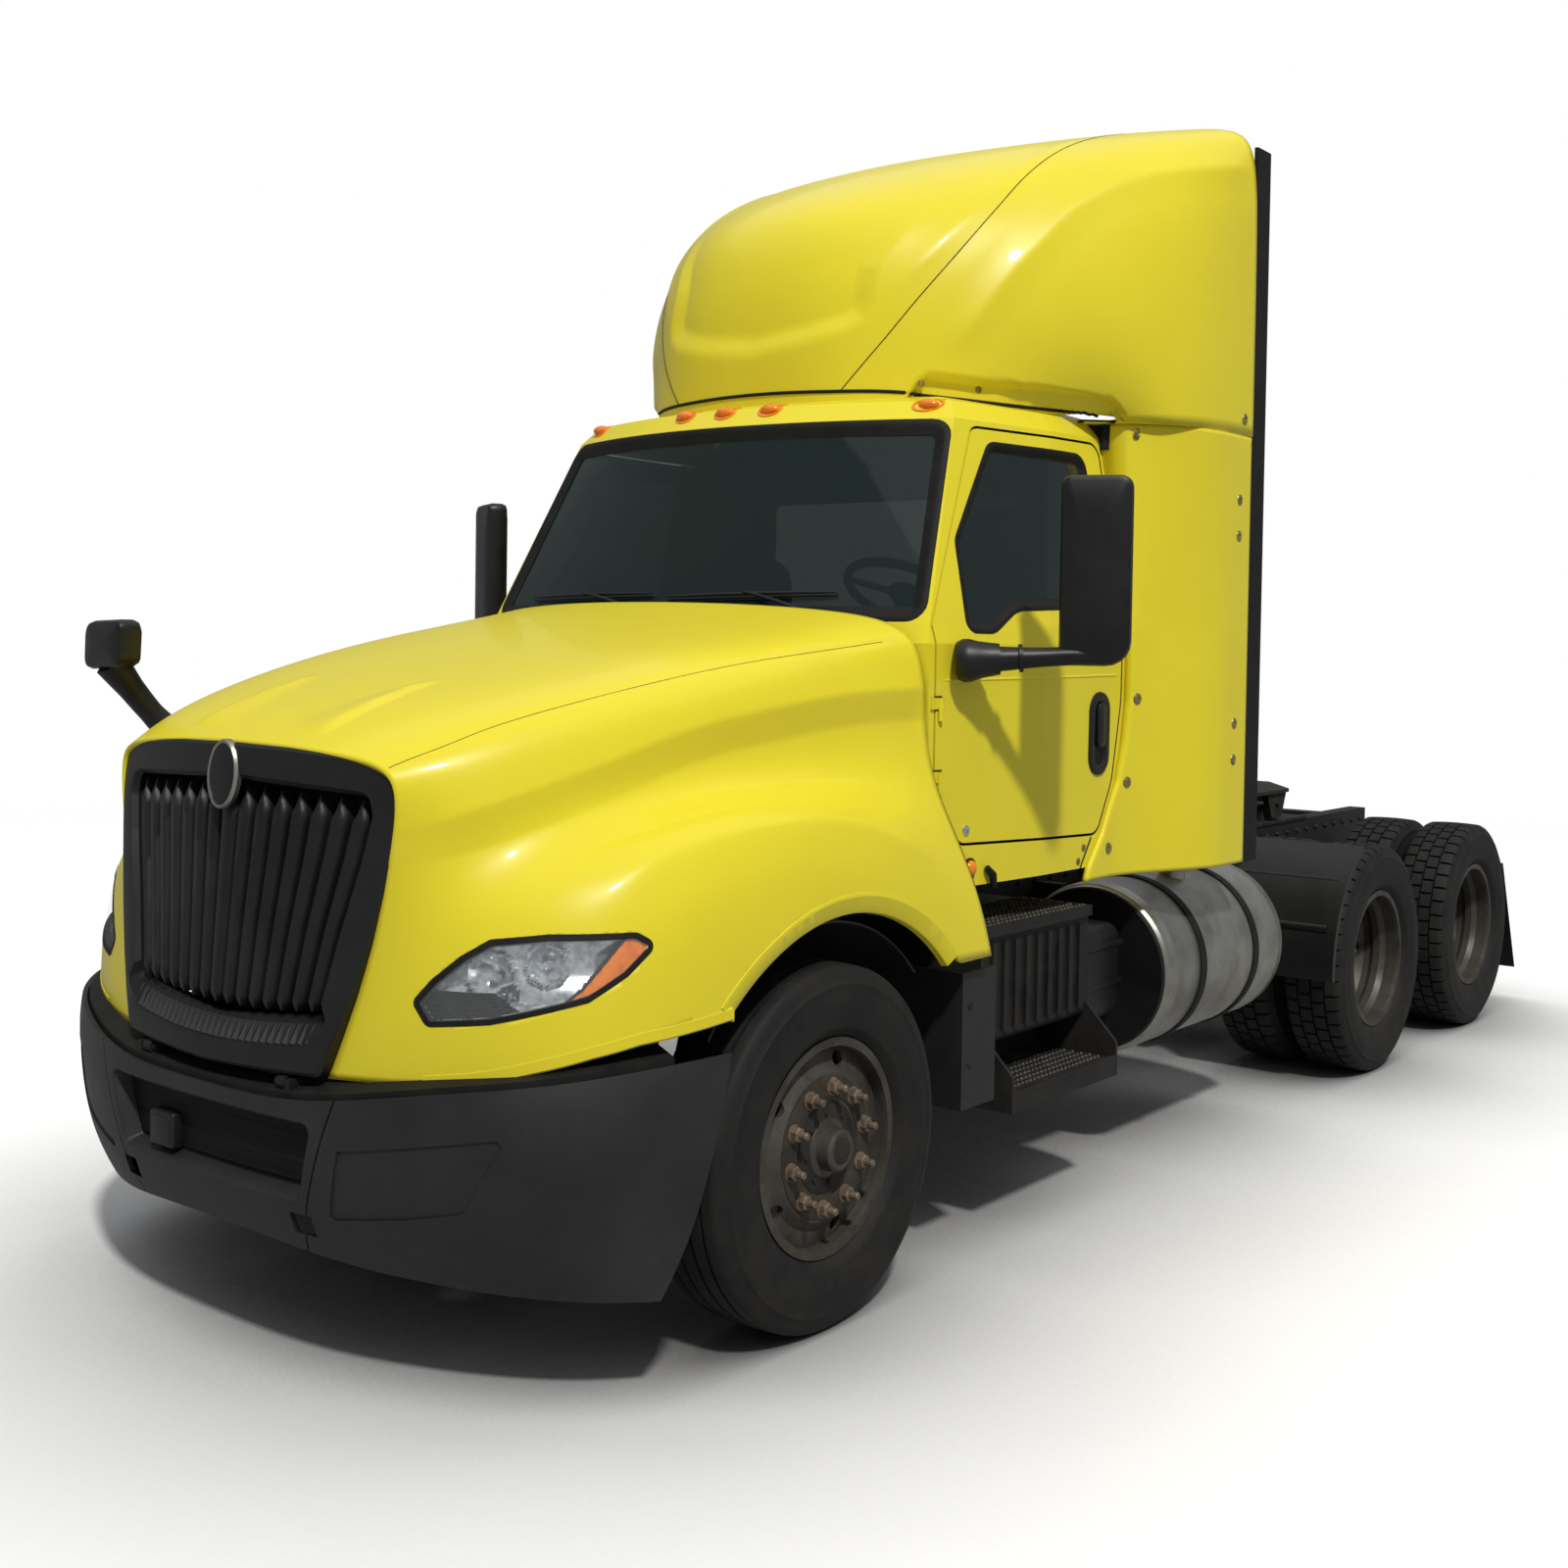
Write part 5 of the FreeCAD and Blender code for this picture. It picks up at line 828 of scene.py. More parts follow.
def addHood():
    u, v = np.linspace(0, 1, hoodForm["rows"]), np.linspace(0, 1, hoodForm["cols"])
    points, _ = hoodGrid(u, v)
    arch = hoodForm["archRadius"] - np.hypot(points[..., 1] - hoodForm["archS"],
                                             points[..., 2] - hoodForm["archZ"])
    lens = -polygonDistance(lampPlace(points), points[..., 2], lamp["outline"])
    lens = np.where(points[..., 1] < 0.75, lens, -1)
    path = np.array(hoodForm["lowEdge"])
    low = np.interp(points[..., 1], path[:, 0], path[:, 1], left=0, right=0) - points[..., 2]
    low = np.where(points[..., 1] > 0.19, low, -1)
    trimmed, keep = trimGrid(points, np.maximum(np.maximum(arch + 0.04, lens), low + 0.014))
    addPiece("hoodSkin", [surface(trimmed, keep=keep)], "hood", ["bodyPaint", "blackPlastic"], ["hood"],
             wall=hoodForm["wall"], sharp=60, inside=(0, 1.1, 0.9))


def addHoodEdges():
    # A flanged band round each wheel arch, and a thin near-black tube in the fine groove along each shoulder of
    # the hood: painted shade of that groove
    u, v = np.linspace(0, 1, hoodForm["rows"]), np.linspace(0.72, 1, 160)
    points, normals = hoodGrid(u, v)
    place = onGrid(points, normals, points[..., 1], points[..., 2])
    turn = np.radians(np.linspace(*hoodForm["archTurn"], 120))
    reach, lift = np.array(hoodForm["archBand"]).T[..., None]
    band = place(hoodForm["archS"] - reach * np.cos(turn), hoodForm["archZ"] + reach * np.sin(turn), lift)
    bands = [surface(band, roundRows=True)]
    path = np.array(hoodForm["lowEdge"])
    s = np.linspace(0.17, 0.775, 140)
    above, lift = np.array(hoodForm["hem"]).T[..., None]
    bands.append(surface(place(s, np.interp(s, path[:, 0], path[:, 1]) + above, lift), roundRows=True))
    addPiece("archBands", both(bands), "hood", "bodyPaint", sharp=20)
    grid = hoodGrid(np.linspace(0, 1, 200), np.linspace(0.5, 0.85, 260))
    # Painted shade: a thin near-black tube laid in the groove so that it reads dark
    seam, _ = nearSurface(grid, smoothPath(hoodForm["topGroove"], 120), -0.0005)
    seams = [tube(seam, 0.0014, 6)]
    addPiece("hoodGrooveShade", both(seams), "hood", "sealRubber")


addHood()
addHoodEdges()
print("hood made")


# Headlamps: clear lens in the hood's own surface, over chrome bowls, a honeycomb corner and an amber strip
def lampGrid():
    u, v = np.linspace(0, 0.62, lamp["rows"]), np.linspace(0.72, 1, lamp["cols"])
    points, normals = hoodGrid(u, v)
    return points, normals, lampPlace(points), points[..., 2]


def addLamps():
    grid = lampGrid()
    points, normals, across, height = grid
    place = onGrid(*grid)
    outer = polygonDistance(across, height, lamp["outline"])
    amber = polygonDistance(across, height, lamp["amber"])
    corner = polygonDistance(across, height, lamp["corner"])

    def layer(value, lift, finish=0):
        trimmed, keep = trimGrid(points, value)
        return surface(trimmed + normals * np.broadcast_to(lift, value.shape)[..., None], keep=keep,
                       finish=finish)

    (ribRise, ribPitch), (rise, pitch) = lamp["ribs"], lamp["comb"]
    ribs = ribRise * np.cos(across * 2 * math.pi / ribPitch)
    comb = rise * np.cos(across * 2 * math.pi / pitch) * np.cos((height + across * 0.4) * 2 * math.pi / pitch)
    depth = -0.04 - 0.01 * np.cos(height * 40)
    for a, z, radius in lamp["bowls"]:
        away = np.hypot(across - a, height - z)
        inside = away < radius
        depth = np.where(inside, -0.03 - 0.045 * (1 - (away / radius) ** 2), depth)
        depth = np.where(np.abs(away - radius) < 0.006, -0.026, depth)
        depth = np.where(away < 0.012, -0.045, depth)
    lens = [layer(outer + 0.003, -0.0015)]
    inner = [layer(np.maximum(outer + 0.004, np.maximum(-amber, -corner)), depth, 0),
             layer(np.maximum(amber, outer + 0.005), -0.008 + ribs, 1),
             layer(np.maximum(corner, outer + 0.005), -0.02 + comb, 2)]
    outline = [(a, z, 0.02) for a, z in lamp["outline"]]
    strip = [(a, z, 0.008) for a, z in lamp["amber"]]
    rim = [frameRing(outline, lamp["rimSection"], place), frameRing(strip, lamp["stripSection"], place)]
    walls = frameRing(outline, lamp["wallSection"], place)
    addPair("lampLens%S", lens, "hood", "lampGlass", ["headlamps"], wall=0.002, inside=(0.5, 0.8, 1.0))
    addPair("lampInside%S", inner + [walls], "hood", ["lampSilver", "amberLens", "combPlastic"], sharp=25)
    addPair("lampRim%S", rim, "hood", "sealRubber")


addLamps()
print("headlamps made")


# Roof fairing: the solid's net again, with a shallow scoop in front, a seam line and creases up its sides
fairing = {
    "wall": 0.012, "inside": (0, 3.4, 2.7), "rows": 140, "cols": 280, "rear": 3.7, "foot": 2.692,
    "scoop": [(0, 2.905), (0.231, 2.932), (0.392, 2.972), (0.455, 3.01), (0.472, 3.07), (0.47, 3.2),
              (0.53, 3.402), (0.58, 3.56), (0, 3.62)],
    "scoopDepth": 0.026, "scoopSlope": 0.07,
    "seam": [(0.369, 2.29, 2.768), (0.433, 2.314, 2.849), (0.491, 2.347, 2.929), (0.579, 2.423, 3.075),
             (0.652, 2.521, 3.217), (0.714, 2.671, 3.389), (0.746, 2.876, 3.571), (0.758, 3.096, 3.705),
             (0.767, 3.4, 3.825), (0.77, 3.69, 3.9)],
    "brow": [(0.462, 2.338, 3.031), (0.576, 2.453, 3.206), (0.663, 2.623, 3.388), (0.717, 2.889, 3.596),
             (0.712, 3.358, 3.817)],
    "sideCrease": [(0.667, 2.479, 2.839), (0.697, 2.508, 2.933), (0.747, 2.567, 3.037), (0.805, 2.659, 3.172),
                   (0.858, 2.764, 3.294), (0.914, 2.9, 3.432), (0.971, 3.007, 3.506), (1.039, 3.134, 3.569),
                   (1.111, 3.257, 3.606), (1.242, 3.7, 3.702)],
    "shelf": [(2.38, 2.74), (2.389, 2.761), (2.401, 2.798), (2.424, 2.816), (2.491, 2.814), (2.622, 2.804),
              (2.778, 2.798), (2.912, 2.782), (2.994, 2.762), (3.022, 2.738), (3.03, 2.68)],
    "shelfDepth": 0.032, "browRise": (0.009, 0.09, 0.2, 0.2), "sideRise": (0.013, 0.11, 0.12, 0.1),
    "seamCut": (0.0015, 0.02), "scoopFade": (3.54, 0.35),
    "fillerSection": [(0.004, 2.693), (0.07, 2.693), (0.072, 2.6), (0.082, 2.6), (0.084, 2.704),
                      (0.004, 2.704)],
    "screwSection": [(0, -0.003), (0.011, -0.003), (0.012, 0.001), (0.009, 0.004), (0.004, 0.005), (0, 0.0035)],
    "gap": [(0, 2.247, 2.772), (0.1, 2.25, 2.771), (0.316, 2.275, 2.765), (0.551, 2.384, 2.758),
            (0.68, 2.494, 2.744), (0.793, 2.631, 2.73), (0.886, 2.804, 2.717), (0.971, 3.003, 2.696)],
    "screws": [(0.604, 2.424, 2.79), (0.751, 2.569, 2.776), (1.247, 3.619, 2.744)],
}
fairingRows = [
    [(0, 2232, 2690), (220, 2236, 2690), (400, 2275, 2690), (540, 2350, 2690), (670, 2460, 2690),
     (790, 2600, 2690), (880, 2780, 2690), (940, 2970, 2690)],
    [(0, 2200, 3000), (240, 2210, 3000), (430, 2270, 2995), (580, 2370, 2985), (730, 2500, 2965),
     (870, 2660, 2920), (980, 2850, 2850), (1040, 3030, 2695)],
    [(0, 2225, 3330), (260, 2245, 3325), (460, 2340, 3310), (640, 2480, 3280), (820, 2640, 3190),
     (970, 2800, 3060), (1070, 2940, 2920), (1125, 3090, 2695)],
    [(0, 2480, 3530), (280, 2500, 3520), (540, 2600, 3505), (780, 2760, 3470), (980, 2900, 3360),
     (1100, 3000, 3180), (1155, 3070, 2960), (1185, 3160, 2695)],
    [(0, 2950, 3740), (320, 2960, 3730), (660, 3000, 3712), (950, 3080, 3670), (1130, 3160, 3560),
     (1200, 3230, 3320), (1225, 3280, 3020), (1230, 3310, 2695)],
    [(0, 3350, 3860), (330, 3355, 3855), (720, 3370, 3845), (1060, 3400, 3810), (1215, 3430, 3700),
     (1240, 3450, 3420), (1245, 3470, 3060), (1245, 3480, 2695)],
    [(0, 3700, 3925), (340, 3700, 3922), (760, 3700, 3910), (1130, 3700, 3880), (1240, 3700, 3800),
     (1250, 3700, 3500), (1250, 3700, 3080), (1250, 3700, 2695)],
]


def fairingCreases(points):
    # Scoop inside its rounded outline, tents along the creases, and a channel along the foot of each side
    whole = leftSide(points)
    rim = polygonDistance(whole[..., 0], whole[..., 2],
                          [(-x, z) for x, z in fairing["scoop"][:0:-1]] + fairing["scoop"])
    slope = np.clip(-rim / fairing["scoopSlope"], 0, 1)
    rise = -fairing["scoopDepth"] * (0.75 * slope + 0.25 * smoothStep(slope))
    high, fade = fairing["scoopFade"]
    rise = rise * smoothStep((high - whole[..., 2]) / fade)
    rise += crease(whole, fairing["brow"], *fairing["browRise"])
    rise += crease(whole, fairing["sideCrease"], *fairing["sideRise"])
    edge = np.array(fairing["shelf"])
    level = np.interp(whole[..., 1], edge[:, 0], edge[:, 1], left=0, right=0)
    rise -= fairing["shelfDepth"] * smoothStep((level - whole[..., 2]) / 0.018) * (whole[..., 0] > 0.5)
    return rise - groove(whole, fairing["seam"], *fairing["seamCut"])[0]


def fairingGrid(u, v):
    # The fairing's net, then each point moved out along its normal by the creases
    points = netSurface(fairingRows, u, v)
    normals = gridNormals(points, fairing["inside"])
    return points + normals * (fairingCreases(points) - 0.0005)[..., None], normals


def addFairing():
    u, v = np.linspace(0, 1, fairing["rows"]), np.linspace(0, 1, fairing["cols"])
    grid = fairingGrid(u, v)
    value = np.maximum(grid[0][..., 1] - fairing["rear"], fairing["foot"] - grid[0][..., 2])
    trimmed, keep = trimGrid(grid[0], value)
    addPiece("fairingSkin", [surface(trimmed, keep=keep)], "chassis", "bodyPaint", ["roof_fairing"],
             wall=fairing["wall"], sharp=60, inside=(0, 3.5, 2.7))
    seam, _ = nearSurface(grid, smoothPath(fairing["seam"], 120), 0.0)
    # Along the foot of the fairing, where it meets the roof, a thicker near-black tube: painted shadow line in
    # that joint
    gap, _ = nearSurface(grid, smoothPath(fairing["gap"], 120), -0.001)
    seams = [tube(seam, 0.002, 6), tube(gap, 0.0065, 8)]
    addPiece("fairingSeamsAndShadowLine", both(seams), "chassis", "sealRubber")
    edge = grid[0][:, -1]
    behind = edge[:, 1] > 3.12
    inner = edge.copy()
    inner[:, 0] = np.where(behind, edge[:, 0] - 0.1, 0.8)
    inner[:, 0] = np.minimum(inner[:, 0], edge[:, 0] - 0.02)
    flange = np.stack([edge - (0.004, 0, 0), inner], axis=0)
    flange[..., 2] = 2.697
    low = flange - (0, 0, 0.006)
    floor = [surface(np.concatenate([flange, low[::-1]]), roundRows=True)]
    rear = edge[(edge[:, 1] > 2.72) & (edge[:, 1] < 3.14)] * (1, 1, 0)
    inwards = unit(np.array([0, 3.3, 0]) - rear)
    filler = [surface(np.stack([rear + inwards * a + (0, 0, z) for a, z in fairing["fillerSection"]]),
                      roundRows=True)]
    addPiece("fairingFiller", both(filler), "chassis", "sealRubber", sharp=60)
    addPiece("fairingFloor", both(floor), "chassis", "bodyPaint")
    places, outs = nearSurface(grid, fairing["screws"], 0.0)
    screws = [lathe(fairing["screwSection"], place, out, 14) for place, out in zip(places, outs)]
    addPiece("fairingScrews", both(screws), "chassis", "screwSteel")


addFairing()
print("fairing made")


# Tyres: a closed section turned about the axle, ribbed in front and cut into blocks on the drive wheels
tyre = {
    "radius": 0.508, "axleHeight": 0.508, "frontX": 1.05, "frontS": 1.225, "driveX": 0.925, "twin": 0.165,
    "driveS": (5.27, 6.59), "frontGrooves": (-0.072, -0.026, 0.026, 0.072),
    "driveGrooves": (-0.058, 0.0, 0.058), "grooveWidth": 0.011, "grooveDepth": 0.014, "pitches": 46,
    "steps": 96,
    "side": [(0.099, 0.293), (0.101, 0.306), (0.112, 0.314), (0.121, 0.326), (0.127, 0.333), (0.128, 0.338),
             (0.133, 0.36), (0.1375, 0.385), (0.139, 0.405), (0.1375, 0.428), (0.1345, 0.447), (0.1355, 0.45),
             (0.1355, 0.455), (0.132, 0.459), (0.126, 0.474), (0.119, 0.49), (0.112, 0.4985)],
    "liner": [(0.095, 0.484), (0.12, 0.455), (0.127, 0.41), (0.122, 0.35), (0.092, 0.2935)],
}


def treadSection(grooves):
    # Across the tread from one shoulder to the other: the crown, with each groove's two walls and floor
    half, depth = tyre["grooveWidth"] / 2, tyre["grooveDepth"]
    across, deep, block = [-0.104], [0.0], [0]
    for number, middle in enumerate(grooves):
        across += [middle - half, middle - half + 0.0015, middle + half - 0.0015, middle + half]
        deep += [0, depth, depth, 0]
        block += [number, -1, -1, number + 1]
    across, deep, block = across + [0.104], deep + [0.0], block + [len(grooves)]
    across, deep = np.array(across), np.array(deep)
    return across, tyre["radius"] - 0.0012 - 0.004 * (across / 0.104) ** 2 - deep, np.array(block)


def tyreShape(x, s, driven):
    # The section turned about the axle, with sipes and grooves cut down into the tread
    grooves = tyre["driveGrooves"] if driven else tyre["frontGrooves"]
    across, height, block = treadSection(grooves)
    side, liner = np.array(tyre["side"]), np.array(tyre["liner"])
    section = np.concatenate([side * (-1, 1), np.stack([across, height], axis=1), side[::-1], liner[::-1],
                              liner * (-1, 1)])
    if driven:
        share = np.array([0, 0.012, 0.15, 0.162, 0.5, 0.512, 0.65, 0.662])
        turn = ((np.arange(tyre["pitches"])[:, None] + share[None]) / tyre["pitches"]).ravel() * 2 * math.pi
        first = np.tile([0, 1, 1, 0, 0, 0, 0, 0], tyre["pitches"])
        second = np.tile([0, 0, 0, 0, 0, 1, 1, 0], tyre["pitches"])
        cut = np.zeros((len(section), len(turn)))
        start = len(side)
        for k, which in enumerate(block):
            if which >= 0:
                cut[start + k] = tyre["grooveDepth"] * (first if which % 2 == 0 else second)
        for row, amount in ((start - 1, 0.8), (start - 2, 0.35)):
            cut[row] = tyre["grooveDepth"] * amount * first
            other = first if block[-1] % 2 == 0 else second
            cut[len(side) * 2 + len(block) - 1 - row] = tyre["grooveDepth"] * amount * other
    else:
        turn = wholeTurn(tyre["steps"])
        cut = np.zeros((len(section), len(turn)))
    radius = section[:, 1, None] - cut
    points = np.stack([np.broadcast_to(x + section[:, 0, None], radius.shape),
                       s + radius * np.cos(turn), tyre["axleHeight"] + radius * np.sin(turn)],
                      axis=2)
    return surface(points, roundRows=True, roundCols=True)


def ringOf(parts, count, s, z, start=0.0):
    # Copies parts round the axle line at (s, z), by turning every point through each of the angles at once
    made = []
    for verts, faces, finish in parts:
        angle = start + np.arange(count) * 2 * math.pi / count
        ds, dz = verts[:, 1] - s, verts[:, 2] - z
        ring = np.stack([np.broadcast_to(verts[:, 0], (count, len(verts))),
                         s + ds[None] * np.cos(angle)[:, None] - dz[None] * np.sin(angle)[:, None],
                         z + ds[None] * np.sin(angle)[:, None] + dz[None] * np.cos(angle)[:, None]], axis=2)
        size = len(verts)
        made.append((ring.reshape(-1, 3),
                     [[k * size + v for v in face] for k in range(count) for face in faces], finish))
    return made


wheelTrim = {
    "frontFace": 0.0972, "driveFace": 0.0122, "hubBolt": [(0, 0), (0.0075, 0), (0.0075, 0.006), (0, 0.007)],
    "axleBolt": [(0, 0), (0.011, 0), (0.011, 0.01), (0, 0.012)], "nuts": 10, "nutRing": 0.1675,
    "nutFlats": 0.0185, "nutHeight": 0.024, "studRadius": 0.011, "studLength": 0.05,
    "ring": [(0.138, 0.001), (0.138, 0.004), (0.142, 0.0055), (0.192, 0.0055), (0.197, 0.003), (0.197, 0.001)],
    "frontHub": [(0.0, 0.0565), (0.036, 0.056), (0.043, 0.053), (0.0445, 0.048), (0.0445, 0.04), (0.05, 0.038),
                 (0.052, 0.033), (0.0525, 0.014), (0.062, 0.01), (0.07, 0.006), (0.118, 0.0045), (0.128, 0.002),
                 (0.128, -0.004)],
}


def nutParts(x, s, z, out):
    # One nut with its washer and stud end, standing on the face of the wheel
    spot, axis = (x, s + wheelTrim["nutRing"], z), (out, 0, 0)
    flats, height = wheelTrim["nutFlats"], wheelTrim["nutHeight"]
    stud, length = wheelTrim["studRadius"], wheelTrim["studLength"]
    nut = [(0, 0.004), (flats * 1.16, 0.004), (flats * 1.16, height - 0.003), (flats * 0.95, height),
           (0, height)]
    washer = [(0, 0.0), (flats * 1.4, 0.0), (flats * 1.4, 0.003), (flats * 1.2, 0.005), (0, 0.005)]
    end = [(0, height - 0.002), (stud, height - 0.002), (stud, length - 0.003), (stud * 0.75, length),
           (0, length)]
    return [lathe(nut, spot, axis, 6), lathe(washer, spot, axis, 14), lathe(end, spot, axis, 10)]


def addWheelTrim(kind, body, tag, face, s, side, start):
    # The ring of nuts and the seal ring that both kinds of wheel have
    z = tyre["axleHeight"]
    nuts = ringOf(nutParts(face + side * 0.004, s, z, side), wheelTrim["nuts"], s, z, start)
    ring = lathe(wheelTrim["ring"], (face - side * 0.001, s, z), (side, 0, 0), 64, closed=True)
    addPiece(kind + "Ring_" + tag, [ring], body, "ringSteel")
    return nuts


def addWheels():
    z = tyre["axleHeight"]
    for name, side in (("left", 1), ("right", -1)):
        x, s = side * tyre["frontX"], tyre["frontS"]
        body = "steer_wheel_" + name
        addPiece("steerTread_" + name, [tyreShape(x, s, False)], body, "tyreRubber", ["steer_tyre_" + name],
                 sharp=40)
        face = x + side * wheelTrim["frontFace"]
        nuts = addWheelTrim("steer", body, name, face, s, side, 0.2)
        addPiece("steerNuts_" + name, nuts, body, "nutSteel")
        hub = lathe(wheelTrim["frontHub"], (face, s, z), (side, 0, 0), 48)
        bolt = lathe(wheelTrim["hubBolt"], (face + side * 0.0045, s + 0.098, z), (side, 0, 0), 6)
        addPiece("steerHub_" + name, [hub] + ringOf([bolt], 8, s, z, 0.1), body, "castIron")
        for number, s in enumerate(tyre["driveS"], 1):
            tag = "%d_%s" % (number, name)
            body = "drive_wheel_" + tag
            middle = side * tyre["driveX"]
            pair = [tyreShape(middle + k * tyre["twin"], s, True) for k in (1, -1)]
            addPiece("driveTread_" + tag, pair, body, "tyreRubber", ["drive_tyres_" + tag], sharp=40)
            nuts = addWheelTrim("drive", body, tag, middle + side * wheelTrim["driveFace"], s, side, 0.0)
            bolt = lathe(wheelTrim["axleBolt"], (middle + side * 0.1242, s + 0.103, z), (side, 0, 0), 6)
            addPiece("driveNuts_" + tag, nuts + ringOf([bolt], 8, s, z), body, "nutSteel")


addWheels()
print("tyres and wheel trim made")


# Cab surfaces, from the solid's own levels: height, front, front corner, door middle and rear corner
cab = {
    "z": [1.13, 1.9, 1.96, 2.64, 2.705, 2.745], "front": [1.85, 1.79, 1.782, 2.05, 2.11, 2.29],
    "cornerX": [1.015, 1.003, 0.987, 0.857, 0.812, 0.66], "cornerS": [1.905, 1.905, 1.93, 2.248, 2.3, 2.45],
    "middleX": [1.062, 1.068, 1.062, 0.932, 0.885, 0.74], "middleS": [2.5, 2.5, 2.54, 2.74, 2.76, 2.8],
    "rearX": [1.065, 1.07, 1.07, 0.952, 0.912, 0.78], "rearS": [3.15, 3.15, 3.15, 3.14, 3.125, 3.07],
    "windscreen": [(-0.945, 1.99, 0.03), (0.945, 1.99, 0.03), (0.836, 2.614, 0.05), (-0.836, 2.614, 0.05)],
    "rearWindow": rectangle(-0.62, 2.01, 0.62, 2.48, 0.06),
    "window": [(2.118, 1.948, 0.028), (2.24, 1.946, 0.1), (2.375, 2.022, 0.16), (2.922, 2.044, 0.036),
               (2.926, 2.562, 0.048), (2.4, 2.562, 0.06), (2.14, 2.23, 0.06)],
    "door": [(1.935, 1.96), (1.925, 1.42, 0.06), (2.06, 1.262, 0.06), (2.885, 1.236, 0.07), (2.985, 1.42, 0.2),
             (3.04, 1.7, 0.3), (3.047, 2.624, 0.06), (2.322, 2.622, 0.06)],
}


def cabLevel(name, z):
    # A line of the cab's plan at a height, straight between its levels
    return np.interp(z, cab["z"], cab[name])


def onSide(s, z, lift):
    # The cab's left side: straight from the front corner to the middle of the door and on to the rear corner
    s, z, lift = np.broadcast_arrays(s, z, lift)
    cx, mx, rx = [cabLevel(k, z) for k in ("cornerX", "middleX", "rearX")]
    cs, ms, rs = [cabLevel(k, z) for k in ("cornerS", "middleS", "rearS")]
    x = np.where(s < ms, cx + (mx - cx) * (s - cs) / (ms - cs), mx + (rx - mx) * (s - ms) / (rs - ms))
    return np.stack([x + lift * 0.985, s, z + lift * 0.17 * (z > 1.96)], axis=-1)


def onFront(x, z, lift):
    # The cab's front: an arc through both front corners and the middle, at every height
    x, z, lift = np.broadcast_arrays(x, z, lift)
    front, cx, cs = [cabLevel(k, z) for k in ("front", "cornerX", "cornerS")]
    rise = cs - front
    radius = (cx ** 2 + rise ** 2) / (2 * rise)
    s = front + radius - np.sqrt(np.maximum(radius ** 2 - x ** 2, 0))
    return np.stack([x, s - lift * 0.93, z + lift * 0.36], axis=-1)


def onRear(x, z, lift):
    # A place on the cab's back wall, lifted off it
    x, z, lift = np.broadcast_arrays(x, z, lift)
    return np.stack([x, cabLevel("rearS", z) + lift, z], axis=-1)


# Seals round the glass, the cowl under the windscreen and the wipers
seals = {
    "windscreen": [(0.024, -0.002), (0.022, 0.003), (0.012, 0.0055), (0.002, 0.004), (-0.01, -0.004),
                   (-0.024, -0.0095), (-0.028, -0.0115), (-0.028, -0.014), (0.0, -0.016), (0.018, -0.01)],
    "rear": [(0.02, -0.002), (0.018, 0.003), (0.004, 0.004), (-0.012, -0.008), (-0.025, -0.0115),
             (-0.025, -0.014), (0.0, -0.016)],
    "door": [(0.014, -0.001), (0.012, 0.003), (0.003, 0.0045), (-0.006, 0.001), (-0.018, -0.01),
             (-0.026, -0.0115), (-0.026, -0.014), (0.0, -0.016)],
    "wiperBlades": [((-0.74, 2.04), (-0.08, 2.052)), ((0.0, 2.04), (0.66, 2.056))],
    "wiperPivots": [(-0.12, 1.984), (0.6, 1.974)],
    "wiperFoot": [(0, -0.004), (0.021, -0.004), (0.02, 0.012), (0.013, 0.022), (0, 0.024)],
    "cowl": [(0.0, 0.0), (0.0, -0.006), (0.03, -0.014), (0.075, -0.02), (0.078, -0.03), (0.0, -0.03)],
}


def addSeals():
    addPiece("windscreenSeal", [frameRing(cab["windscreen"], seals["windscreen"], onFront)], "chassis",
             "sealRubber")
    addPiece("rearWindowSeal", [frameRing(cab["rearWindow"], seals["rear"], onRear)], "chassis", "sealRubber")
    addPair("windowSeal_%s", [frameRing(cab["window"], seals["door"], onSide)], "door_%s", "sealRubber")
    x = np.linspace(-0.93, 0.93, 60)
    back = onFront(x, np.full(60, 1.984), 0.0)
    drop = 0.04 * (x / 0.9) ** 2 + 0.004
    narrow = 1 - 0.5 * np.abs(x)
    rows = [np.stack([0 * x, ahead * narrow, drop * (ahead > 0.001) - fall], axis=1)
            for ahead, fall in seals["cowl"]]
    cowl = back - np.stack(rows)
    addPiece("cowl", [surface(cowl, roundRows=True)], "chassis", "blackPlastic")
    blades, arms = [], []
    for ((x0, z0), (x1, z1)), (px, pz) in zip(seals["wiperBlades"], seals["wiperPivots"]):
        t = np.linspace(0, 1, 24)
        bx, bz = x0 + (x1 - x0) * t, z0 + (z1 - z0) * t
        bow = 0.004 + 0.006 * np.sin(math.pi * t)
        blades.append(tube(onFront(bx, bz, 0.004 + bow), 0.0065 * (0.4 + 0.6 * np.sin(math.pi * t) ** 0.5), 8))
        blades.append(tube(onFront(bx, bz - 0.006, -0.004 + bow * 0.3), 0.004, 6))
        mx, mz = (x0 + x1) / 2, (z0 + z1) / 2
        t = np.linspace(0, 1, 16)
        lift = 0.012 + 0.022 * np.sin(math.pi * t * 0.8)
        arms.append(tube(onFront(px + (mx - px) * t, pz + (mz + 0.004 - pz) * t ** 0.8, lift),
                         0.009 - 0.004 * t, 8))
        foot = onFront(px, pz, 0.0)
        arms.append(lathe(seals["wiperFoot"], foot, (0, -0.5, 0.86), 16))
    addPiece("wipers", blades + arms, "chassis", "blackPlastic")


addSeals()


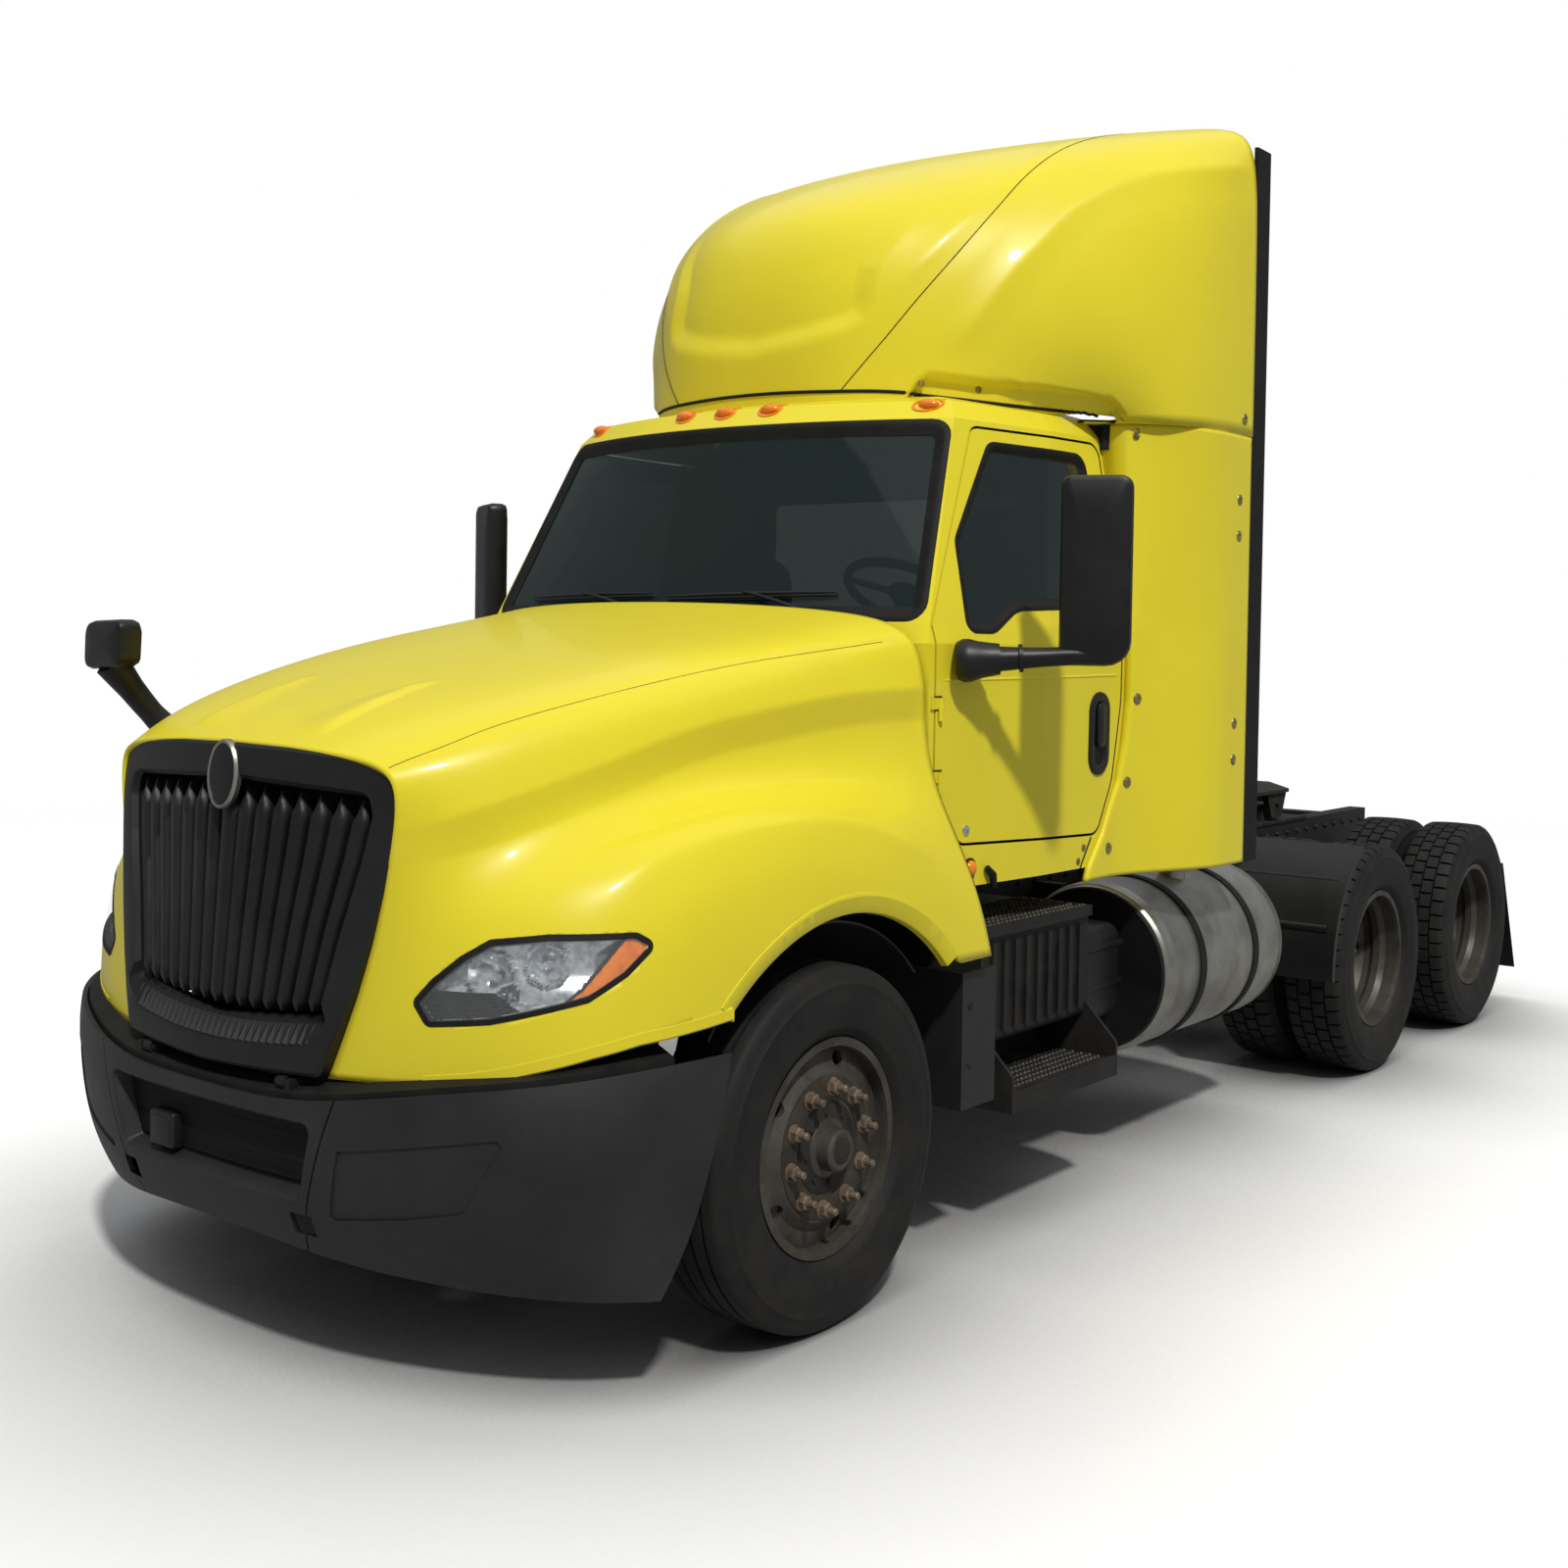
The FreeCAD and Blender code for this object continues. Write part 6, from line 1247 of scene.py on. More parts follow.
# Door furniture: pull handle in its oval cup, lock, belt crease, and the side marker with its rubber strut
doorTrim = {
    "cup": rectangle(2.812, 1.45, 2.947, 1.735, 0.064), "cupFloor": rectangle(2.838, 1.478, 2.921, 1.707, 0.04),
    "pull": rectangle(2.852, 1.545, 2.908, 1.7, 0.024),
    "cupSection": [(0.004, -0.002), (0.002, 0.006), (-0.01, 0.01), (-0.026, 0.008), (-0.034, 0.001),
                   (-0.034, -0.002)],
    "lock": (2.094, 1.31), "crease": 1.785, "creaseRun": (1.955, 3.03, 0.0062), "sideLamp": (2.115, 1.187),
    "lockSection": [(0, 0.002), (0.0035, 0.002), (0.004, 0.005), (0.012, 0.006), (0.016, 0.004),
                    (0.018, -0.002)],
    "lampSection": [(0, 0.02), (0.012, 0.019), (0.022, 0.014), (0.027, 0.006), (0.028, -0.006), (0, -0.006)],
    "lampRing": [(0.027, -0.006), (0.034, -0.004), (0.034, 0.004), (0.029, 0.007), (0.027, 0.006)],
    "strut": [(2.19, 1.185, 0.012), (2.212, 1.16, 0.02), (2.222, 1.12, 0.018)],
    "sillSeam": [(2.842, 1.232, 0.001), (2.795, 1.165, 0.001), (2.772, 1.132, 0.001)],
    "sillBolts": [(2.793, 1.199), (2.758, 1.155)],
    "bolts": [(1.245, 3.627, 2.752), (1.245, 3.605, 2.45), (1.245, 3.604, 2.315), (1.245, 3.596, 1.615),
              (1.245, 3.594, 1.479)],
    "frontBolts": [(3.095, 2.655), (3.085, 1.711), (3.04, 1.415), (2.93, 1.188)],
}


def screwHead(place, out, size=0.017):
    # A domed screw in a shallow cup, with a socket in the middle
    return lathe([(0, 0.0005), (size * 0.35, 0.0005), (size * 0.42, 0.004), (size * 0.8, 0.003), (size, 0.0015),
                  (size * 1.15, 0.002), (size * 1.25, -0.001), (0, -0.003)],
                 place, out, 16)


def addDoorTrim():
    cup = [frameRing(doorTrim["cup"], doorTrim["cupSection"], onSide, spacing=0.02),
           slab(doorTrim["cupFloor"], onSide, 0.0015, 0.0005, 1),
           slab(doorTrim["pull"], lambda s, z, d: onSide(s, z, d + 0.004), 0.012, 0.004, 0, dome=0.004)]
    addPair("doorHandle_%s", cup, "door_%s", ["blackPlastic", "sealRubber"])
    lock = lathe(doorTrim["lockSection"], onSide(*doorTrim["lock"], 0.0), (1, -0.1, 0), 20)
    addPair("doorLock_%s", [lock], "door_%s", "chrome")
    first, last, width = doorTrim["creaseRun"]
    s = np.linspace(first, last, 50)
    fade = np.minimum(1, np.minimum(s - first + 0.015, last + 0.015 - s) / 0.06)
    bead = tube(onSide(s, doorTrim["crease"] + 0.01 * (s - first + 0.005), -0.0035), width * fade, 8)
    addPair("doorCrease_%s", [bead], "door_%s", "cabPaint")
    spot = onSide(*doorTrim["sideLamp"], 0.0)
    lamps = [lathe(doorTrim["lampSection"], spot, (1, 0, 0), 24)]
    ring = [lathe(doorTrim["lampRing"], spot, (1, 0, 0), 24, closed=True),
            tube([onSide(*step) for step in doorTrim["strut"]], [0.01, 0.014, 0.011], 8)]
    addPiece("sideLamps", both(lamps), "chassis", "amberLens")
    addPiece("sideLampRings", both(ring), "chassis", "sealRubber")
    screws = [screwHead(onSide(s, z, 0.0), (1, 0, 0), 0.011) for s, z in doorTrim["sillBolts"]]
    screws += [screwHead((x + 0.0005, s, z), (1, 0, 0)) for x, s, z in doorTrim["bolts"] if z < 2.69]
    screws += [screwHead((panelX(s, z) + 0.001, s, z), (0.98, -0.2, 0)) for s, z in doorTrim["frontBolts"]]
    top = doorTrim["bolts"][0]
    screws.append(screwHead((1.2493, top[1], top[2]), (1, 0, 0)))
    addPiece("panelScrews", both(screws), "chassis", "screwSteel")
    seam = [tube([onSide(*step) for step in doorTrim["sillSeam"]], 0.003, 6)]
    addPiece("sillSeams", both(seam), "chassis", "sealRubber")


panel = {
    "rear": 3.7, "wall": 0.012, "frontZ": [1.085, 1.13, 1.24, 1.42, 1.55, 1.7, 2.69],
    "frontS": [2.785, 2.805, 2.897, 3.0, 3.035, 3.056, 3.062],
    "low": (1.0843, 0.1607, 2.94, 0.6), "high": (0.955, 0.29, 2.98, 0.5, 2.2), "lean": (1.96, 0.73),
}


def panelX(s, z):
    # The side panel's outer face: its low plan up to the belt, then a straight lean to its high plan
    x, more, start, run = panel["low"]
    low = x + more * smoothStep((s - start) / run)
    x, more, start, run, power = panel["high"]
    high = x + more * (1 - (1 - np.clip((s - start) / run, 0, 1)) ** power)
    belt, rise = panel["lean"]
    return low + (high - low) * np.clip((z - belt) / rise, 0, 1)


def addExtenders():
    # A smooth skin over each side panel, from the door's rear edge back to the rubber edge
    z, t = np.meshgrid(np.linspace(1.086, 2.69, 120),
                       np.concatenate([[0, 0.0005, 0.006, 0.015], np.linspace(0.03, 1, 56)]), indexing="ij")
    first = np.interp(z, panel["frontZ"], panel["frontS"])
    s = first + (panel["rear"] - first) * t
    skin = np.stack([panelX(s, z) - 0.008 * np.clip(1 - t / 0.015, 0, 1) ** 2, s, z], axis=-1)
    skin[:, 0] = onSide(s[:, 0], z[:, 0], 0.001)
    addPair("extenderSkin%S", [surface(skin)], "chassis", "bodyPaint", ["side_extenders"], wall=panel["wall"],
            sharp=60, inside=(0.2, 3.2, 1.9))


addDoorTrim()
addExtenders()


# Mirrors: glass in the back of each head, a rim, and collars on the arms
mirrorTrim = {
    "centre": (1.384, 2.267), "toe": 27.0, "back": 0.04, "flat": (0.086, 2.02, 2.395),
    "round": (0.082, 1.895, 1.995),
    "head": [(-0.114, 1.838, 0.03), (0.108, 1.838, 0.078), (0.108, 2.43, 0.04), (-0.114, 2.43, 0.03)],
    "rim": [(0.004, -0.002), (0.004, 0.003), (-0.003, 0.003), (-0.004, -0.001)],
    "depth": 0.08, "arm": [(1.052, 2.032, 1.848), (1.384, 2.258, 1.872)], "armSize": (0.044, 0.03),
    "boot": [(0, -0.024), (0.058, -0.024), (0.068, -0.004), (0.068, 0.016), (0.059, 0.045), (0.053, 0.08),
             (0.049, 0.11), (0, 0.112)],
    "hoodHead": [(-1.088, 1.78, 0.035), (-0.842, 1.788, 0.05), (-0.832, 1.937, 0.03), (-1.08, 1.93, 0.05)],
    "hoodBack": 0.372, "hoodDepth": 0.082, "hoodToe": -0.1,
    "stalk": [(-0.97, 0.335, 1.8), (-0.96, 0.385, 1.735), (-0.93, 0.47, 1.625), (-0.893, 0.54, 1.545),
              (-0.872, 0.56, 1.5)],
    "stalkSize": [0.052, 0.041, 0.037, 0.044, 0.062],
}


def onMirror(a, z, lift):
    # The back face of the left mirror head, in the head's own turned plan
    a, z, lift = np.broadcast_arrays(a, z, lift)
    turn = math.radians(mirrorTrim["toe"])
    b = mirrorTrim["back"] + lift
    x = mirrorTrim["centre"][0] + a * math.cos(turn) - b * math.sin(turn)
    return np.stack([x, mirrorTrim["centre"][1] + a * math.sin(turn) + b * math.cos(turn), z], axis=-1)


def onHoodMirror(x, z, lift):
    # A place on the hood mirror's face, lifted off it
    x, z, lift = np.broadcast_arrays(x, z, lift)
    return np.stack([x, mirrorTrim["hoodBack"] + mirrorTrim["hoodToe"] * (x + 0.96) + lift, z], axis=-1)


def addMirrors():
    half, low, high = mirrorTrim["flat"]
    _, low2, high2 = mirrorTrim["round"]
    flat = [(-half, low, 0.02), (half, low, 0.02), (half, high, 0.03), (-half, high, 0.03)]
    dome = [(-half, low2, 0.02), (half * 0.9, low2, 0.04), (half, high2, 0.02), (-half, high2, 0.02)]
    glass = [slab(flat, onMirror, 0.0015, 0.0005), slab(dome, onMirror, 0.002, 0.0005, dome=0.006)]
    head = [slab(mirrorTrim["head"], lambda a, z, d: onMirror(a, z, -d), mirrorTrim["depth"], 0.02,
                 dome=0.006)]
    head += [frameRing(outline, mirrorTrim["rim"], onMirror) for outline in (flat, dome)]
    start, end = [np.array(p) for p in mirrorTrim["arm"]]
    t = np.linspace(0, 1, 24)
    wide, thin = mirrorTrim["armSize"]
    head.append(tube(start + (end - start) * t[:, None], wide + (thin - wide) * smoothStep(t * 1.4), 20))
    head.append(lathe(mirrorTrim["boot"], start, end - start, 36))
    near = start + (end - start) * 0.42
    head.append(tube([near, near + unit(end - start) * 0.012], 0.0445, 20))
    addPair("mirrorGlass_%s", glass, "door_%s", "mirrorGlass")
    addPair("mirrorHead_%s", head, "door_%s", "blackPlastic", ["door_mirror_%s"])
    outline = [(x * 0.995 + (0.012 if x < -0.96 else -0.018), z + (0.012 if z < 1.85 else -0.012), 0.03)
               for x, z, _ in mirrorTrim["hoodHead"]]
    addPiece("hoodMirrorGlass", [slab(outline, onHoodMirror, 0.0015, 0.0005, dome=0.004)], "hood",
             "mirrorGlass")
    small = [slab(mirrorTrim["hoodHead"], lambda x, z, d: onHoodMirror(x, z, -d), mirrorTrim["hoodDepth"],
                  0.022, dome=0.006)]
    stalk = smoothPath(mirrorTrim["stalk"], 40)
    size = np.interp(np.linspace(0, 1, 40), np.linspace(0, 1, 5), mirrorTrim["stalkSize"])
    small += [tube(stalk, size, 20), tube(stalk[27:29], 0.047, 20)]
    addPiece("hoodMirrorHead", small, "hood", "blackPlastic", ["hood_mirror"])


addMirrors()
print("cab trim made")


# Front end: screen behind the grille, ledge teeth, oval badge, bumper inlet, a black strip in the gap above the
# bumper as painted shadow, arch liners, hood seal
bumperRows = [
    [(0, 4, 728), (250, 8, 728), (480, 24, 745), (780, 125, 800), (1000, 260, 825), (1140, 450, 850),
     (1205, 745, 862)],
    [(0, -2, 670), (250, 2, 672), (510, 25, 690), (800, 125, 730), (1030, 262, 750), (1165, 450, 770),
     (1215, 720, 780)],
    [(0, 0, 560), (250, 4, 560), (510, 30, 560), (800, 135, 560), (1030, 275, 560), (1160, 445, 560),
     (1210, 660, 560)],
    [(0, 20, 430), (250, 26, 430), (500, 58, 415), (780, 165, 400), (1000, 295, 395), (1130, 440, 390),
     (1190, 600, 390)],
    [(0, 60, 355), (250, 66, 350), (480, 105, 325), (740, 210, 300), (950, 325, 285), (1090, 440, 278),
     (1160, 540, 275)],
]
front = {
    "outer": [(0, 0.78), (0.424, 0.792, 0.02), (0.462, 0.89), (0.502, 1.0), (0.541, 1.13), (0.573, 1.26),
              (0.6, 1.395), (0.612, 1.505, 0.03), (0.588, 1.578, 0.05), (0.43, 1.598), (0.24, 1.61),
              (0, 1.614)],
    "inner": [(0, 0.902), (0.398, 0.938, 0.02), (0.447, 1.149), (0.5, 1.336), (0.524, 1.445),
              (0.508, 1.5, 0.03), (0, 1.522)],
    "rim": [(0, -0.03), (0, 0.004), (0.07, 0.011), (0.6, 0.013), (0.85, 0.01), (1.0, -0.008), (1.0, -0.06),
            (0.5, -0.06)],
    "ledge": [(0, -0.03), (0, 0.004), (0.07, 0.011), (0.46, 0.013), (0.52, 0.01), (1.0, -0.034), (1.0, -0.06),
              (0.5, -0.06)],
    "vanes": 15, "vaneTop": 1.5, "vaneFoot": 0.93, "vanePoint": 0.055,
    "vane": [(-1, -0.056), (-1, -0.024), (-0.86, -0.012), (-0.45, -0.004), (0.45, -0.004), (0.86, -0.012),
             (1, -0.024), (1, -0.056)],
    "inlet": [(-0.452, 0.69, 0.03), (-0.392, 0.478, 0.024), (0.392, 0.478, 0.024), (0.452, 0.69, 0.03)],
    "inletSection": [(0.012, -0.001), (0.01, 0.0005), (-0.001, 0.0002), (-0.01, -0.012), (-0.02, -0.055),
                     (0.01, -0.055), (0.01, -0.016)],
    "badge": (0.0, 1.53, 0.06, 0.088), "teeth": 30, "toothX": 0.385, "toothFoot": (0.848, 0.026, 0.4),
    "sensor": [((-0.255, 0.024, 0.512), (-0.145, 0.07, 0.608), 0.008),
               ((-0.242, 0.021, 0.524), (-0.158, 0.032, 0.596), 0.003)],
    "pocket": ((0.42, 0.13, 0.345), (0.565, 0.15, 0.45), 0.008), "inside": (0, 0.7, 0.56),
    "nose": (0.025, 0.7, 0.075, 0.0707, 0.55), "ripple": (0.004, 0.05),
    "gapShadowStrip": [(0.02, -0.03), (0.022, 0.012), (0.095, 0.03), (0.112, 0.125), (0.122, 0.125), (0.11, 0.018),
              (0.034, -0.03)],
    "badgeRim": [(0.004, 0.0), (0.005, 0.014), (0.001, 0.021), (-0.006, 0.019), (-0.007, 0.01)],
    "tooth": [(-0.011, 0.0, 0.008), (0.011, 0.0, 0.008), (0.011, 0.048, -0.036), (-0.011, 0.048, -0.036),
              (0.0, 0.004, 0.016), (0.0, 0.05, -0.012)],
    "linerS": 1.245, "linerZ": 0.52, "linerRadius": 0.6, "linerX": (0.66, 1.115),
}


def onNose(x, z, lift):
    # The grille's leaning front, bowed back towards both sides
    x, z, lift = np.broadcast_arrays(x, z, lift)
    start, foot, lean, bow, half = front["nose"]
    return np.stack([x, start + (z - foot) * lean + bow * (x / half) ** 2 - lift, z], axis=-1)


def bothSides(half):
    # An outline given on the left side only, continued over the right
    return [tuple(p) for p in half] + [(-p[0],) + tuple(p[1:]) for p in half[:0:-1] if p[0]]


def reachOf(outline, turn):
    # How far an outline lies from the middle of the grille in each direction
    spots = softOutline(bothSides(outline), 0.01) - (0, 1.2)
    angle = np.arctan2(spots[:, 1], spots[:, 0])
    order = np.argsort(angle)
    return np.interp(turn, angle[order], np.hypot(*spots[order].T), period=2 * math.pi)


def addGrille():
    turn = np.linspace(-math.pi, math.pi, 360, endpoint=False)
    outer, inner = reachOf(front["outer"], turn), reachOf(front["inner"], turn)
    way = np.stack([np.cos(turn), np.sin(turn)], axis=1)
    low = smoothStep((0.985 - (1.2 + inner * way[:, 1])) / 0.03)
    rings = []
    for (share, high), (share2, high2) in zip(front["rim"], front["ledge"]):
        part = share + (share2 - share) * low
        spot = way * (outer + (inner - outer) * part)[:, None]
        rings.append(onNose(spot[:, 0], 1.2 + spot[:, 1], high + (high2 - high) * low))
    addPiece("grilleFrame", [surface(np.array(rings), roundRows=True, roundCols=True)], "hood", "grillePlastic",
             ["grille_surround"], sharp=24)

    half, level = np.array([p[0] for p in front["inner"][1:5]]), np.array([p[1] for p in front["inner"][1:5]])
    place = np.arange(front["vanes"]) - front["vanes"] // 2
    z = np.concatenate([[0, 0.012, 0.03], np.linspace(0.05, 0.9, 24), [0.93, 0.965, 0.99, 1.0]])
    vanes = []
    for k in place:
        top = front["vaneTop"] - 0.012 * (k / 7) ** 2
        foot = front["vaneFoot"] + 0.018 * (k / 7) ** 2
        rise = foot + (top - foot) * z
        pitch = np.interp(rise, level, half) * 2 / (front["vanes"] + 0.3)
        wide = pitch * 0.37 * (1.25 if k == 0 else 1.0)
        point = np.clip(np.minimum((top - rise) / front["vanePoint"], (rise - foot) / 0.03 + 0.2), 0, 1)
        section = np.array(front["vane"])
        x = (k * pitch)[:, None] + (wide * (0.06 + 0.94 * point))[:, None] * section[:, 0]
        lift = section[:, 1] - 0.014 * (1 - point[:, None]) * (section[:, 1] > -0.05)
        vane = onNose(x, np.broadcast_to(rise[:, None], x.shape), lift)
        ends = [np.broadcast_to(vane[e].mean(axis=0), vane[:1].shape) for e in (0, -1)]
        vanes.append(surface(np.concatenate([ends[0], vane, ends[1]]), roundCols=True))
    addPiece("grilleVanes", vanes, "hood", "grillePlastic", ["grille_bars"], sharp=40)

    screen = slab(bothSides(front["inner"]), lambda x, z, d: onNose(x, z, d - 0.11), 0.004, 0.001)
    x, z, a, b = front["badge"]
    turn = wholeTurn(48)
    oval = [(x + a * math.cos(t), z + b * math.sin(t)) for t in turn]
    badge = slab(oval, lambda p, q, d: onNose(p, q, d + 0.004), 0.014, 0.003, 0, dome=0.003)
    rim = frameRing(oval, front["badgeRim"], onNose, 1, spacing=1.0)
    addPiece("grilleScreen", [screen], "hood", "screenBlack")
    addPiece("noseBadge", [badge, rim], "hood", ["grillePlastic", "tankMetal"], slot="dark_plastic")
    count = front["teeth"]
    place = np.linspace(-front["toothX"], front["toothX"], count)
    low, bow, half = front["toothFoot"]
    foot = low + bow * (place / half) ** 2
    tooth = np.array(front["tooth"])
    faces = [[0, 4, 1], [1, 4, 5, 2], [2, 5, 3], [3, 5, 4, 0], [0, 1, 2, 3]]
    base = onNose(place, foot, 0.0)
    verts = base[:, None] + tooth[None, :, [0, 2, 1]] * (1, -1, 1)
    teeth = (verts.reshape(-1, 3), [[k * 6 + v for v in f] for k in range(count) for f in faces], 0)
    addPiece("grilleTeeth", [teeth], "hood", "grillePlastic", sharp=20)


def addFront():
    u, v = np.linspace(0, 1, 60), np.linspace(0, 1, 200)
    points = netSurface(bumperRows, u, v)
    normals = gridNormals(points, front["inside"])
    place = onGrid(points, normals, points[..., 0], points[..., 2])
    wide, high = np.meshgrid(np.linspace(-0.47, 0.47, 90), np.linspace(0.46, 0.7, 24), indexing="ij")
    deep, pitch = front["ripple"]
    ripple = deep * np.abs(np.sin(high * 2 * math.pi / pitch))
    sheet = place(wide, high, -0.05 + ripple)
    back = place(wide, high, np.full(wide.shape, -0.062))
    inlet = [surface(sheet), surface(back)]
    rim = np.stack([np.concatenate([m[:, 0], m[-1, 1:], m[-2::-1, -1], m[0, -2:0:-1]]) for m in (sheet, back)])
    inlet.append(surface(rim, roundCols=True))
    addPiece("bumperInlet", inlet, "chassis", "screenBlack")
    addPiece("bumperInletFrame", [frameRing(front["inlet"], front["inletSection"], place)], "chassis",
             "bumperPlastic")
    sensor = [roundBlock(*block) for block in front["sensor"]]
    addPiece("towPockets", both([roundBlock(*front["pocket"])]), "chassis", "screenBlack")
    addPiece("bumperSensor", sensor, "chassis", "blackPlastic")

    # Painted shadow: a black strip rising from the bumper's top edge into the gap under the hood
    edge = netSurface(bumperRows, np.array([0.0]), np.linspace(0.02, 0.98, 120))[0]
    way = unit(np.array([0, 0.9, 0]) - edge * (1, 1, 0))
    gapShadowStrip = np.stack([edge + way * a + np.array([0, 0, 1]) * h for a, h in front["gapShadowStrip"]])
    addPiece("gapShadowStrip", [surface(gapShadowStrip, roundRows=True)], "chassis", "sealRubber", sharp=60)

    turn = np.linspace(math.radians(36), math.radians(138), 60)
    shape = [(0, 0.0), (0, 0.006), (1, 0.006), (1, 0.0)]
    x0, x1 = front["linerX"]
    across, reach = np.array(shape).T[..., None]
    reach = front["linerRadius"] + reach
    rows = [x0 + (x1 - x0) * across + 0 * turn, front["linerS"] - reach * np.cos(turn),
            front["linerZ"] + reach * np.sin(turn)]
    liner = [surface(np.stack(rows, axis=-1), roundRows=True)]
    addPiece("archLiners", both(liner), "hood", "blackPlastic", slot="satin_black")
    edge, _ = hoodGrid(np.array([0.992, 1.0]), np.linspace(0, 1, 160))
    heart = np.array([0, 1.9, 1.45])
    line = edge[1] + unit((heart - edge[1]) * (1, 0, 1)) * 0.011 + (0, 0.004, 0)
    addPiece("hoodRearSeal", [tube(line, 0.0075, 8)], "hood", "sealRubber")


addGrille()
addFront()
print("front end made")


# Seats: padded cushions on a plain pedestal, rounded boxes that are crowned and pulled in along their sides
seat = {
    "power": 0.42, "pull": 0.035, "fill": 0.8, "cushion": ((0.335, 2.425, 1.562), (0.825, 2.925, 1.702)),
    "back": ((0.345, 2.862, 1.665), (0.815, 2.988, 2.225)),
    "rest": ((0.435, 2.882, 2.205), (0.725, 2.978, 2.398)), "base": ((0.42, 2.48, 1.178), (0.74, 2.88, 1.57)),
    "channel": 0.01, "channelDepth": 0.009, "foldDepth": 0.014, "foldPitch": 0.045,
    "belt": [(-0.02, 2.86, 1.72), (0.03, 2.9, 1.62), (0.035, 2.9, 1.5)],
}


def cushionForm(lo, hi, flatAxis, channels, channelAxis):
    # A sphere's grid raised to a power, so it fills its box, narrowed along each side, with channels pressed in
    lo, hi = np.array(lo), np.array(hi)
    half, middle = (hi - lo) / 2, (hi + lo) / 2
    rise, turn = np.meshgrid(np.linspace(-math.pi / 2, math.pi / 2, 44), wholeTurn(72), indexing="ij")

    def swell(value, power):
        return np.sign(value) * np.abs(value) ** power

    k = seat["power"]
    local = np.stack([swell(np.cos(rise), 0.75) * swell(np.cos(turn), k),
                      swell(np.cos(rise), 0.75) * swell(np.sin(turn), k), swell(np.sin(rise), 0.75)],
                     axis=-1)
    order = [a for a in range(3) if a != flatAxis] + [flatAxis]
    shape = np.empty_like(local)
    shape[..., order] = local
    wide, other = order[0], order[1]
    shape[..., wide] *= 1 - seat["pull"] * (1 - shape[..., other] ** 2)
    shape[..., other] *= 1 - seat["pull"] * (1 - shape[..., wide] ** 2)
    for spot in channels:
        near = np.abs(shape[..., channelAxis] - spot) * half[channelAxis]
        press = seat["channelDepth"] / half[flatAxis] * smoothStep(1 - near / seat["channel"])
        press = press * np.abs(shape[..., flatAxis])
        shape[..., flatAxis] -= np.sign(shape[..., flatAxis]) * press
    return surface(middle + shape * half, roundCols=True)


def piping(lo, hi, flatAxis):
    # A sewn cord round the widest line of a cushion
    lo, hi = np.array(lo), np.array(hi)
    half, middle = (hi - lo) / 2, (hi + lo) / 2
    turn = np.linspace(0, 2 * math.pi, 97)
    order = [a for a in range(3) if a != flatAxis]
    spot = np.tile(middle, (97, 1))
    for axis, wave in zip(order, (np.cos(turn), np.sin(turn))):
        spot[:, axis] += half[axis] * 0.992 * np.sign(wave) * np.abs(wave) ** seat["power"]
    wide, other = order
    away = (spot[:, other] - middle[other]) / half[other]
    spot[:, wide] -= (spot[:, wide] - middle[wide]) * seat["pull"] * (1 - away ** 2)
    return tube(spot, 0.0035, 6)


def addSeats():
    forms = {"Cushion": (seat["cushion"], 2, (-0.55, -0.18, 0.18, 0.55), 0),
             "Back": (seat["back"], 1, (-0.55, -0.1, 0.35), 2), "Rest": (seat["rest"], 1, (), 0)}
    for kind, (box, flatAxis, channels, channelAxis) in forms.items():
        form = cushionForm(*box, flatAxis, channels, channelAxis)
        replaces = ["seats"] if kind == "Cushion" else ()
        for piece in addPair("seat%s_%%s" % kind, [form], "chassis", "seatCloth", replaces, sharp=80):
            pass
        addPair("seat%sPiping_%%s" % kind, [piping(*box, flatAxis)], "chassis", "trimGrey", sharp=80)
    lo, hi = np.array(seat["base"])
    base = [roundBlock(lo, (hi[0], hi[1], lo[2] + 0.08), 0.02),
            roundBlock((lo[0] + 0.02, lo[1] + 0.02, hi[2] - 0.07), hi, 0.02)]
    z = np.linspace(lo[2] + 0.07, hi[2] - 0.06, 90)
    fold = seat["foldDepth"] * np.abs(np.sin((z - lo[2]) * math.pi / seat["foldPitch"]))
    (x0, s0), (x1, s1) = lo[:2] + 0.05, hi[:2] - 0.05
    corners = softOutline([(x0, s0, 0.04), (x1, s0, 0.04), (x1, s1, 0.04), (x0, s1, 0.04)], 0.05)
    bellows = corners[None] + outwardOf(corners)[None] * fold[:, None, None]
    height = np.broadcast_to(z[:, None, None], bellows.shape[:2] + (1,))
    base.append(surface(np.concatenate([bellows, height], axis=2), roundCols=True))
    belt = tube(smoothPath([(hi[0] + x, s, z) for x, s, z in seat["belt"]], 12), 0.01, 8)
    addPair("seatPedestal_%s", base + [belt], "chassis", "trimGrey")


addSeats()
print("seats made")


# Inside: gauges and vents on the dashboard, a grab handle on the right pillar, a hub pad on the steering wheel
dash = {
    "top": (2.29, 1.96), "foot": (2.35, 1.8),
    "gauges": [(0.66, 0.062, 0.05), (0.5, 0.062, 0.05), (0.745, 0.06, 0.022), (0.415, 0.06, 0.022),
               (0.58, 0.105, 0.02)],
    "vents": [(0.22, 0.06), (0.06, 0.06), (-0.42, 0.06), (-0.72, 0.06)], "wheel": (0.56, 2.42, 2.06),
    "tilt": 30.0, "ventSection": [(0.006, -0.002), (0.006, 0.006), (-0.004, 0.007), (-0.006, -0.002)],
    "grab": [(-0.8, 2.01, 2.08), (-0.77, 2.05, 2.11), (-0.72, 2.12, 2.25), (-0.7, 2.17, 2.38),
             (-0.715, 2.175, 2.44)],
    "pad": [(0, 0.03), (0.03, 0.029), (0.055, 0.024), (0.066, 0.012), (0.066, -0.004), (0, -0.006)],
}


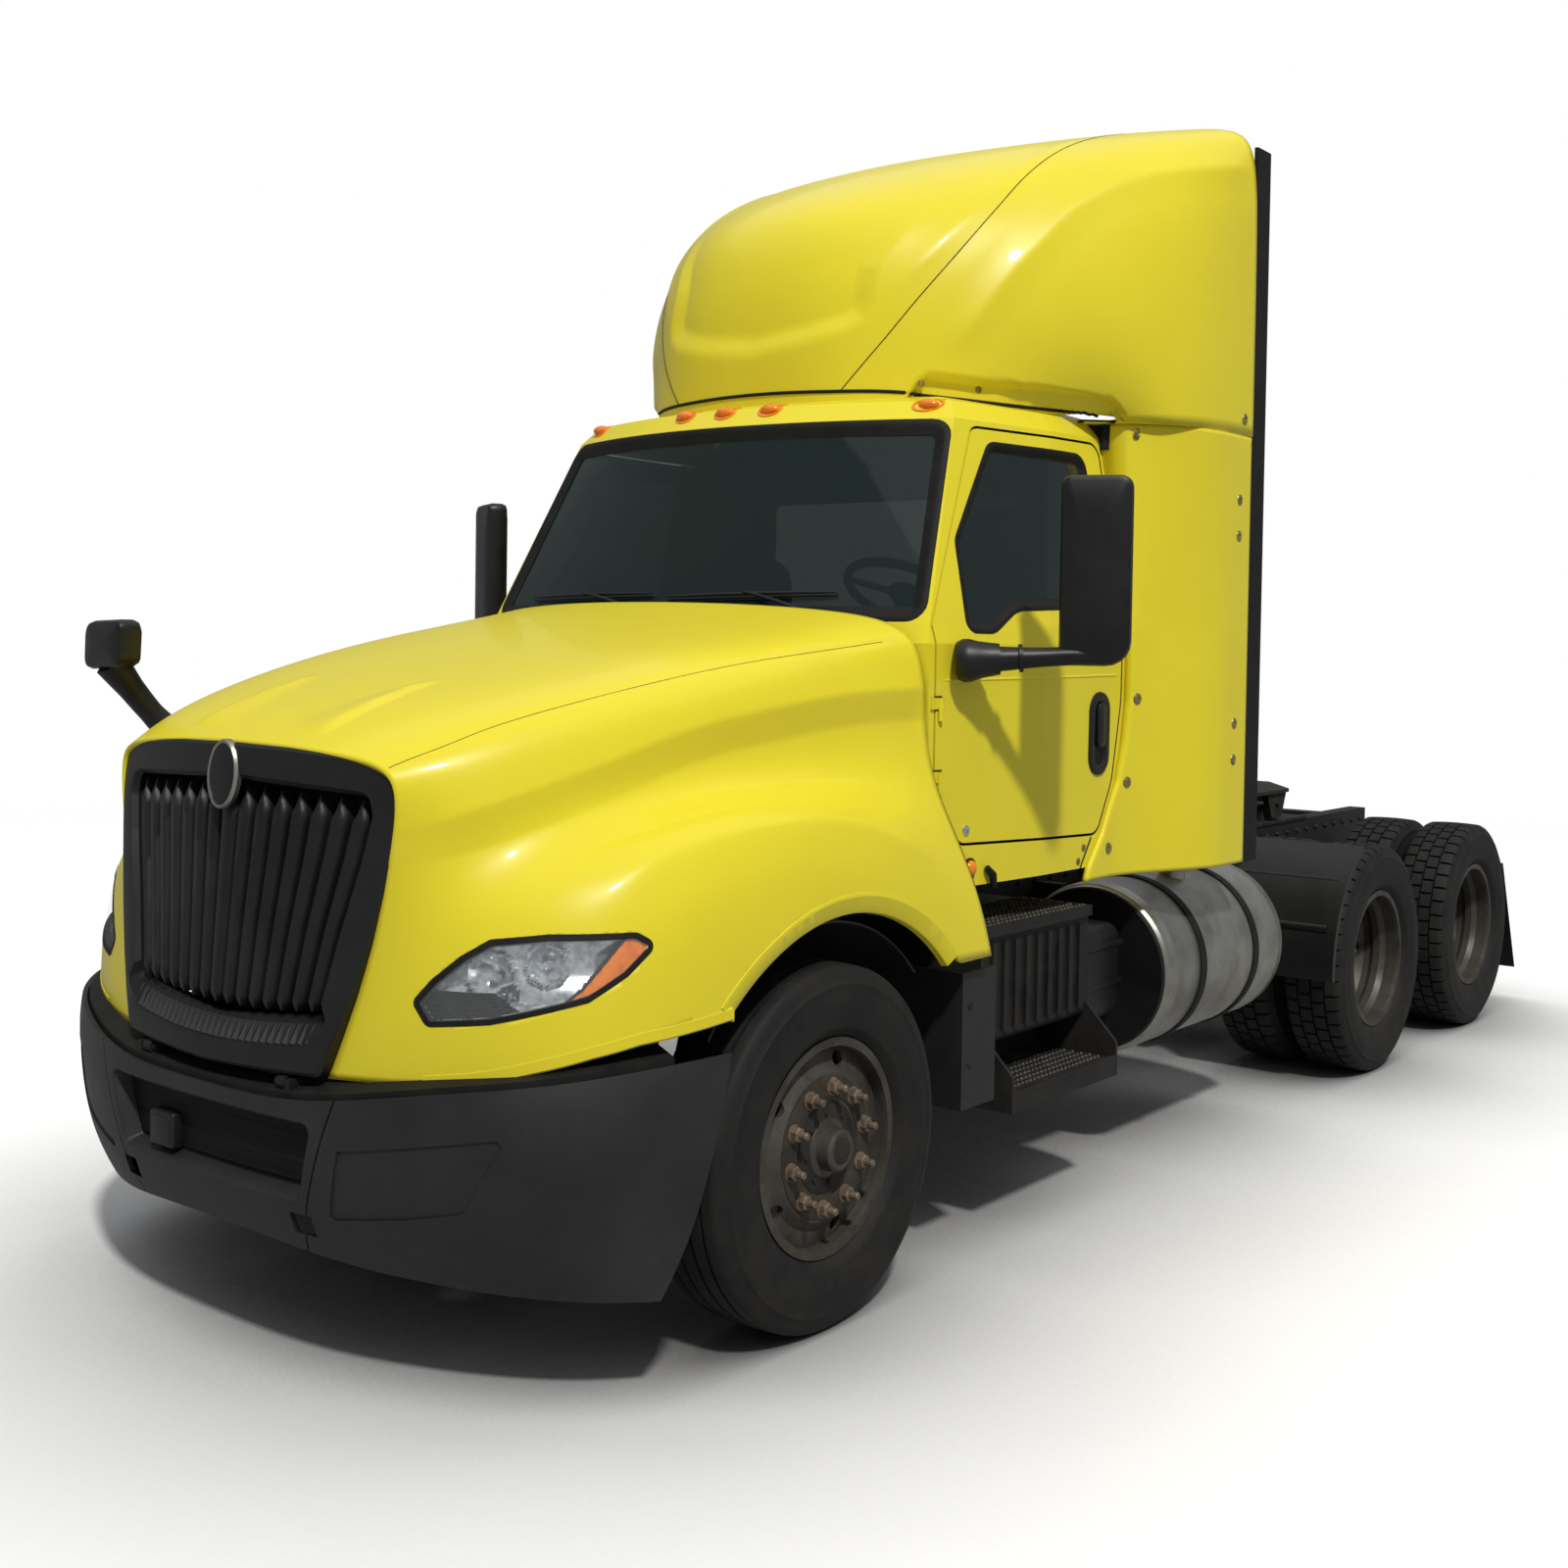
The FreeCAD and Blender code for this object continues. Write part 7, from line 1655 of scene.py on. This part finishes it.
def onDash(x, t, lift):
    # The face of the dashboard towards the driver, by the distance down it
    x, t, lift = np.broadcast_arrays(x, t, lift)
    top, foot = np.array(dash["top"]), np.array(dash["foot"])
    down = unit(foot - top)
    out = np.array([-down[1], down[0]])
    return np.stack([x, top[0] + down[0] * t + out[0] * lift, top[1] + down[1] * t + out[1] * lift], axis=-1)


def addInside():
    rings, faces, vents = [], [], []
    out = onDash(0.0, 0.0, 1.0) - onDash(0.0, 0.0, 0.0)
    for x, t, r in dash["gauges"]:
        spot = onDash(x, t, 0.0)
        rings.append(lathe([(r - 0.003, 0.002), (r, 0.01), (r + 0.004, 0.011), (r + 0.006, 0.0), (r, -0.004)],
                           spot, out, 32, closed=True))
        faces.append(lathe([(0, 0.004), (r - 0.002, 0.004), (r - 0.001, -0.002), (0, -0.003)], spot, out, 32))
        faces.append(tube([spot + out * 0.007, spot + out * 0.007 + np.array([r * 0.5, 0, r * 0.4])], 0.0015, 6,
                          1))
    for x, t in dash["vents"]:
        vents.append(frameRing(rectangle(x - 0.065, t - 0.032, x + 0.065, t + 0.032, 0.012),
                               dash["ventSection"], onDash))
        for k in range(5):
            y = t - 0.024 + k * 0.012
            vents.append(slab(rectangle(x - 0.062, y - 0.002, x + 0.062, y + 0.002), onDash, 0.005, 0.0008))
    addPiece("gauges", faces, "chassis", ["screenBlack", "redLens"], slot="dark_plastic")
    addPiece("gaugeRings", rings, "chassis", "chrome")
    addPiece("dashVents", vents, "chassis", "blackPlastic")
    addPiece("grabHandle", [tube(smoothPath(dash["grab"], 30), 0.014, 10)], "chassis", "blackPlastic")
    tilt = math.radians(dash["tilt"])
    wheelUp = np.array([0, math.sin(tilt), math.cos(tilt)])
    addPiece("steeringPad", [lathe(dash["pad"], dash["wheel"], wheelUp, 36)], "steering_wheel", "blackPlastic")


addInside()
print("inside made")


# Along the frame: step treads, tank fittings, the small tank with its blue cap, frame bolts, lamps and screws
side = {
    "stepX": (0.87, 1.14), "stepTop": 0.47, "stepS": (2.215, 2.85), "boxX": (0.785, 1.035), "boxTop": 0.991,
    "tank": (0.845, 0.69, 0.318), "tankS": (3.27, 4.3), "neck": (0.919, 3.775, 1.02),
    "smallTank": ((0.6, 2.905, 0.545), (1.005, 3.215, 0.89)), "smallCap": (0.93, 2.985, 0.888),
    "boltS": (3.42, 7.05, 30), "boltZ": (0.8, 0.955), "rail": 0.432, "tailS": 7.1702, "tailZ": 0.84,
    "tailX": (0.295, 0.205), "plate": rectangle(-0.12, 0.795, 0.12, 0.885, 0.01),
    "markers": [(-0.75, 2.69), (-0.194, 2.694), (0.0, 2.694), (0.194, 2.694), (0.75, 2.69)],
    "guardRivets": [(1.925, 0.615), (1.925, 0.795)],
    "stud": [(0, 0.0065), (0.004, 0.006), (0.009, 0.0), (0, -0.001)],
    "tankBead": [(0.05, 0), (0.054, 0.0018), (0.062, 0.0025), (0.07, 0.0018), (0.074, 0)],
    "neckSection": [(0, -0.09), (0.05, -0.09), (0.05, -0.004), (0, -0.002)],
    "capSection": [(0, 0.04), (0.03, 0.04), (0.046, 0.036), (0.052, 0.026), (0.054, -0.004), (0, -0.006)],
    "drain": [(0, -0.012), (0.016, -0.012), (0.016, 0.01), (0, 0.01)],
    "cover": [(0, -0.004), (0.296, -0.004), (0.304, -0.008), (0.304, -0.014), (0.298, -0.018), (0.1, -0.02),
              (0, -0.02)],
    "smallNeck": [(0, 0.03), (0.038, 0.03), (0.042, 0.0), (0, -0.01)],
    "smallCapSection": [(0, 0.058), (0.026, 0.058), (0.04, 0.054), (0.044, 0.046), (0.046, 0.024), (0, 0.022)],
    "boltHead": [(0, 0.011), (0.01, 0.011), (0.0125, 0.008), (0.013, 0.0), (0, -0.001)],
    "tailLens": [(0, 0.014), (0.018, 0.013), (0.034, 0.007), (0.037, 0.001), (0, -0.001)],
    "tailRim": [(0.037, -0.001), (0.043, 0.0), (0.043, 0.005), (0.038, 0.007)],
    "bezel": [(0.004, -0.002), (0.003, 0.004), (-0.003, 0.005), (-0.004, -0.002)],
}


def copiesAt(part, places):
    # The same part set down at many places at once
    verts, faces, finish = part
    places = np.asarray(places, float)
    count, size = len(places), len(verts)
    everywhere = (verts[None] + places[:, None]).reshape(-1, 3)
    return everywhere, [[k * size + v for v in f] for k in range(count) for f in faces], finish


def gridPlaces(xs, ss, z):
    # Every pairing of two rows of places, at one height
    a, b = np.meshgrid(xs, ss, indexing="ij")
    return np.stack([a.ravel(), b.ravel(), np.full(a.size, z)], axis=1)


def addFrameTrim():
    stud = lathe(side["stud"], (0, 0, 0), (0, 0, 1), 6)
    along = np.linspace(*side["stepS"], 26)
    step = copiesAt(stud, gridPlaces(np.linspace(*side["stepX"], 9), along, side["stepTop"]))
    box = copiesAt(stud, gridPlaces(np.linspace(*side["boxX"], 8), along, side["boxTop"]))
    addPiece("stepTreads", [step, box] + mirrored([step]), "chassis", "treadSteel")
    x, z, r = side["tank"]
    s0, s1 = side["tankS"]
    end = [(0, 0.006), (0.12, 0.004), (0.26, 0.006), (r - 0.028, 0.004), (r - 0.024, -0.002),
           (r - 0.014, -0.003), (r - 0.01, 0.004), (r - 0.003, 0.01), (r, 0.02)]
    bead = side["tankBead"]
    profile = end + [(r + h, d) for d, h in bead]
    profile += [(r + h, s1 - s0 - d) for d, h in bead[::-1]] + [(q, s1 - s0 - d) for q, d in end[::-1]]
    nx, ns, nz = side["neck"]
    lean = (0.06, 0, 1)
    turn = wholeTurn(96)
    neck = lathe(side["neckSection"], (nx, ns, nz), lean, 28)
    addPiece("fuelTankSkin", [lathe(profile, (x, s0, z), (0, 1, 0), 128), neck], "chassis", "tankMetal",
             ["fuel_tank"])
    cap = lathe(side["capSection"], (nx, ns, nz), lean, 28)
    drain = lathe(side["drain"], (x, (s0 + s1) / 2, z - r + 0.002), (0, 0, -1), 6)
    addPiece("tankFittings", [cap, drain], "chassis", "tankMetal")
    lo, hi = side["smallTank"]
    body = [roundBlock(lo, hi, 0.055, 5),
            roundBlock((lo[0], lo[1] - 0.003, 0.66), (hi[0] + 0.004, hi[1] + 0.003, 0.685), 0.008),
            roundBlock((lo[0], lo[1] - 0.003, 0.8), (hi[0] + 0.004, hi[1] + 0.003, 0.825), 0.008)]
    cx, cs, cz = side["smallCap"]
    body.append(lathe(side["smallNeck"], (cx, cs, cz), (0, 0, 1), 24))
    body.append(lathe(side["cover"], (x, s0, z), (0, 1, 0), 96))
    addPiece("smallTank", body, "chassis", "blackPlastic")
    capRing = lathe(side["smallCapSection"], (cx, cs, cz), (0, 0, 1), 24)
    grip = roundBlock((cx - 0.036, cs - 0.009, cz + 0.05), (cx + 0.036, cs + 0.009, cz + 0.07), 0.006)
    addPiece("smallTankCap", [capRing, grip], "chassis", "blueCap")
    head = lathe(side["boltHead"], (0, 0, 0), (1, 0, 0), 6)
    s = np.linspace(*side["boltS"][:2], side["boltS"][2])
    rows = [np.stack([np.full(len(s), side["rail"]), s, np.full(len(s), z)], axis=1) for z in side["boltZ"]]
    places = np.concatenate(rows)
    bolts = [copiesAt(head, places)]
    addPiece("frameBolts", both(bolts), "chassis", "framePaint")
    lens, rims = [], []
    for x in side["tailX"]:
        spot = (x, side["tailS"], side["tailZ"])
        lens.append(lathe(side["tailLens"], spot, (0, 1, 0), 28))
        rims.append(lathe(side["tailRim"], spot, (0, 1, 0), 28, closed=True))
    addPiece("tailLenses", both(lens), "chassis", "redLens")
    plate = slab(side["plate"], lambda x, z, d: np.stack([x, side["tailS"] + d, z], axis=-1), 0.003, 0.001)
    addPiece("tailRims", both(rims) + [plate], "chassis", "blackPlastic")
    bezels = []
    for x, z in side["markers"]:
        oval = [(x + 0.044 * math.cos(t), z + 0.023 * math.sin(t)) for t in turn[::2]]
        bezels.append(frameRing(oval, side["bezel"], onFront, spacing=1.0))
    addPiece("markerBezels", bezels, "chassis", "amberLens")
    rivets = [screwHead((1.1652, s, z), (1, 0, 0), 0.01) for s, z in side["guardRivets"]]
    addPiece("guardRivets", both(rivets), "chassis", "framePaint", slot="wheel_steel")


addFrameTrim()
print("frame trim made")
